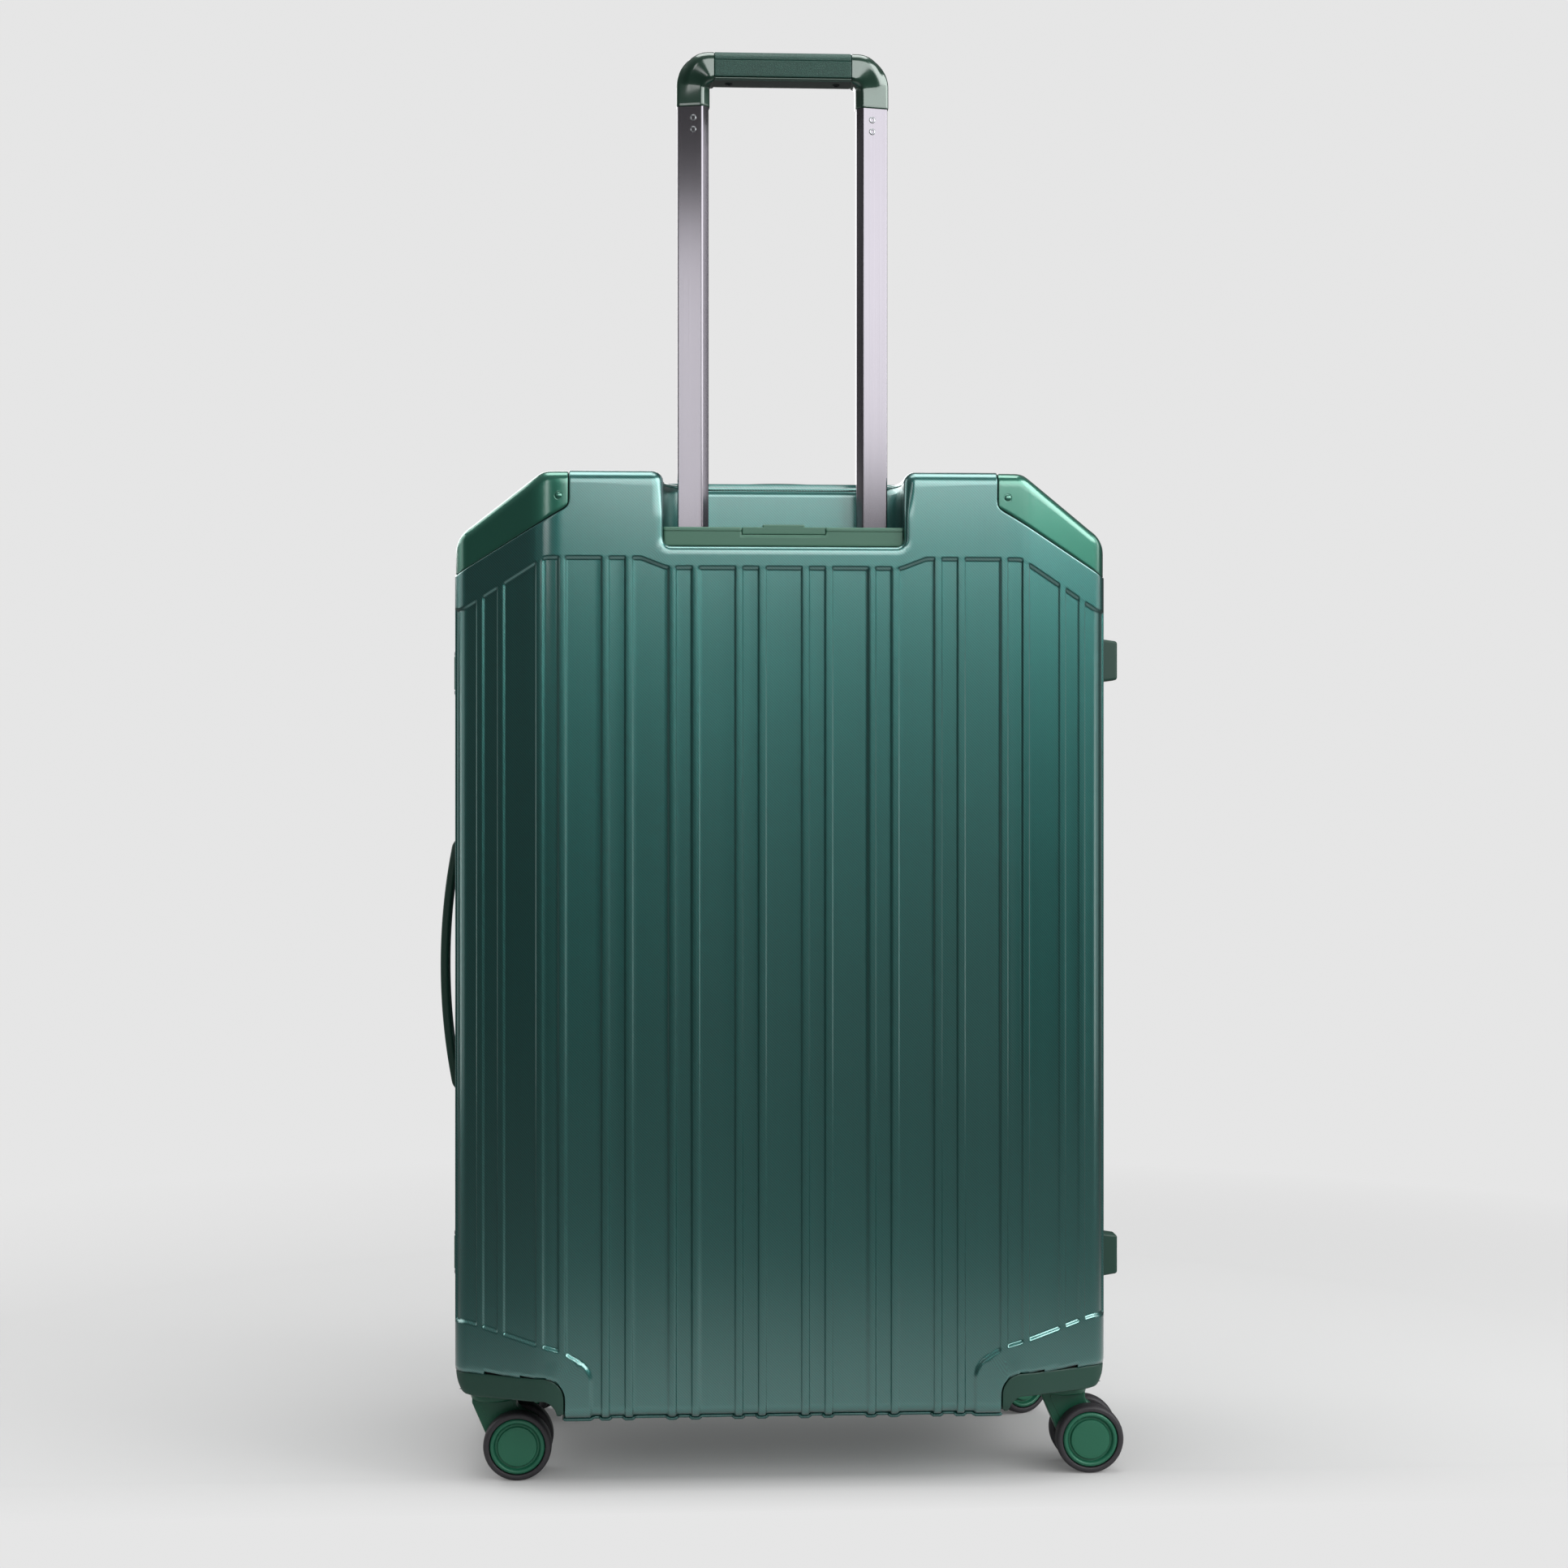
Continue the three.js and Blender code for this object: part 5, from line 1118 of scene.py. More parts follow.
# ---------------------------------------------------------------- frame, latches, hinges and feet

RAIL_DEPTH = 12.6
RAIL_SIDE = HALF_WIDTH + 1.2
CLASP_HEIGHTS = {"lower": 141, "upper": 558}
FOOT_HEIGHTS = {"lower": 147, "upper": 565}
FOOT_DEPTH = 74.3
HINGE_X = HALF_WIDTH + 5.8


def frame_ring(section):
    """Carries a closed section of (inset, depth) round the outline of the case."""
    return swept([(x, 0, z) for x, z in ELEVATION], [section] * len(ELEVATION), (0, 1, 0), closed=True)


RAIL_FACE = [
    (-0.3, -12.2), (-0.45, -12.55), (-0.85, -12.55), (-1.12, -12.4), (-1.2, -12.1), (-1.2, -9.1), (-1.1, -8.95),
    (-0.75, -8.9), (-0.75, -8.5), (-1.1, -8.45), (-1.2, -8.3), (-1.2, -4.6), (-1.1, -4.45), (-0.75, -4.4),
    (-0.75, -4.0), (-1.1, -3.95), (-1.2, -3.8), (-1.2, -0.75), (-1.08, -0.45), (-0.8, -0.3),
]
RAIL_INSIDE = [(5.9, -0.3), (6.15, -0.45), (6.2, -0.7), (6.2, -12.2), (6.05, -12.5), (5.8, -12.6), (4.8, -12.6),
               (4.55, -12.45), (4.5, -12.2), (4.5, -6.7), (-0.3, -6.7)]
SEAL_GROOVE = [(1.9, -0.3), (2.05, -0.45), (2.05, -3.3), (4.95, -3.3), (4.95, -0.45), (5.1, -0.3)]
TONGUE = [(2.5, -0.3), (2.62, -0.2), (2.7, 0.85), (2.85, 1.0), (4.15, 1.0), (4.3, 0.85), (4.38, -0.2), (4.5, -0.3)]


def make_frame():
    for half, lip in (("back", SEAL_GROOVE), ("front", TONGUE)):
        rail = frame_ring(RAIL_FACE + lip + RAIL_INSIDE)
        finish_piece(f"{half}_frame_rail_profile", rail, RAIL_METAL, f"{half}_half", f"{half}_frame_rail",
                     35, FLIP[half])
    seal = frame_ring([(2.3, -2.9), (4.7, -2.9), (4.7, -1.9), (4.45, -1.45), (3.9, -1.22), (3.5, -1.2), (3.1, -1.22),
                       (2.55, -1.45), (2.3, -1.9)])
    finish_piece("frame_seal_strip", seal, SEAL_RUBBER, "back_half", "frame_seal")


def screw_head(radius, x, y, z, axis="x", side=1):
    """A small domed screw with a round drive."""
    profile = [(0, -0.3), (radius * 0.42, -0.3), (radius * 0.48, 0.42), (radius * 0.55, 0.5), (radius * 0.8, 0.42),
               (radius * 0.97, 0.15), (radius, -0.1), (radius, -0.6), (0, -0.6)]
    turn = {"x": turned(y=90 * side), "y": turned(x=-90 * side), "z": turned(x=0 if side > 0 else 180)}[axis]
    return lathed(profile, 24, matrix=placed(x, y, z) @ turn)


def make_latches():
    pivot_x, pivot_y = -HALF_WIDTH - 5.4, -RAIL_DEPTH - 3.4
    outer = -RAIL_SIDE - 0.3
    half = 15.5
    for level, z in CLASP_HEIGHTS.items():
        plate = new_block(outer - 1.4, outer, -RAIL_DEPTH + 0.1, -1.4, z - half, z + half, 0.35, 3)
        ears = []
        for side in (-1, 1):
            low, high = sorted((z + side * half, z + side * (half - 3)))
            ear = [(pivot_x - 2.1, pivot_y - 0.6), (pivot_x - 1.2, pivot_y - 2.1), (outer, pivot_y - 2.3),
                   (outer, 1 - RAIL_DEPTH), (outer - 1.4, 1 - RAIL_DEPTH), (pivot_x - 2.1, pivot_y + 1.6)]
            ears.append(prism(ear, low, high, "xy", 0.4, 3))
        pin = lathed([(0, -15.3), (0.7, -15.3), (1, -15), (1, 15), (0.7, 15.3), (0, 15.3)], 24,
                     matrix=placed(pivot_x, pivot_y, z))
        screws = [screw_head(1.5, outer - 1.3, -3.9, z + side * 12.4, "x", -1) for side in (-1, 1)]
        finish_piece(f"latch_base_{level}_plate", joined(plate, *ears, pin, *screws), STEEL, "back_half",
                     f"latch_base_{level}", sharp=32)

        inner = outer - 1.4 - 0.3
        blade = rounded_outline([
            (inner - 2.6, pivot_y + 0.5, 0.6), (inner, pivot_y + 0.5, 0.3), (inner, 14, 3), (inner - 0.7, 18, 0.5),
            (inner - 2.7, 18, 0.7), (inner - 2.1, 12.5, 6), (inner - 2.6, 6, 3), (inner - 2.6, -7, 3),
        ], radians(15))
        lever = prism(blade, z - 12, z + 12, "xy", 0.6, 3)
        knuckle = lathed([(1.3, -12), (2.0, -12), (2.3, -11.7), (2.3, 11.7), (2.0, 12), (1.3, 12), (1.3, -12)], 32,
                         matrix=placed(pivot_x, pivot_y, z))
        ridges = [new_block(inner - 3.0, inner - 2, 8.2 + 1.6 * k, 9.0 + 1.6 * k, z - 8, z + 8, 0.3, 2)
                  for k in range(3)]
        finish_piece(f"latch_lever_{level}_blade", joined(lever, knuckle, *ridges), CASTER_PLASTIC,
                     f"latch_lever_{level}", f"latch_lever_{level}", sharp=40)


def make_hinges():
    outer = RAIL_SIDE + 0.3
    for level, z in CLASP_HEIGHTS.items():
        for half, flip in FLIP.items():
            spans = [(-30, -12), (12, 30)] if half == "back" else [(-11.5, 11.5)]
            plate = new_block(outer, outer + 1.4, -RAIL_DEPTH + 0.1, -1.4, z - 30, z + 30, 0.35, 3)
            solids = [plate]
            for low, high in spans:
                barrel = [(1.9, low), (2.8, low), (3.2, low + 0.4), (3.2, high - 0.4), (2.8, high), (1.9, high),
                          (1.9, low)]
                solids.append(lathed(barrel, 32, matrix=placed(HINGE_X, 0, z)))
                tab = [(outer, -1.2), (outer, -3.0), (HINGE_X - 0.5, -3.15), (HINGE_X, -2.3), (HINGE_X - 1.9, -0.6)]
                solids.append(prism(tab, z + low + 0.2, z + high - 0.2, "xy", 0.25, 2))
            if half == "back":
                pin = [(0, -30.9), (1.7, -30.9), (2.1, -30.6), (2.2, -30), (1.5, -29.8), (1.5, 29.8), (2.2, 30),
                       (2.1, 30.6), (1.7, 30.9), (0, 30.9)]
                solids.append(lathed(pin, 24, matrix=placed(HINGE_X, 0, z)))
            for place in (-21, 0, 21):
                solids.append(screw_head(1.7, outer + 1.3, -7.6, z + place, "x", 1))
            finish_piece(f"hinge_leaf_{half}_{level}_plate", joined(*solids), STEEL, f"{half}_half",
                         f"hinge_leaf_{half}_{level}", 32, flip)


def make_feet():
    for level, z in FOOT_HEIGHTS.items():
        for half, flip in FLIP.items():
            base = new_block(HALF_WIDTH - 1.5, HALF_WIDTH + 2.2, -FOOT_DEPTH - 9.5, -FOOT_DEPTH + 9.5, z - 15.75,
                             z + 15.75, 1.0, 3)
            pad = bmesh.new()
            bmesh.ops.create_cube(pad, size=1)
            bmesh.ops.scale(pad, vec=(13, 18, 30.5), verts=pad.verts)
            for vert in pad.verts:
                if vert.co.x > 0:
                    vert.co.y *= 1 - 2 * 1.7 / 18
                    vert.co.z *= 1 - 2 * 1.7 / 30.5
            bmesh.ops.translate(pad, vec=(HALF_WIDTH + 14 - 6.5, -FOOT_DEPTH, z), verts=pad.verts)
            soften(pad, 1.8, 4)
            pad.normal_update()
            dish = [face for face in pad.faces if face.normal.x > 0.999]
            bmesh.ops.inset_region(pad, faces=dish, thickness=2.2)
            bmesh.ops.inset_region(pad, faces=dish, thickness=0.5)
            bmesh.ops.translate(pad, vec=(-0.5, 0, 0), verts=list({v for face in dish for v in face.verts}))
            finish_piece(f"side_foot_{half}_{level}_pad", joined(base, pad), HANDLE_PLASTIC, f"{half}_half",
                         f"side_foot_{half}_{level}", mirror=flip)


# ---------------------------------------------------------------- casters

TRAIL, WHEEL_RADIUS, WHEEL_TRACK, BOLT_CIRCLE = 16.5, 23.5, 29, 11.8
CASTER_ANGLES = {"back_left": 0, "back_right": 0, "front_left": -20, "front_right": 210}


def caster_place(corner):
    """Swivel axis of a caster, turned as it stands."""
    half, side = corner.split("_")
    x, y = SIDE_SIGN[side] * SWIVEL_X, HALF_SIGN[half] * SWIVEL_Y
    return placed(x, y, 0) @ turned(z=CASTER_ANGLES[corner])


def fork_body():
    """Swivel disc, collar and the arm between the wheels. The trail runs towards +x."""
    disc = lathed([
        (0, 56.6), (16.9, 56.6), (17.6, 56.9), (17.7, 57.6), (17.7, 58.3), (18.1, 58.5), (18.4, 58.9), (18.4, 60.7),
        (18.2, 61.3), (17.6, 61.5), (0, 61.5),
    ], 72)
    collar = lathed([(0, 52.6), (15.2, 53.0), (16.0, 53.5), (16.4, 54.4), (16.4, 56.9), (0, 56.9)], 72)
    stem = lathed([(0, 60), (4.9, 60), (4.9, 72.6), (4.4, 73), (0, 73)], 32)
    arm_line = rounded_outline([
        (-15.2, 55, 0), (-15.4, 51, 2.5), (0.5, 14.5, 11), (27.5, 12.5, 11), (27.5, 37.5, 9), (15.2, 48, 5),
        (15.0, 55, 0),
    ], radians(8))
    arm = prism(arm_line, -7.3, 7.3, "xz", 1.4, 4)
    cheek_line = rounded_outline([(-9, 53.6, 0), (-9.6, 49.5, 1.5), (4.5, 22, 6), (13, 22, 5), (15, 46, 4),
                                  (12, 53.6, 0)], radians(10))
    cheek = prism(cheek_line, -7.75, 7.75, "xz", 0.4, 2)
    boss = lathed([(0, -7.9), (5.6, -7.9), (6.0, -7.6), (6.0, 7.6), (5.6, 7.9), (0, 7.9)], 36, "y",
                  placed(TRAIL, 0, WHEEL_RADIUS))
    return joined(disc, collar, stem, arm, cheek, boss)


HUB_PROFILE = [
    (0, 5.98), (4, 5.98), (8, 5.95), (11, 5.9), (12.7, 5.82), (13.25, 5.65), (13.5, 5.3), (13.55, 4.6), (13.6, 3.9),
    (13.9, 3.6), (14.6, 3.5), (15.1, 3.65), (15.4, 4.1), (15.6, 4.9), (15.9, 5.6), (16.4, 6.15), (17.0, 6.4),
    (17.6, 6.35), (18.2, 6.05), (18.65, 5.55), (18.9, 4.9), (18.95, 4.2), (18.95, -6.1), (18.7, -6.4), (17.6, -6.4),
    (17.3, -6.1), (17.1, -3.4), (16.4, -2.7), (7.4, -2.7), (6.9, -3.2), (6.7, -6.2), (6.4, -6.45), (2.8, -6.45),
    (2.8, 2.4), (0, 2.4),
]
TYRE_PROFILE = [
    (19.25, 5.3), (19.35, 5.9), (19.7, 6.25), (20.4, 6.42), (21.3, 6.42), (21.9, 6.25), (22.5, 5.8), (23.0, 5.15),
    (23.3, 4.3), (23.44, 3.2), (23.5, 1.6), (23.5, 0), (23.5, -1.6), (23.44, -3.2), (23.3, -4.3), (23.0, -5.15),
    (22.5, -5.8), (21.9, -6.25), (21.3, -6.42), (19.7, -6.42), (19.25, -6.1), (19.25, 5.3),
]


def make_casters():
    for half, side in CORNERS:
        corner = f"{half}_{side}"
        place = caster_place(corner)
        finish_piece(f"caster_fork_{corner}_body", moved(fork_body(), place), CASTER_PLASTIC, f"caster_{corner}",
                     f"caster_fork_{corner}", 40)
        for wheel, facing in (("a", -1), ("b", 1)):
            at = place @ placed(TRAIL, facing * WHEEL_TRACK / 2, WHEEL_RADIUS) @ turned(x=-90 * facing)
            body = f"wheel_{corner}_{wheel}"
            hub = lathed(HUB_PROFILE, 72, matrix=at)
            bolts = [lathed([(0, -2.9), (1.5, -2.9), (1.5, -5.4), (1.2, -5.7), (0, -5.7)], 16,
                            matrix=at @ placed(BOLT_CIRCLE * cos(radians(angle)),
                                               BOLT_CIRCLE * sin(radians(angle)), 0))
                     for angle in range(10, 370, 72)]
            finish_piece(f"wheel_hub_{corner}_{wheel}_cap", joined(hub, *bolts), CAP_PLASTIC, body,
                         f"wheel_hub_{corner}_{wheel}", sharp=32)
            finish_piece(f"tyre_{corner}_{wheel}_tread", lathed(TYRE_PROFILE, 96, matrix=at), TYRE_RUBBER, body,
                         f"tyre_{corner}_{wheel}", sharp=60)
        dress(f"caster_axle_{corner}", STEEL)


def dress(node, material):
    """Gives a part that keeps its own mesh a finished material."""
    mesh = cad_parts[node].data
    mesh.materials.clear()
    mesh.materials.append(material)


# ---------------------------------------------------------------- recess and trolley

TUBE_X, TUBE_Y = 61.2, -118
INNER_TUBE, OUTER_TUBE_LOW = (560, 951), 262
TUBE_WALL, TUBE_PLAY, OUTER_WALL = 1.2, 0.5, 1.3
EYELET_HEIGHTS, EYELET_Y = (932, 924), TUBE_Y - 6.05
TUBE_SECTION = rounded_outline([
    (-6.2, -7.5, 1.6), (10.65, -3.6, 1.2), (10.65, 4.5, 1), (7.6, 7.5, 1), (-7.6, 7.5, 1), (-10.65, 4.4, 1),
    (-10.65, -3.2, 1.2),
], radians(12))
GRIP_LOW, BAR_LOW, GRIP_TOP = 940, 957, 976.8
GRIP_INNER_X, GRIP_OUTER_X = 50.2, 72.2
WRAP_HALF, WRAP_LOW, GRIP_HALF_DEPTH = 46.8, 959.1, 11.5
BEZEL_HALF, BEZEL_LOW, BEZEL_TOP, BEZEL_FRONT, BEZEL_BACK = 81, 639.3, 652.1, -137, -90.3
INSERT_HALF, INSERT_LOW, INSERT_BACK = 28.3, 647.1, -128


def recess_path(inset, front):
    """Right half of the recess's plan line from the front edge to the middle of the back."""
    radius = RECESS_BACK_RADIUS - inset
    side, back = RECESS_X - inset, RECESS_BACK - inset
    run = np.linspace(front, back - radius, 16)
    line = [(side, y) for y in run[:-1]]
    for k in range(13):
        angle = pi / 2 * k / 12
        line.append((side - radius + radius * cos(angle), back - radius + radius * sin(angle)))
    line += [(x, back) for x in np.linspace(side - radius, 0, 14)[1:]]
    return np.array(line)


def recess_cup():
    """Walls and floor of the trolley recess."""
    rows = []
    levels = [(RECESS_RADIUS * (1 - cos(a)), RECESS_FLOOR + RECESS_RADIUS * (1 - sin(a)))
              for a in np.linspace(pi / 2, 0, 6)]
    levels += [(0, z) for z in (648, 654, 660, 664.4, 668.8, 673.2, 677.6)]
    for inset, z in levels:
        share = min(max((z - 660) / 22, 0), 1)
        line = recess_path(inset, -HALF_DEPTH + LIP_RADIUS * (1 - share) + SHOULDER_RADIUS * share)
        rows.append([(x, y, z) for x, y in line])
    line = recess_path(0, SHOULDER_RADIUS - HALF_DEPTH)
    blend = smooth_step((line[:, 1] + 108) / 15)
    rim = (BODY_TOP - SHOULDER_RADIUS) * (1 - blend) + (RECESS_WALL_TOP - 3) * blend
    rows.append([(x, y, z) for (x, y), z in zip(line, rim)])
    floor = []
    for share in (1, 0.75, 0.5, 0.25):
        low = np.array(rows[0])
        centre = np.stack([0 * low[:, 0], np.minimum(low[:, 1], -113), low[:, 2]], axis=1)
        floor.append(list(centre + (low - centre) * (1 - share)))
    right = np.array(floor + rows)
    left = right[:, ::-1] * (-1, 1, 1)
    bm = grid_of(np.concatenate([right, left[:, 1:]], axis=1))
    bmesh.ops.remove_doubles(bm, verts=bm.verts, dist=1e-3)
    wrap = bm.loops.layers.uv.new("wrap")
    for face in bm.faces:
        flat = abs(face.normal.z) > 0.7
        for loop in face.loops:
            x, y, z = loop.vert.co
            around = x if abs(face.normal.y) > abs(face.normal.x) or flat else y * (1 if x > 0 else -1)
            loop[wrap].uv = (around * MM, (y if flat else z) * MM)
    bmesh.ops.recalc_face_normals(bm, faces=bm.faces)
    return facing_out(bm, (0, -114, 662), -1)


def tube_outline(side, grow):
    """The tube's section at its place, made larger all round by an amount."""
    outline = offset_outline(TUBE_SECTION, grow)
    if side == "left":
        outline = (outline * (-1, 1))[::-1]
    return outline + (SIDE_SIGN[side] * TUBE_X, TUBE_Y)


def grip_elbow():
    """The right elbow of the grip: it leaves the tube's section and ends in the bar's."""
    angles = [2 * pi * k / 96 for k in range(96)]
    leg = offset_outline(TUBE_SECTION, 0.7)
    bar = rounded_outline([(-9.9, -11.5, 3.6), (9.9, -11.5, 6), (9.9, 11.5, 6), (-9.9, 11.5, 3.6)], radians(10))
    leg_reach, bar_reach = reach_at(leg, angles), reach_at(bar, angles)
    stations = [((GRIP_INNER_X, z), (GRIP_OUTER_X, z)) for z in (GRIP_LOW, GRIP_LOW + 0.7, 942.5, 945, 948, 950.5)]
    for k in range(21):
        share = k / 20
        turn = radians(67.7) * share
        inner = (GRIP_INNER_X - 5 + 5 * cos(turn), 951.8 + 5 * sin(turn))
        turn = radians(90) * share
        outer = (GRIP_INNER_X + 22 * cos(turn), 954.8 + 22 * sin(turn))
        stations.append((inner, outer))
    stations.append(((WRAP_HALF + 0.3, 956.6), (WRAP_HALF + 1.5, GRIP_TOP)))
    stations.append(((WRAP_HALF + 0.3, 956.6), (WRAP_HALF + 0.3, GRIP_TOP)))
    stations.append(((WRAP_HALF - 0.2, 957.2), (WRAP_HALF - 0.2, GRIP_TOP - 0.6)))
    rows = []
    total = len(stations) - 1
    for i, (inner, outer) in enumerate(stations):
        inner, outer = np.array(inner), np.array(outer)
        share = float(smooth_step((i - 3) / (total - 9)))
        half = np.hypot(*(outer - inner)) / 2
        centre, along = (inner + outer) / 2, (outer - inner) / (2 * half)
        row = []
        size = 1 - (0.05 if i in (0, total) else 0)
        for angle, a, b in zip(angles, leg_reach, bar_reach):
            across = (a * cos(angle) * half / 11 * (1 - share)) + b * cos(angle) * half / 9.9 * share
            deep = (a * sin(angle)) * (1 - share) + b * sin(angle) * share
            x, z = centre + along * across * size
            row.append((x, TUBE_Y + deep * size, z))
        rows.append(row)
    return grid_of(rows, wrap_across=True, cap=True)


def make_trolley():
    for side in ("left", "right"):
        sign = SIDE_SIGN[side]
        tube = tube_of(tube_outline(side, 0), tube_outline(side, -TUBE_WALL), *INNER_TUBE)
        finish_piece(f"trolley_inner_tube_{side}_profile", tube, TUBE_METAL, "trolley", f"trolley_inner_tube_{side}",
                     sharp=30)
        eyelets, hole_shades = bmesh.new(), bmesh.new()
        ring = [(1.1, 0.03), (1.2, 0.28), (1.55, 0.4), (1.95, 0.34), (2.25, 0.12), (2.3, -0.4), (1.1, -0.4),
                (1.1, 0.05)]
        # A dark disc sunk in each eyelet: painted shade for its hole
        core = [(0, -0.1), (1.12, -0.1), (1.12, -0.5), (0, -0.5)]
        # The eyelets lie flat on the tube's wide face
        lean = degrees(atan2(3.9, 16.85))
        for z in EYELET_HEIGHTS:
            face = placed(sign * TUBE_X, EYELET_Y, z) @ turned(z=lean * sign) @ turned(x=90)
            joined(eyelets, lathed(ring, 28, matrix=face))
            joined(hole_shades, lathed(core, 28, matrix=face))
        finish_piece(f"trolley_inner_tube_{side}_eyelets", eyelets, STEEL, "trolley")
        finish_piece(f"trolley_inner_tube_{side}_eyelet_hole_shades", hole_shades, DARK_PLASTIC, "trolley")
        sleeve = tube_of(tube_outline(side, TUBE_PLAY + OUTER_WALL), tube_outline(side, TUBE_PLAY), OUTER_TUBE_LOW,
                         RECESS_FLOOR)
        finish_piece(f"trolley_outer_tube_{side}_profile", sleeve, TUBE_METAL, "back_half",
                     f"trolley_outer_tube_{side}", 30)

    core = new_block(-WRAP_HALF - 1, WRAP_HALF + 1, TUBE_Y - 9.6, TUBE_Y + 9.6, BAR_LOW, 974.6, 1.2, 3)
    lips = [new_block(-WRAP_HALF + 0.2, WRAP_HALF - 0.2, *sorted((TUBE_Y + s * 8, TUBE_Y + s * 11.1)), BAR_LOW + 0.5,
                      WRAP_LOW - 0.15, 0.6, 3) for s in (-1, 1)]
    elbow = grip_elbow()
    mirrored = moved(elbow.copy(), Matrix.Scale(-1, 4, (1, 0, 0)))
    finish_piece("grip_frame_body", joined(elbow, mirrored, core, *lips), GRIP_PLASTIC, "trolley", "grip_frame",
                 sharp=45)
    screws = joined(*[screw_head(2.6, s * 36.8, TUBE_Y, BAR_LOW - 0.2, "z", -1) for s in (-1, 1)])
    finish_piece("grip_frame_screws", screws, DARK_PLASTIC, "trolley")

    finish_piece("grip_wrap_skin", grip_wrap(), GRIP_LEATHER, "trolley", "grip_wrap", 60, wall=1.8)
    button = prism(rounded_box_outline(15, 4, 4, (0, TUBE_Y)), 969.8, 977.2, "xy", 0.9, 4)
    finish_piece("release_button_cap", button, GRIP_PLASTIC, "release_button", "release_button")


def grip_wrap():
    """Leather skin over the top and both sides of the grip bar, with a slot for the button."""
    half, low, top = GRIP_HALF_DEPTH, WRAP_LOW, GRIP_TOP
    side = [(-half + 0.7, low), (-half + 0.25, low + 0.15), (-half, low + 0.6)]
    side += [(-half, z) for z in np.linspace(low + 1.5, 969, 8)]
    groove = 0.45
    side += [(-half, 969.9), (-half + groove * 0.3, 970.25), (-half + groove, 970.5), (-half + groove * 0.3, 970.75)]
    corner = [(-half + 6 - 6 * cos(a), top - 6 + 6 * sin(a)) for a in np.linspace(radians(2), radians(90), 12)]
    flat = [(y, top) for y in np.linspace(-5.5, 5.5, 17)]
    line = side + corner + flat[1:-1]
    line += [(-y, z) for y, z in reversed(side + corner)]
    line = np.array(line)
    columns = np.concatenate([[-WRAP_HALF, -WRAP_HALF + 0.15, -WRAP_HALF + 0.5, -WRAP_HALF + 1.1],
                              np.arange(-45, 45.5, 0.75),
                              [WRAP_HALF - 1.1, WRAP_HALF - 0.5, WRAP_HALF - 0.15, WRAP_HALF]])
    ends = edge_round(WRAP_HALF - np.abs(columns), 0.9)
    centre = np.array([0, 967.5])
    grid = []
    for x, depth in zip(columns, ends):
        inward = centre - line
        inward /= np.maximum(np.hypot(*inward.T), 1)[:, None]
        moved = line + inward * depth
        grid.append([(x, TUBE_Y + y, z) for y, z in moved])
    bm = facing_out(grid_of(grid), (0, TUBE_Y, 967))
    slot = rounded_box_outline(15.5, 4.5, 4.5, (0, TUBE_Y), radians(10))
    cut_opening(bm, slot, lambda p: p.z > top - 1.0 and abs(p.x) < 20, 0.8)
    return bm


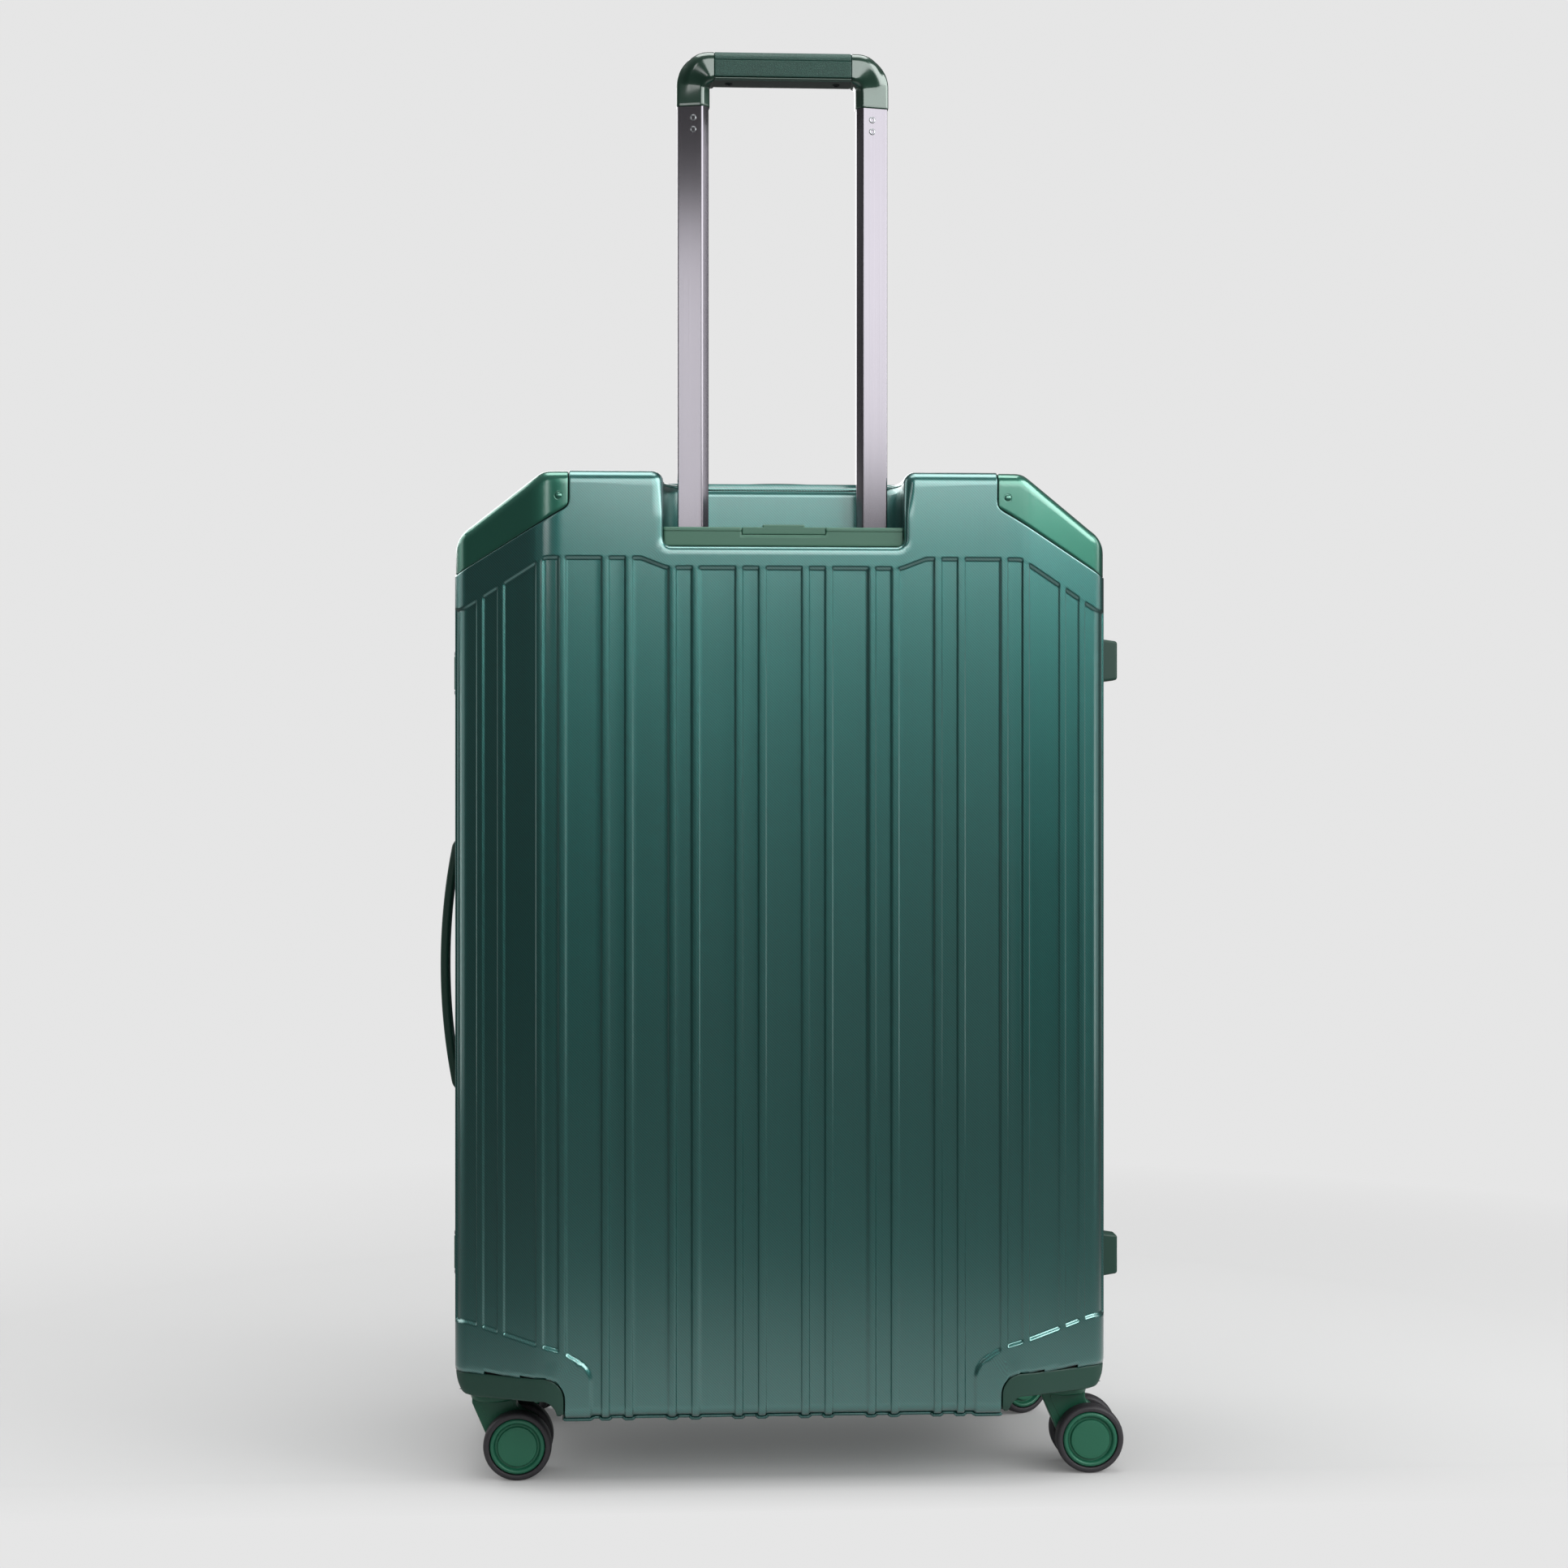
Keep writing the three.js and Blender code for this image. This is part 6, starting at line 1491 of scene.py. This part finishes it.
def make_bezel():
    """Cover round the tubes in the recess, with its own insert."""
    section = [(BEZEL_FRONT + 0.5, BEZEL_LOW), (BEZEL_FRONT + 0.15, BEZEL_LOW + 0.15), (BEZEL_FRONT, BEZEL_LOW + 0.5)]
    section += [(BEZEL_FRONT, z) for z in (640.5, 641.5, 642.8, 644.5, INSERT_LOW - 0.3, 648.3, 648.75)]
    section += [(BEZEL_FRONT + 0.5, 648.95), (BEZEL_FRONT + 0.5, 649.35), (BEZEL_FRONT, 649.55),
                (BEZEL_FRONT, 650.6)]
    section += [(BEZEL_FRONT + 1.4 - 1.4 * cos(a), BEZEL_TOP - 1.4 + 1.4 * sin(a)) for a in np.linspace(0.2, pi / 2, 7)]
    section += [(y, BEZEL_TOP) for y in np.concatenate([
        [-133.5, -131.5], np.arange(-129.5, INSERT_BACK, 0.9), [INSERT_BACK + 0.3], np.arange(-126.7, -108.5, 0.8),
        np.arange(-108, BEZEL_BACK - 0.9, 1.5)])]
    section += [(BEZEL_BACK - 0.5, BEZEL_TOP), (BEZEL_BACK - 0.1, BEZEL_TOP - 0.15), (BEZEL_BACK, BEZEL_TOP - 0.6),
                (BEZEL_BACK, BEZEL_LOW + 2)]
    edge = [BEZEL_HALF - d for d in (0, 0.15, 0.5, 1.2)]
    fine = list(np.arange(47.2, 75.5, 0.8))
    half = merged_marks(edge, [INSERT_HALF + 0.3], fine, np.arange(0, 46, 5), nearest=0.12)
    columns = np.concatenate([-half[::-1], half[1:]])
    grid = []
    for y, z in section:
        limit = BEZEL_HALF
        corner = 642.8 - z
        if corner > 0:
            limit -= 3.5 - (max(3.5 ** 2 - corner ** 2, 0)) ** 0.5
        back = y - (BEZEL_BACK - RECESS_BACK_RADIUS)
        if back > 0:
            limit -= RECESS_BACK_RADIUS - (max(RECESS_BACK_RADIUS ** 2 - back ** 2, 0)) ** 0.5
        squeeze = np.where(np.abs(columns) > 40, 40 + (np.abs(columns) - 40) * (limit - 40) / (BEZEL_HALF - 40),
                           np.abs(columns)) * np.sign(columns)
        round_in = edge_round(limit - np.abs(squeeze), 0.6)
        front = y < BEZEL_FRONT + 1
        grid.append([(x, y + (r if front else 0), z - (0 if front else r)) for x, r in zip(squeeze, round_in)])
    bm = grid_of(grid)
    pocket = [f for f in bm.faces if abs(f.calc_center_median().x) < INSERT_HALF + 0.2
              and f.calc_center_median().z > INSERT_LOW - 0.25 and f.calc_center_median().y < INSERT_BACK + 0.2]
    bmesh.ops.delete(bm, geom=pocket, context="FACES")
    for side in ("left", "right"):
        cut_opening(bm, tube_outline(side, 0.6),
                    lambda p: p.z > BEZEL_TOP - 0.1 and p.y > -130 and 45 < abs(p.x) < 77, 0.8)
    finish_piece("trolley_base_bezel_cover", facing_out(bm, (0, -112, 640)), BEZEL_PLASTIC, "back_half",
                 "trolley_base_bezel", 40, wall=1.8)
    bed = new_block(-INSERT_HALF - 1.5, INSERT_HALF + 1.5, BEZEL_FRONT + 1.6, INSERT_BACK + 2, BEZEL_LOW + 1,
                    INSERT_LOW - 0.4)
    finish_piece("trolley_base_bezel_bed", bed, DARK_PLASTIC, "back_half")

    plate = new_block(-INSERT_HALF + 0.1, INSERT_HALF - 0.1, BEZEL_FRONT, INSERT_BACK, INSERT_LOW, BEZEL_TOP, 0.7, 4)
    tab = new_block(-14.3, 14.3, BEZEL_FRONT + 0.05, BEZEL_FRONT + 6.3, INSERT_LOW + 2.5, 653.8, 0.9, 5)
    finish_piece("trolley_base_insert_tab", joined(plate, tab), BEZEL_PLASTIC, "back_half", "trolley_base_insert",
                 sharp=45)


# ---------------------------------------------------------------- carry handles and their pans

HANDLE_FLOOR, WELL_FLOOR = 675, -8.5
BOW_RADIUS, BOW_CENTRE = 420, 16 - 420
LEG_X = 87
TOP_HANDLE_PLACE = placed(0, HANDLE_Y, HANDLE_FLOOR)
SIDE_HANDLE_PLACE = Matrix(((0, 0, -1, -222), (0, 1, 0, HANDLE_Y), (1, 0, 0, SIDE_HANDLE_Z), (0, 0, 0, 1)))


def bow_line(radius, end, count, y=0):
    """Points on a bow over the pan, from end to end."""
    return [(x, y, BOW_CENTRE + (radius ** 2 - x ** 2) ** 0.5) for x in np.linspace(-end, end, count)]


def handle_strap():
    """A strap bowed over the pan, with legs that run down through it. Its width lies along y."""
    middle = BOW_RADIUS - 2.75
    end = 80.5
    path = bow_line(middle, end, 41)
    slope = -atan2(end, (middle ** 2 - end ** 2) ** 0.5)
    last = path[-1]
    bend = 6.2
    tail = []
    for k in range(1, 9):
        angle = slope + (-pi / 2 - slope) * k / 8
        tail.append((last[0] + bend * (sin(-angle) - sin(-slope)), 0, last[2] - bend * (cos(-slope) - cos(-angle))))
    shift = LEG_X - tail[-1][0]
    path = [(x * (1 + shift / end), 0, z) for x, _, z in path]
    tail = [(x + shift, 0, z) for x, _, z in tail]
    tail += [(LEG_X, 0, z) for z in (-2, -5, -8, -11)]
    path = [(-x, 0, z) for x, _, z in reversed(tail)] + path + tail
    sections = []
    for x, _, z in path:
        leg = float(smooth_step((abs(x) - 76) / 11))
        sections.append(rounded_box_outline(2.75 + 0.25 * leg, 11 - 2 * leg, 2.0, (0, 0), radians(15)))
    strap = swept(path, sections, (0, 1, 0))
    feet = [new_block(s * LEG_X - 6.5, s * LEG_X + 6.5, -9, 9, -13.9, -10.9, 0.6, 3) for s in (-1, 1)]
    bead = rounded_box_outline(0.45, 0.45, 0.4, (0, 0), radians(30))
    ridges = [swept(bow_line(BOW_RADIUS - 0.5, 70, 31, y), [bead] * 31, (0, 0, 1)) for y in (-7.6, 7.6)]
    return joined(strap, *feet, *ridges)


def ringed(rings, centre_height):
    """A sheet through rings of (half length, half width, radius, height), closed in the middle."""
    rows = []
    for half_a, half_b, radius, height in rings:
        outline = rounded_box_outline(half_a, half_b, radius, (0, 0), radians(9))
        level = np.broadcast_to(height, len(outline))
        rows.append([(a, b, z) for (a, b), z in zip(outline, level)])
    rows.append([(0, 0, centre_height)] * len(rows[0]))
    bm = grid_of(rows, wrap_across=True)
    bmesh.ops.remove_doubles(bm, verts=bm.verts, dist=1e-3)
    lay_pattern(bm)
    bmesh.ops.recalc_face_normals(bm, faces=bm.faces)
    return facing_out(bm, (0, 0, -FAR_OFF))


def fillet_rings(half_a, half_b, radius, low, round_by, steps=6):
    """Rings down a hollow rounding onto a floor."""
    return [(half_a - round_by * (1 - cos(a)), half_b - round_by * (1 - cos(a)), radius - round_by * (1 - cos(a)),
             low + round_by * (1 - sin(a))) for a in np.linspace(0, pi / 2, steps)]


def edge_rings(half_a, half_b, radius, high, round_by, steps=5):
    """Rings over a rounded edge into a hollow."""
    return [(half_a + round_by * (1 - sin(a)), half_b + round_by * (1 - sin(a)), radius + round_by * (1 - sin(a)),
             high - round_by * (1 - cos(a))) for a in np.linspace(0, pi / 2, steps)]


def pan_rings():
    """Floor of the pan, and the well below the hand."""
    well = (52, 18, 10)
    return [*edge_rings(*well, 0, 0.9), (*well, -4), *fillet_rings(*well, WELL_FLOOR, 2.5)]


def leg_gland():
    """Collar round a handle leg where it enters the pan, with a dark mouth."""
    rows = []
    for half_a, half_b, radius, z in ((6, 12, 2.5, -0.3), (6, 12, 2.5, 0.45), (5.7, 11.7, 2.2, 0.75),
                                      (4.1, 10.1, 1.6, 0.75), (3.8, 9.8, 1.3, 0.5), (3.6, 9.6, 1.2, -1.2)):
        rows.append([(a, b, z) for a, b in rounded_box_outline(half_a, half_b, radius, (0, 0), radians(15))])
    return grid_of(rows, wrap_across=True, wrap_along=True)


def make_handles():
    pan = (PAN_HALF_LENGTH, PAN_HALF_WIDTH, PAN_RADIUS)
    outline = rounded_box_outline(*pan, (0, 0), radians(9))
    rim = BODY_TOP - top_drop(outline[:, 0], outline[:, 1] + HANDLE_Y) - PAN_EDGE - HANDLE_FLOOR
    top_rings = [(*pan, rim), (*pan, 6), *fillet_rings(*pan, 0, 3)]
    side_rings = [(105, 31, 17, 0), (105, 31, 17, 1.3), (104.8, 30.8, 16.8, 1.8), (104.3, 30.3, 16.3, 2.1)]
    side_rings += [*edge_rings(*pan, 2.1, 1.2), *fillet_rings(*pan, 0, 0.8, 4)]
    for where, place, rings in (("top", TOP_HANDLE_PLACE, top_rings), ("side", SIDE_HANDLE_PLACE, side_rings)):
        finish_piece(f"{where}_handle_pan", moved(ringed(rings + pan_rings(), WELL_FLOOR), place), SHELL_SHEET,
                     "back_half", (), 40, wall=2.0)
        legs = [place @ placed(side * LEG_X, 0, 0) for side in (-1, 1)]
        glands = joined(*[moved(leg_gland(), leg) for leg in legs])
        finish_piece(f"{where}_handle_glands", glands, DARK_PLASTIC, "back_half", sharp=40)
        # Black blocks in the collars round the legs: painted shade for the holes that the legs go down into
        leg_hole_shades = joined(*[moved(new_block(-3.7, 3.7, -9.7, 9.7, -0.9, 0.05), leg) for leg in legs])
        finish_piece(f"{where}_handle_leg_hole_shades", leg_hole_shades, SEAL_RUBBER, "back_half")
        finish_piece(f"{where}_handle_strap", moved(handle_strap(), place), HANDLE_PLASTIC, f"{where}_handle",
                     f"{where}_handle", 45)


# ---------------------------------------------------------------- linings, divider and packing straps

LINING_INSET, LINING_ROUND, LINING_EDGE = 5.2, 8, 13.3
INSIDE_MIDDLE = (0, -40, 370)
PLAN_INSIDE = offset_outline(PLAN, -LINING_INSET)
PLAN_INSIDE = PLAN_INSIDE[PLAN_INSIDE[:, 1] < 0]


def plan_inside(x):
    """Depth of the inner face at a distance across the case."""
    return np.interp(x, PLAN_INSIDE[:, 0], PLAN_INSIDE[:, 1])


def evenly(outline, count):
    """Points round a symmetrical outline, evenly spaced from the middle of its bottom."""
    low, high = outline[:, 1].min(), outline[:, 1].max()
    right = sampled([(0, low), *outline[outline[:, 0] > 0], (0, high)], np.linspace(0, 1, count // 2 + 1))
    return np.vstack([right, right[-2:0:-1] * (-1, 1)])


def shrunk_rings(outline, low, high, count):
    """Rings from an outline in to an upright seam in its middle."""
    core = np.stack([outline[:, 0] * 0, np.clip(outline[:, 1], low, high)], axis=1)
    return [outline * (1 - share) + core * share for share in np.linspace(0, 1, count)]


def fabric_sheet(rings):
    """Cloth laid through closed rings of points, with its weave in line with the piece."""
    bm = grid_of(rings, wrap_across=True)
    bmesh.ops.remove_doubles(bm, verts=bm.verts, dist=0.05)
    bm.normal_update()
    facing_out(bm, INSIDE_MIDDLE, -1)
    bm.normal_update()
    lay_pattern(bm)
    return bm


def lay_pattern(bm):
    """Pattern coordinates in metres, seen along each face's main direction."""
    wrap = bm.loops.layers.uv.new("wrap")
    for face in bm.faces:
        away = [abs(part) for part in face.normal]
        a, b = {0: (1, 2), 1: (0, 2), 2: (0, 1)}[away.index(max(away))]
        for loop in face.loops:
            loop[wrap].uv = (loop.vert.co[a] * MM, loop.vert.co[b] * MM)


def lining(with_trolley):
    """Fabric skin that lies against the shell and over what reaches inside it."""
    wall = evenly(offset_outline(ELEVATION, -LINING_INSET), 340)
    ahead = unit(np.roll(wall, -1, axis=0) - np.roll(wall, 1, axis=0))
    inward = np.stack([-ahead[:, 1], ahead[:, 0]], axis=1)
    deepest = plan_inside(wall[:, 0])
    rings = []
    for y in [-LINING_EDGE, -14.2, -15.6, -17.4, -19.4, -22, -26, *np.arange(-32, -134, -6)]:
        rings.append(np.stack([wall[:, 0], np.maximum(y, deepest + LINING_ROUND), wall[:, 1]], axis=1))
    for angle in np.linspace(0, pi / 2, 6)[1:]:
        inner = wall + inward * (LINING_ROUND * (1 - cos(angle)))
        rings.append(np.stack([inner[:, 0], plan_inside(inner[:, 0]) + LINING_ROUND * (1 - sin(angle)), inner[:, 1]],
                              axis=1))
    for inner in shrunk_rings(wall + inward * LINING_ROUND, 240, 500, 36)[1:]:
        rings.append(np.stack([inner[:, 0], plan_inside(inner[:, 0]), inner[:, 1]], axis=1))
    rings = np.array(rings)
    x, y, z = rings[..., 0], rings[..., 1], rings[..., 2]
    across, behind_frame = np.abs(x), smooth_step((-y - 13.6) / 5.5)
    corner = smooth_step((across - 124) / 14) * smooth_step((-y - 13.6) / 8)
    z[:] = np.maximum(z, 55.2 + 21.5 * corner)
    if with_trolley:
        hump = (1 - smooth_step((across - 79) / 14)) * smooth_step((z - 234) / 18)
        tub = (1 - smooth_step((across - 88) / 9)) * smooth_step((z - 616) / 14)
        y[:] = np.maximum(y, np.maximum(-136.8 + 31.6 * hump, -136.8 + 52.4 * tub))
        under_handle = (1 - smooth_step((across - 104) / 12)) * behind_frame
        z[:] = np.minimum(z, 684.8 - 25.4 * under_handle)
        beside = (1 - smooth_step((np.abs(z - SIDE_HANDLE_Z) - 108) / 12)) * behind_frame
        beside = beside * (1 - smooth_step((-y - 84) / 12))
        x[:] = np.maximum(x, -218.8 + 12.4 * beside)
    bm = fabric_sheet(rings)
    for vert in bm.verts:
        if vert.co.y > -16:
            continue
        a, b, c = vert.co
        ripple = 0.5 + 0.28 * sin(a / 31 + b / 23) * sin(c / 47 - a / 90) + 0.22 * sin(c / 19 + b / 13 + a / 60)
        vert.co += vert.normal * (1.1 * ripple * min(1, (-b - 16) / 10))
        vert.co.y = max(vert.co.y, -136.8)
    return bm


def frame_band(low, high, near, far, round_by=0.3):
    """A flat band that runs round the inside of a half between two insets and two depths."""
    section = rounded_outline([(low, far, round_by), (high, far, round_by), (high, near, round_by),
                               (low, near, round_by)], radians(30))
    return frame_ring([(inset, -depth) for inset, depth in section])


def divider_panel():
    """Zipped panel over the front half, taut at the zip and slack in the middle."""
    outline = evenly(offset_outline(ELEVATION, -13), 220)
    rings = []
    for ring in shrunk_rings(outline, 240, 500, 34):
        x, z = ring.T
        inside = np.clip(-outline_distance(ELEVATION, x, z) - 13, 0, 400)
        wave = 0.7 * np.sin(x / 41 + z / 67) * np.sin(z / 38) * smooth_step(inside / 40)
        rings.append(np.stack([x, -16.4 - (4.2 * smooth_step(inside / 120) + wave), z], axis=1))
    return fabric_sheet(rings)


def divider_pocket():
    """Gusseted pocket on the divider, open along its elastic top."""
    half, low, high = 150, 120, 452
    z, x = np.meshgrid(np.linspace(low, high, 44), np.linspace(-half, half, 56), indexing="ij")
    slack = smooth_step(np.minimum(half - np.abs(x), z - low) / 26) * (1 - 0.45 * smooth_step((z - 410) / 42))
    y = -15.5 + 3.6 * slack + 0.35 * np.sin(x / 17 + z / 29) * slack
    bm = facing_out(grid_of(np.stack([x, y, z], axis=-1)), (0, -FAR_OFF, 0))
    lay_pattern(bm)
    return bm


def strap_run(start, end, depth, sag, width=38, thick=1.5):
    """Flat webbing between two places on the side walls, cut upright at both ends."""
    lean = cos(atan2(end[1] - start[1], end[0] - start[0]))
    section = rounded_box_outline(width / 2 / lean, thick / 2, 0.5, (0, 0), radians(30))
    rows = []
    for share in np.linspace(0, 1, 33):
        x, z = (start[k] * (1 - share) + end[k] * share for k in (0, 1))
        y = depth - sag * 4 * share * (1 - share)
        rows.append([(x, y + deep, z + up) for up, deep in section])
    bm = grid_of(rows, wrap_across=True, cap=True)
    wrap = bm.loops.layers.uv.new("wrap")
    run = Vector((end[0] - start[0], 0, end[1] - start[1])).normalized()
    side = run.cross(Vector((0, 1, 0)))
    for face in bm.faces:
        for loop in face.loops:
            loop[wrap].uv = (loop.vert.co.dot(side) * MM, loop.vert.co.dot(run) * MM)
    return bm


def make_linings():
    for half, flip in FLIP.items():
        skin = finish_piece(f"{half}_lining_skin", lining(half == "back"), LINING, f"{half}_half", sharp=70,
                            mirror=flip, wall=0.8)
        piping = frame_ring([(6.9 + 1.25 * cos(a), -14.3 + 1.25 * sin(a)) for a in np.linspace(0, 2 * pi, 13)[:-1]])
        finish_piece(f"{half}_lining_piping", piping, DARK_PLASTIC, f"{half}_half", mirror=flip)

    panel = finish_piece("divider_panel_cloth", divider_panel(), MESH_CLOTH, "front_half", sharp=70, mirror="y",
                         wall=0.9)
    tape = frame_band(7.2, 19, 15.0, 16.0)
    teeth = frame_band(12.3, 14.9, 14.3, 15.1)
    finish_piece("divider_zip_tape", tape, DARK_PLASTIC, "front_half", mirror="y")
    finish_piece("divider_zip_teeth", teeth, SEAL_RUBBER, "front_half", mirror="y")
    slider = new_block(-4.5, 4.5, -15.2, -11.6, 671.6, 681, 1.0, 3)
    pull = new_block(-3.2, 3.2, -12.4, -11.2, 646, 676, 0.5, 3)
    finish_piece("divider_zip_slider", joined(slider, pull), STEEL, "front_half", mirror="y")
    pocket = finish_piece("divider_pocket_cloth", divider_pocket(), MESH_CLOTH, "front_half", sharp=70, mirror="y",
                          wall=0.7)
    hem = new_block(-150.5, 150.5, -15.9, -12.4, 447, 455, 0.9, 3)
    hem_piece = finish_piece("divider_pocket_hem", hem, DARK_PLASTIC, "front_half", mirror="y")

    runs = [((-209, 160), (209, 558), -24.0), ((-209, 558), (209, 160), -26.6)]
    straps, loops, sliders = [], [], []
    for start, end, depth in runs:
        straps.append(strap_run(start, end, depth, 0.6))
        lean = atan2(end[1] - start[1], end[0] - start[0])
        place = placed((start[0] + end[0]) / 2, 0, (start[1] + end[1]) / 2) @ turned(y=-degrees(lean))
        for x, z in (start, end):
            loops.append(new_block(*sorted((x * 0.975, x * 1.038)), depth - 2.6, depth + 2.6, z - 29, z + 29, 1.4, 3))
        for side in (-1, 1):
            block = new_block(-9, 9, depth - 2.2, depth + 2.4, -21.5, 21.5, 1.6, 3)
            sliders.append(moved(block, place @ placed(side * 214, 0, 0)))
    finish_piece("packing_strap_webbing", joined(*straps), WEBBING, "back_half", sharp=50)
    finish_piece("packing_strap_loops", joined(*loops), DARK_PLASTIC, "back_half")
    finish_piece("packing_strap_adjusters", joined(*sliders), DARK_PLASTIC, "back_half")
    plate = prism(rounded_box_outline(34, 26, 9, (0, 359)), -29.4, -21.4, "xz", 1.8, 4)
    latch = prism(rounded_box_outline(15, 11, 5, (0, 359)), -22, -20, "xz", 0.8, 3)
    finish_piece("packing_strap_buckle", joined(plate, latch), DARK_PLASTIC, "back_half")


# ---------------------------------------------------------------- stage, light and camera

BACKDROP = 0.79
ROOM, ROOM_ABOVE = 0.07, 0.26
AMBIENT = 0.55


def make_stage():
    bm = bmesh.new()
    bmesh.ops.create_grid(bm, x_segments=1, y_segments=1, size=14)
    mesh = bpy.data.meshes.new("floor")
    bm.to_mesh(mesh)
    bm.free()
    floor = bpy.data.objects.new("floor", mesh)
    bpy.context.scene.collection.objects.link(floor)
    mesh.materials.append(floor_material())

    world = bpy.data.worlds.new("studio")
    bpy.context.scene.world = world
    world.use_nodes = True
    tree = world.node_tree
    background = tree.nodes["Background"]
    path = add_node(tree, "ShaderNodeLightPath")
    split = add_node(tree, "ShaderNodeSeparateXYZ")
    tree.links.new(add_node(tree, "ShaderNodeTexCoord").outputs["Generated"], split.inputs[0])
    mirrored = ramp(tree, split.outputs[2], 0.1, 0.8, ROOM, ROOM_ABOVE)
    brighter = math(tree, "SUBTRACT", mirrored, AMBIENT)
    level = math(tree, "MULTIPLY_ADD", path.outputs["Is Glossy Ray"], brighter, AMBIENT)
    seen = math(tree, "MAXIMUM", path.outputs["Is Camera Ray"], path.outputs["Is Transmission Ray"])
    strength = math(tree, "MULTIPLY_ADD", seen, math(tree, "SUBTRACT", BACKDROP, level), level)
    tree.links.new(strength, background.inputs["Strength"])
    background.inputs["Color"].default_value = (1, 1, 1, 1)


def floor_material():
    """Pale floor that keeps the shadow near the case and turns into the backdrop farther out.

    In reflections it is pale beside the case and dark farther in front and behind.
    """
    material = bpy.data.materials.new("pale studio floor")
    material.use_nodes = True
    tree = material.node_tree
    shader = tree.nodes["Principled BSDF"]
    path = add_node(tree, "ShaderNodeLightPath")
    tone = add_node(tree, "ShaderNodeCombineColor")
    beside = add_node(tree, "ShaderNodeVectorMath", operation="DISTANCE")
    beside.inputs[1].default_value = (0.1, 0, 0)
    tree.links.new(stretched(tree, object_place(tree), (1, 0.9, 0)), beside.inputs[0])
    mirrored = ramp(tree, beside.outputs["Value"], 0.25, 0.85, 0.5, 0.08)
    pale = ramp(tree, path.outputs["Is Camera Ray"], 0, 1, mirrored, 0.44)
    for socket in tone.inputs:
        if socket.enabled:
            tree.links.new(pale, socket)
    tree.links.new(tone.outputs[0], shader.inputs["Base Color"])
    shader.inputs["Roughness"].default_value = 0.9
    shader.inputs["Specular IOR Level"].default_value = 0.1
    # To the camera the floor also glows faintly: painted fill light that lifts the shadow under the case
    shader.inputs["Emission Color"].default_value = (1, 1, 1, 1)
    tree.links.new(math(tree, "MULTIPLY", path.outputs["Is Camera Ray"], 0.085), shader.inputs["Emission Strength"])
    flat = add_node(tree, "ShaderNodeEmission")
    flat.inputs["Color"].default_value = (1, 1, 1, 1)
    flat.inputs["Strength"].default_value = BACKDROP
    away = add_node(tree, "ShaderNodeVectorMath", operation="LENGTH")
    tree.links.new(object_place(tree), away.inputs[0])
    place = add_node(tree, "ShaderNodeSeparateXYZ")
    tree.links.new(object_place(tree), place.inputs[0])
    behind = ramp(tree, place.outputs[1], -0.19, -0.1, 1, 0)
    far = math(tree, "MAXIMUM", ramp(tree, away.outputs["Value"], 0.8, 1.4), behind)
    far = math(tree, "MULTIPLY", far, path.outputs["Is Camera Ray"])
    mix = add_node(tree, "ShaderNodeMixShader")
    wire(tree, mix.inputs[0], far)
    tree.links.new(shader.outputs[0], mix.inputs[1])
    tree.links.new(flat.outputs[0], mix.inputs[2])
    tree.links.new(mix.outputs[0], tree.nodes["Material Output"].inputs["Surface"])
    return material


# Name, place, what it is aimed at, width, height and power
LAMPS = [
    ("key softbox", (1.75, -0.95, 1.5), (0, 0, 0.8), 1.2, 1.2, 25),
    ("low side strip", (1.93, -0.52, 0.35), (0, 0, 0.3), 0.3, 0.6, 0.8),
    ("right side softbox", (2.0, 0.0, 1.2), (0, 0, 0.8), 0.5, 0.8, 2.8),
    ("left side softbox", (-2.0, 0.0, 1.2), (0, 0, 0.8), 0.5, 0.8, 1.1),
    ("front fill", (0.5, -2.3, 0.45), (0, 0, 0.4), 1.2, 0.9, 0.3),
    ("side reflector", (2.0, -0.1, 0.5), (0, 0, 0.45), 1.0, 0.9, 1.2),
    ("high softbox", (0.76, -2.17, 1.48), (0, 0, 0.7), 2.3, 1.1, 28),
    ("overhead softbox", (0, -0.1, 2.4), (0, 0, 0.4), 1.6, 1.2, 24),
    ("left strip", (-0.92, -1.93, 1.06), (0, 0, 0.9), 0.18, 0.5, 1.0),
    ("rear key softbox", (-1.75, 0.95, 1.5), (0, 0, 0.8), 1.5, 1.3, 13),
    ("rear low strip", (-1.93, 0.52, 0.35), (0, 0, 0.3), 0.3, 0.6, 0.8),
    ("rear reflector", (-2.0, 0.1, 0.5), (0, 0, 0.45), 1.0, 0.9, 1.2),
    ("rear high softbox", (-0.76, 2.17, 1.48), (0, 0, 0.7), 2.4, 1.3, 23),
]


def make_lights():
    for name, place, aim, width, height, power in LAMPS:
        data = bpy.data.lights.new(name, "AREA")
        data.shape = "RECTANGLE"
        data.size, data.size_y, data.energy = width, height, power
        lamp = bpy.data.objects.new(name, data)
        lamp.visible_camera = False
        lamp.location = place
        lamp.rotation_euler = (Vector(aim) - Vector(place)).to_track_quat("-Z", "Y").to_euler()
        bpy.context.scene.collection.objects.link(lamp)


def make_camera():
    data = bpy.data.cameras.new("camera")
    data.lens = 57.8
    data.sensor_width = 36
    data.clip_start = 0.05
    data.clip_end = 60
    camera = bpy.data.objects.new("camera", data)
    camera.location = (-0.0846, -1.8401, 0.4781)
    camera.rotation_euler = (radians(90), 0, radians(-2.85))
    bpy.context.scene.collection.objects.link(camera)
    bpy.context.scene.camera = camera


# ---------------------------------------------------------------- build

def make_shells():
    for half, flip in FLIP.items():
        bm = shell_sheet(half == "back")
        bmesh.ops.recalc_face_normals(bm, faces=bm.faces)
        finish_piece(f"{half}_shell_skin", facing_out(bm), SHELL_SHEET, f"{half}_half", f"{half}_shell", 50,
                     flip, 2.6)
    finish_piece("back_shell_recess_cup", recess_cup(), SHELL_SHEET, "back_half", (), 45, wall=2.6)


bpy.context.scene.view_settings.view_transform = "Standard"
make_camera()
make_shells()
make_trim()
make_frame()
make_latches()
make_hinges()
make_feet()
make_casters()
make_trolley()
make_bezel()
make_handles()
make_linings()
make_stage()
make_lights()
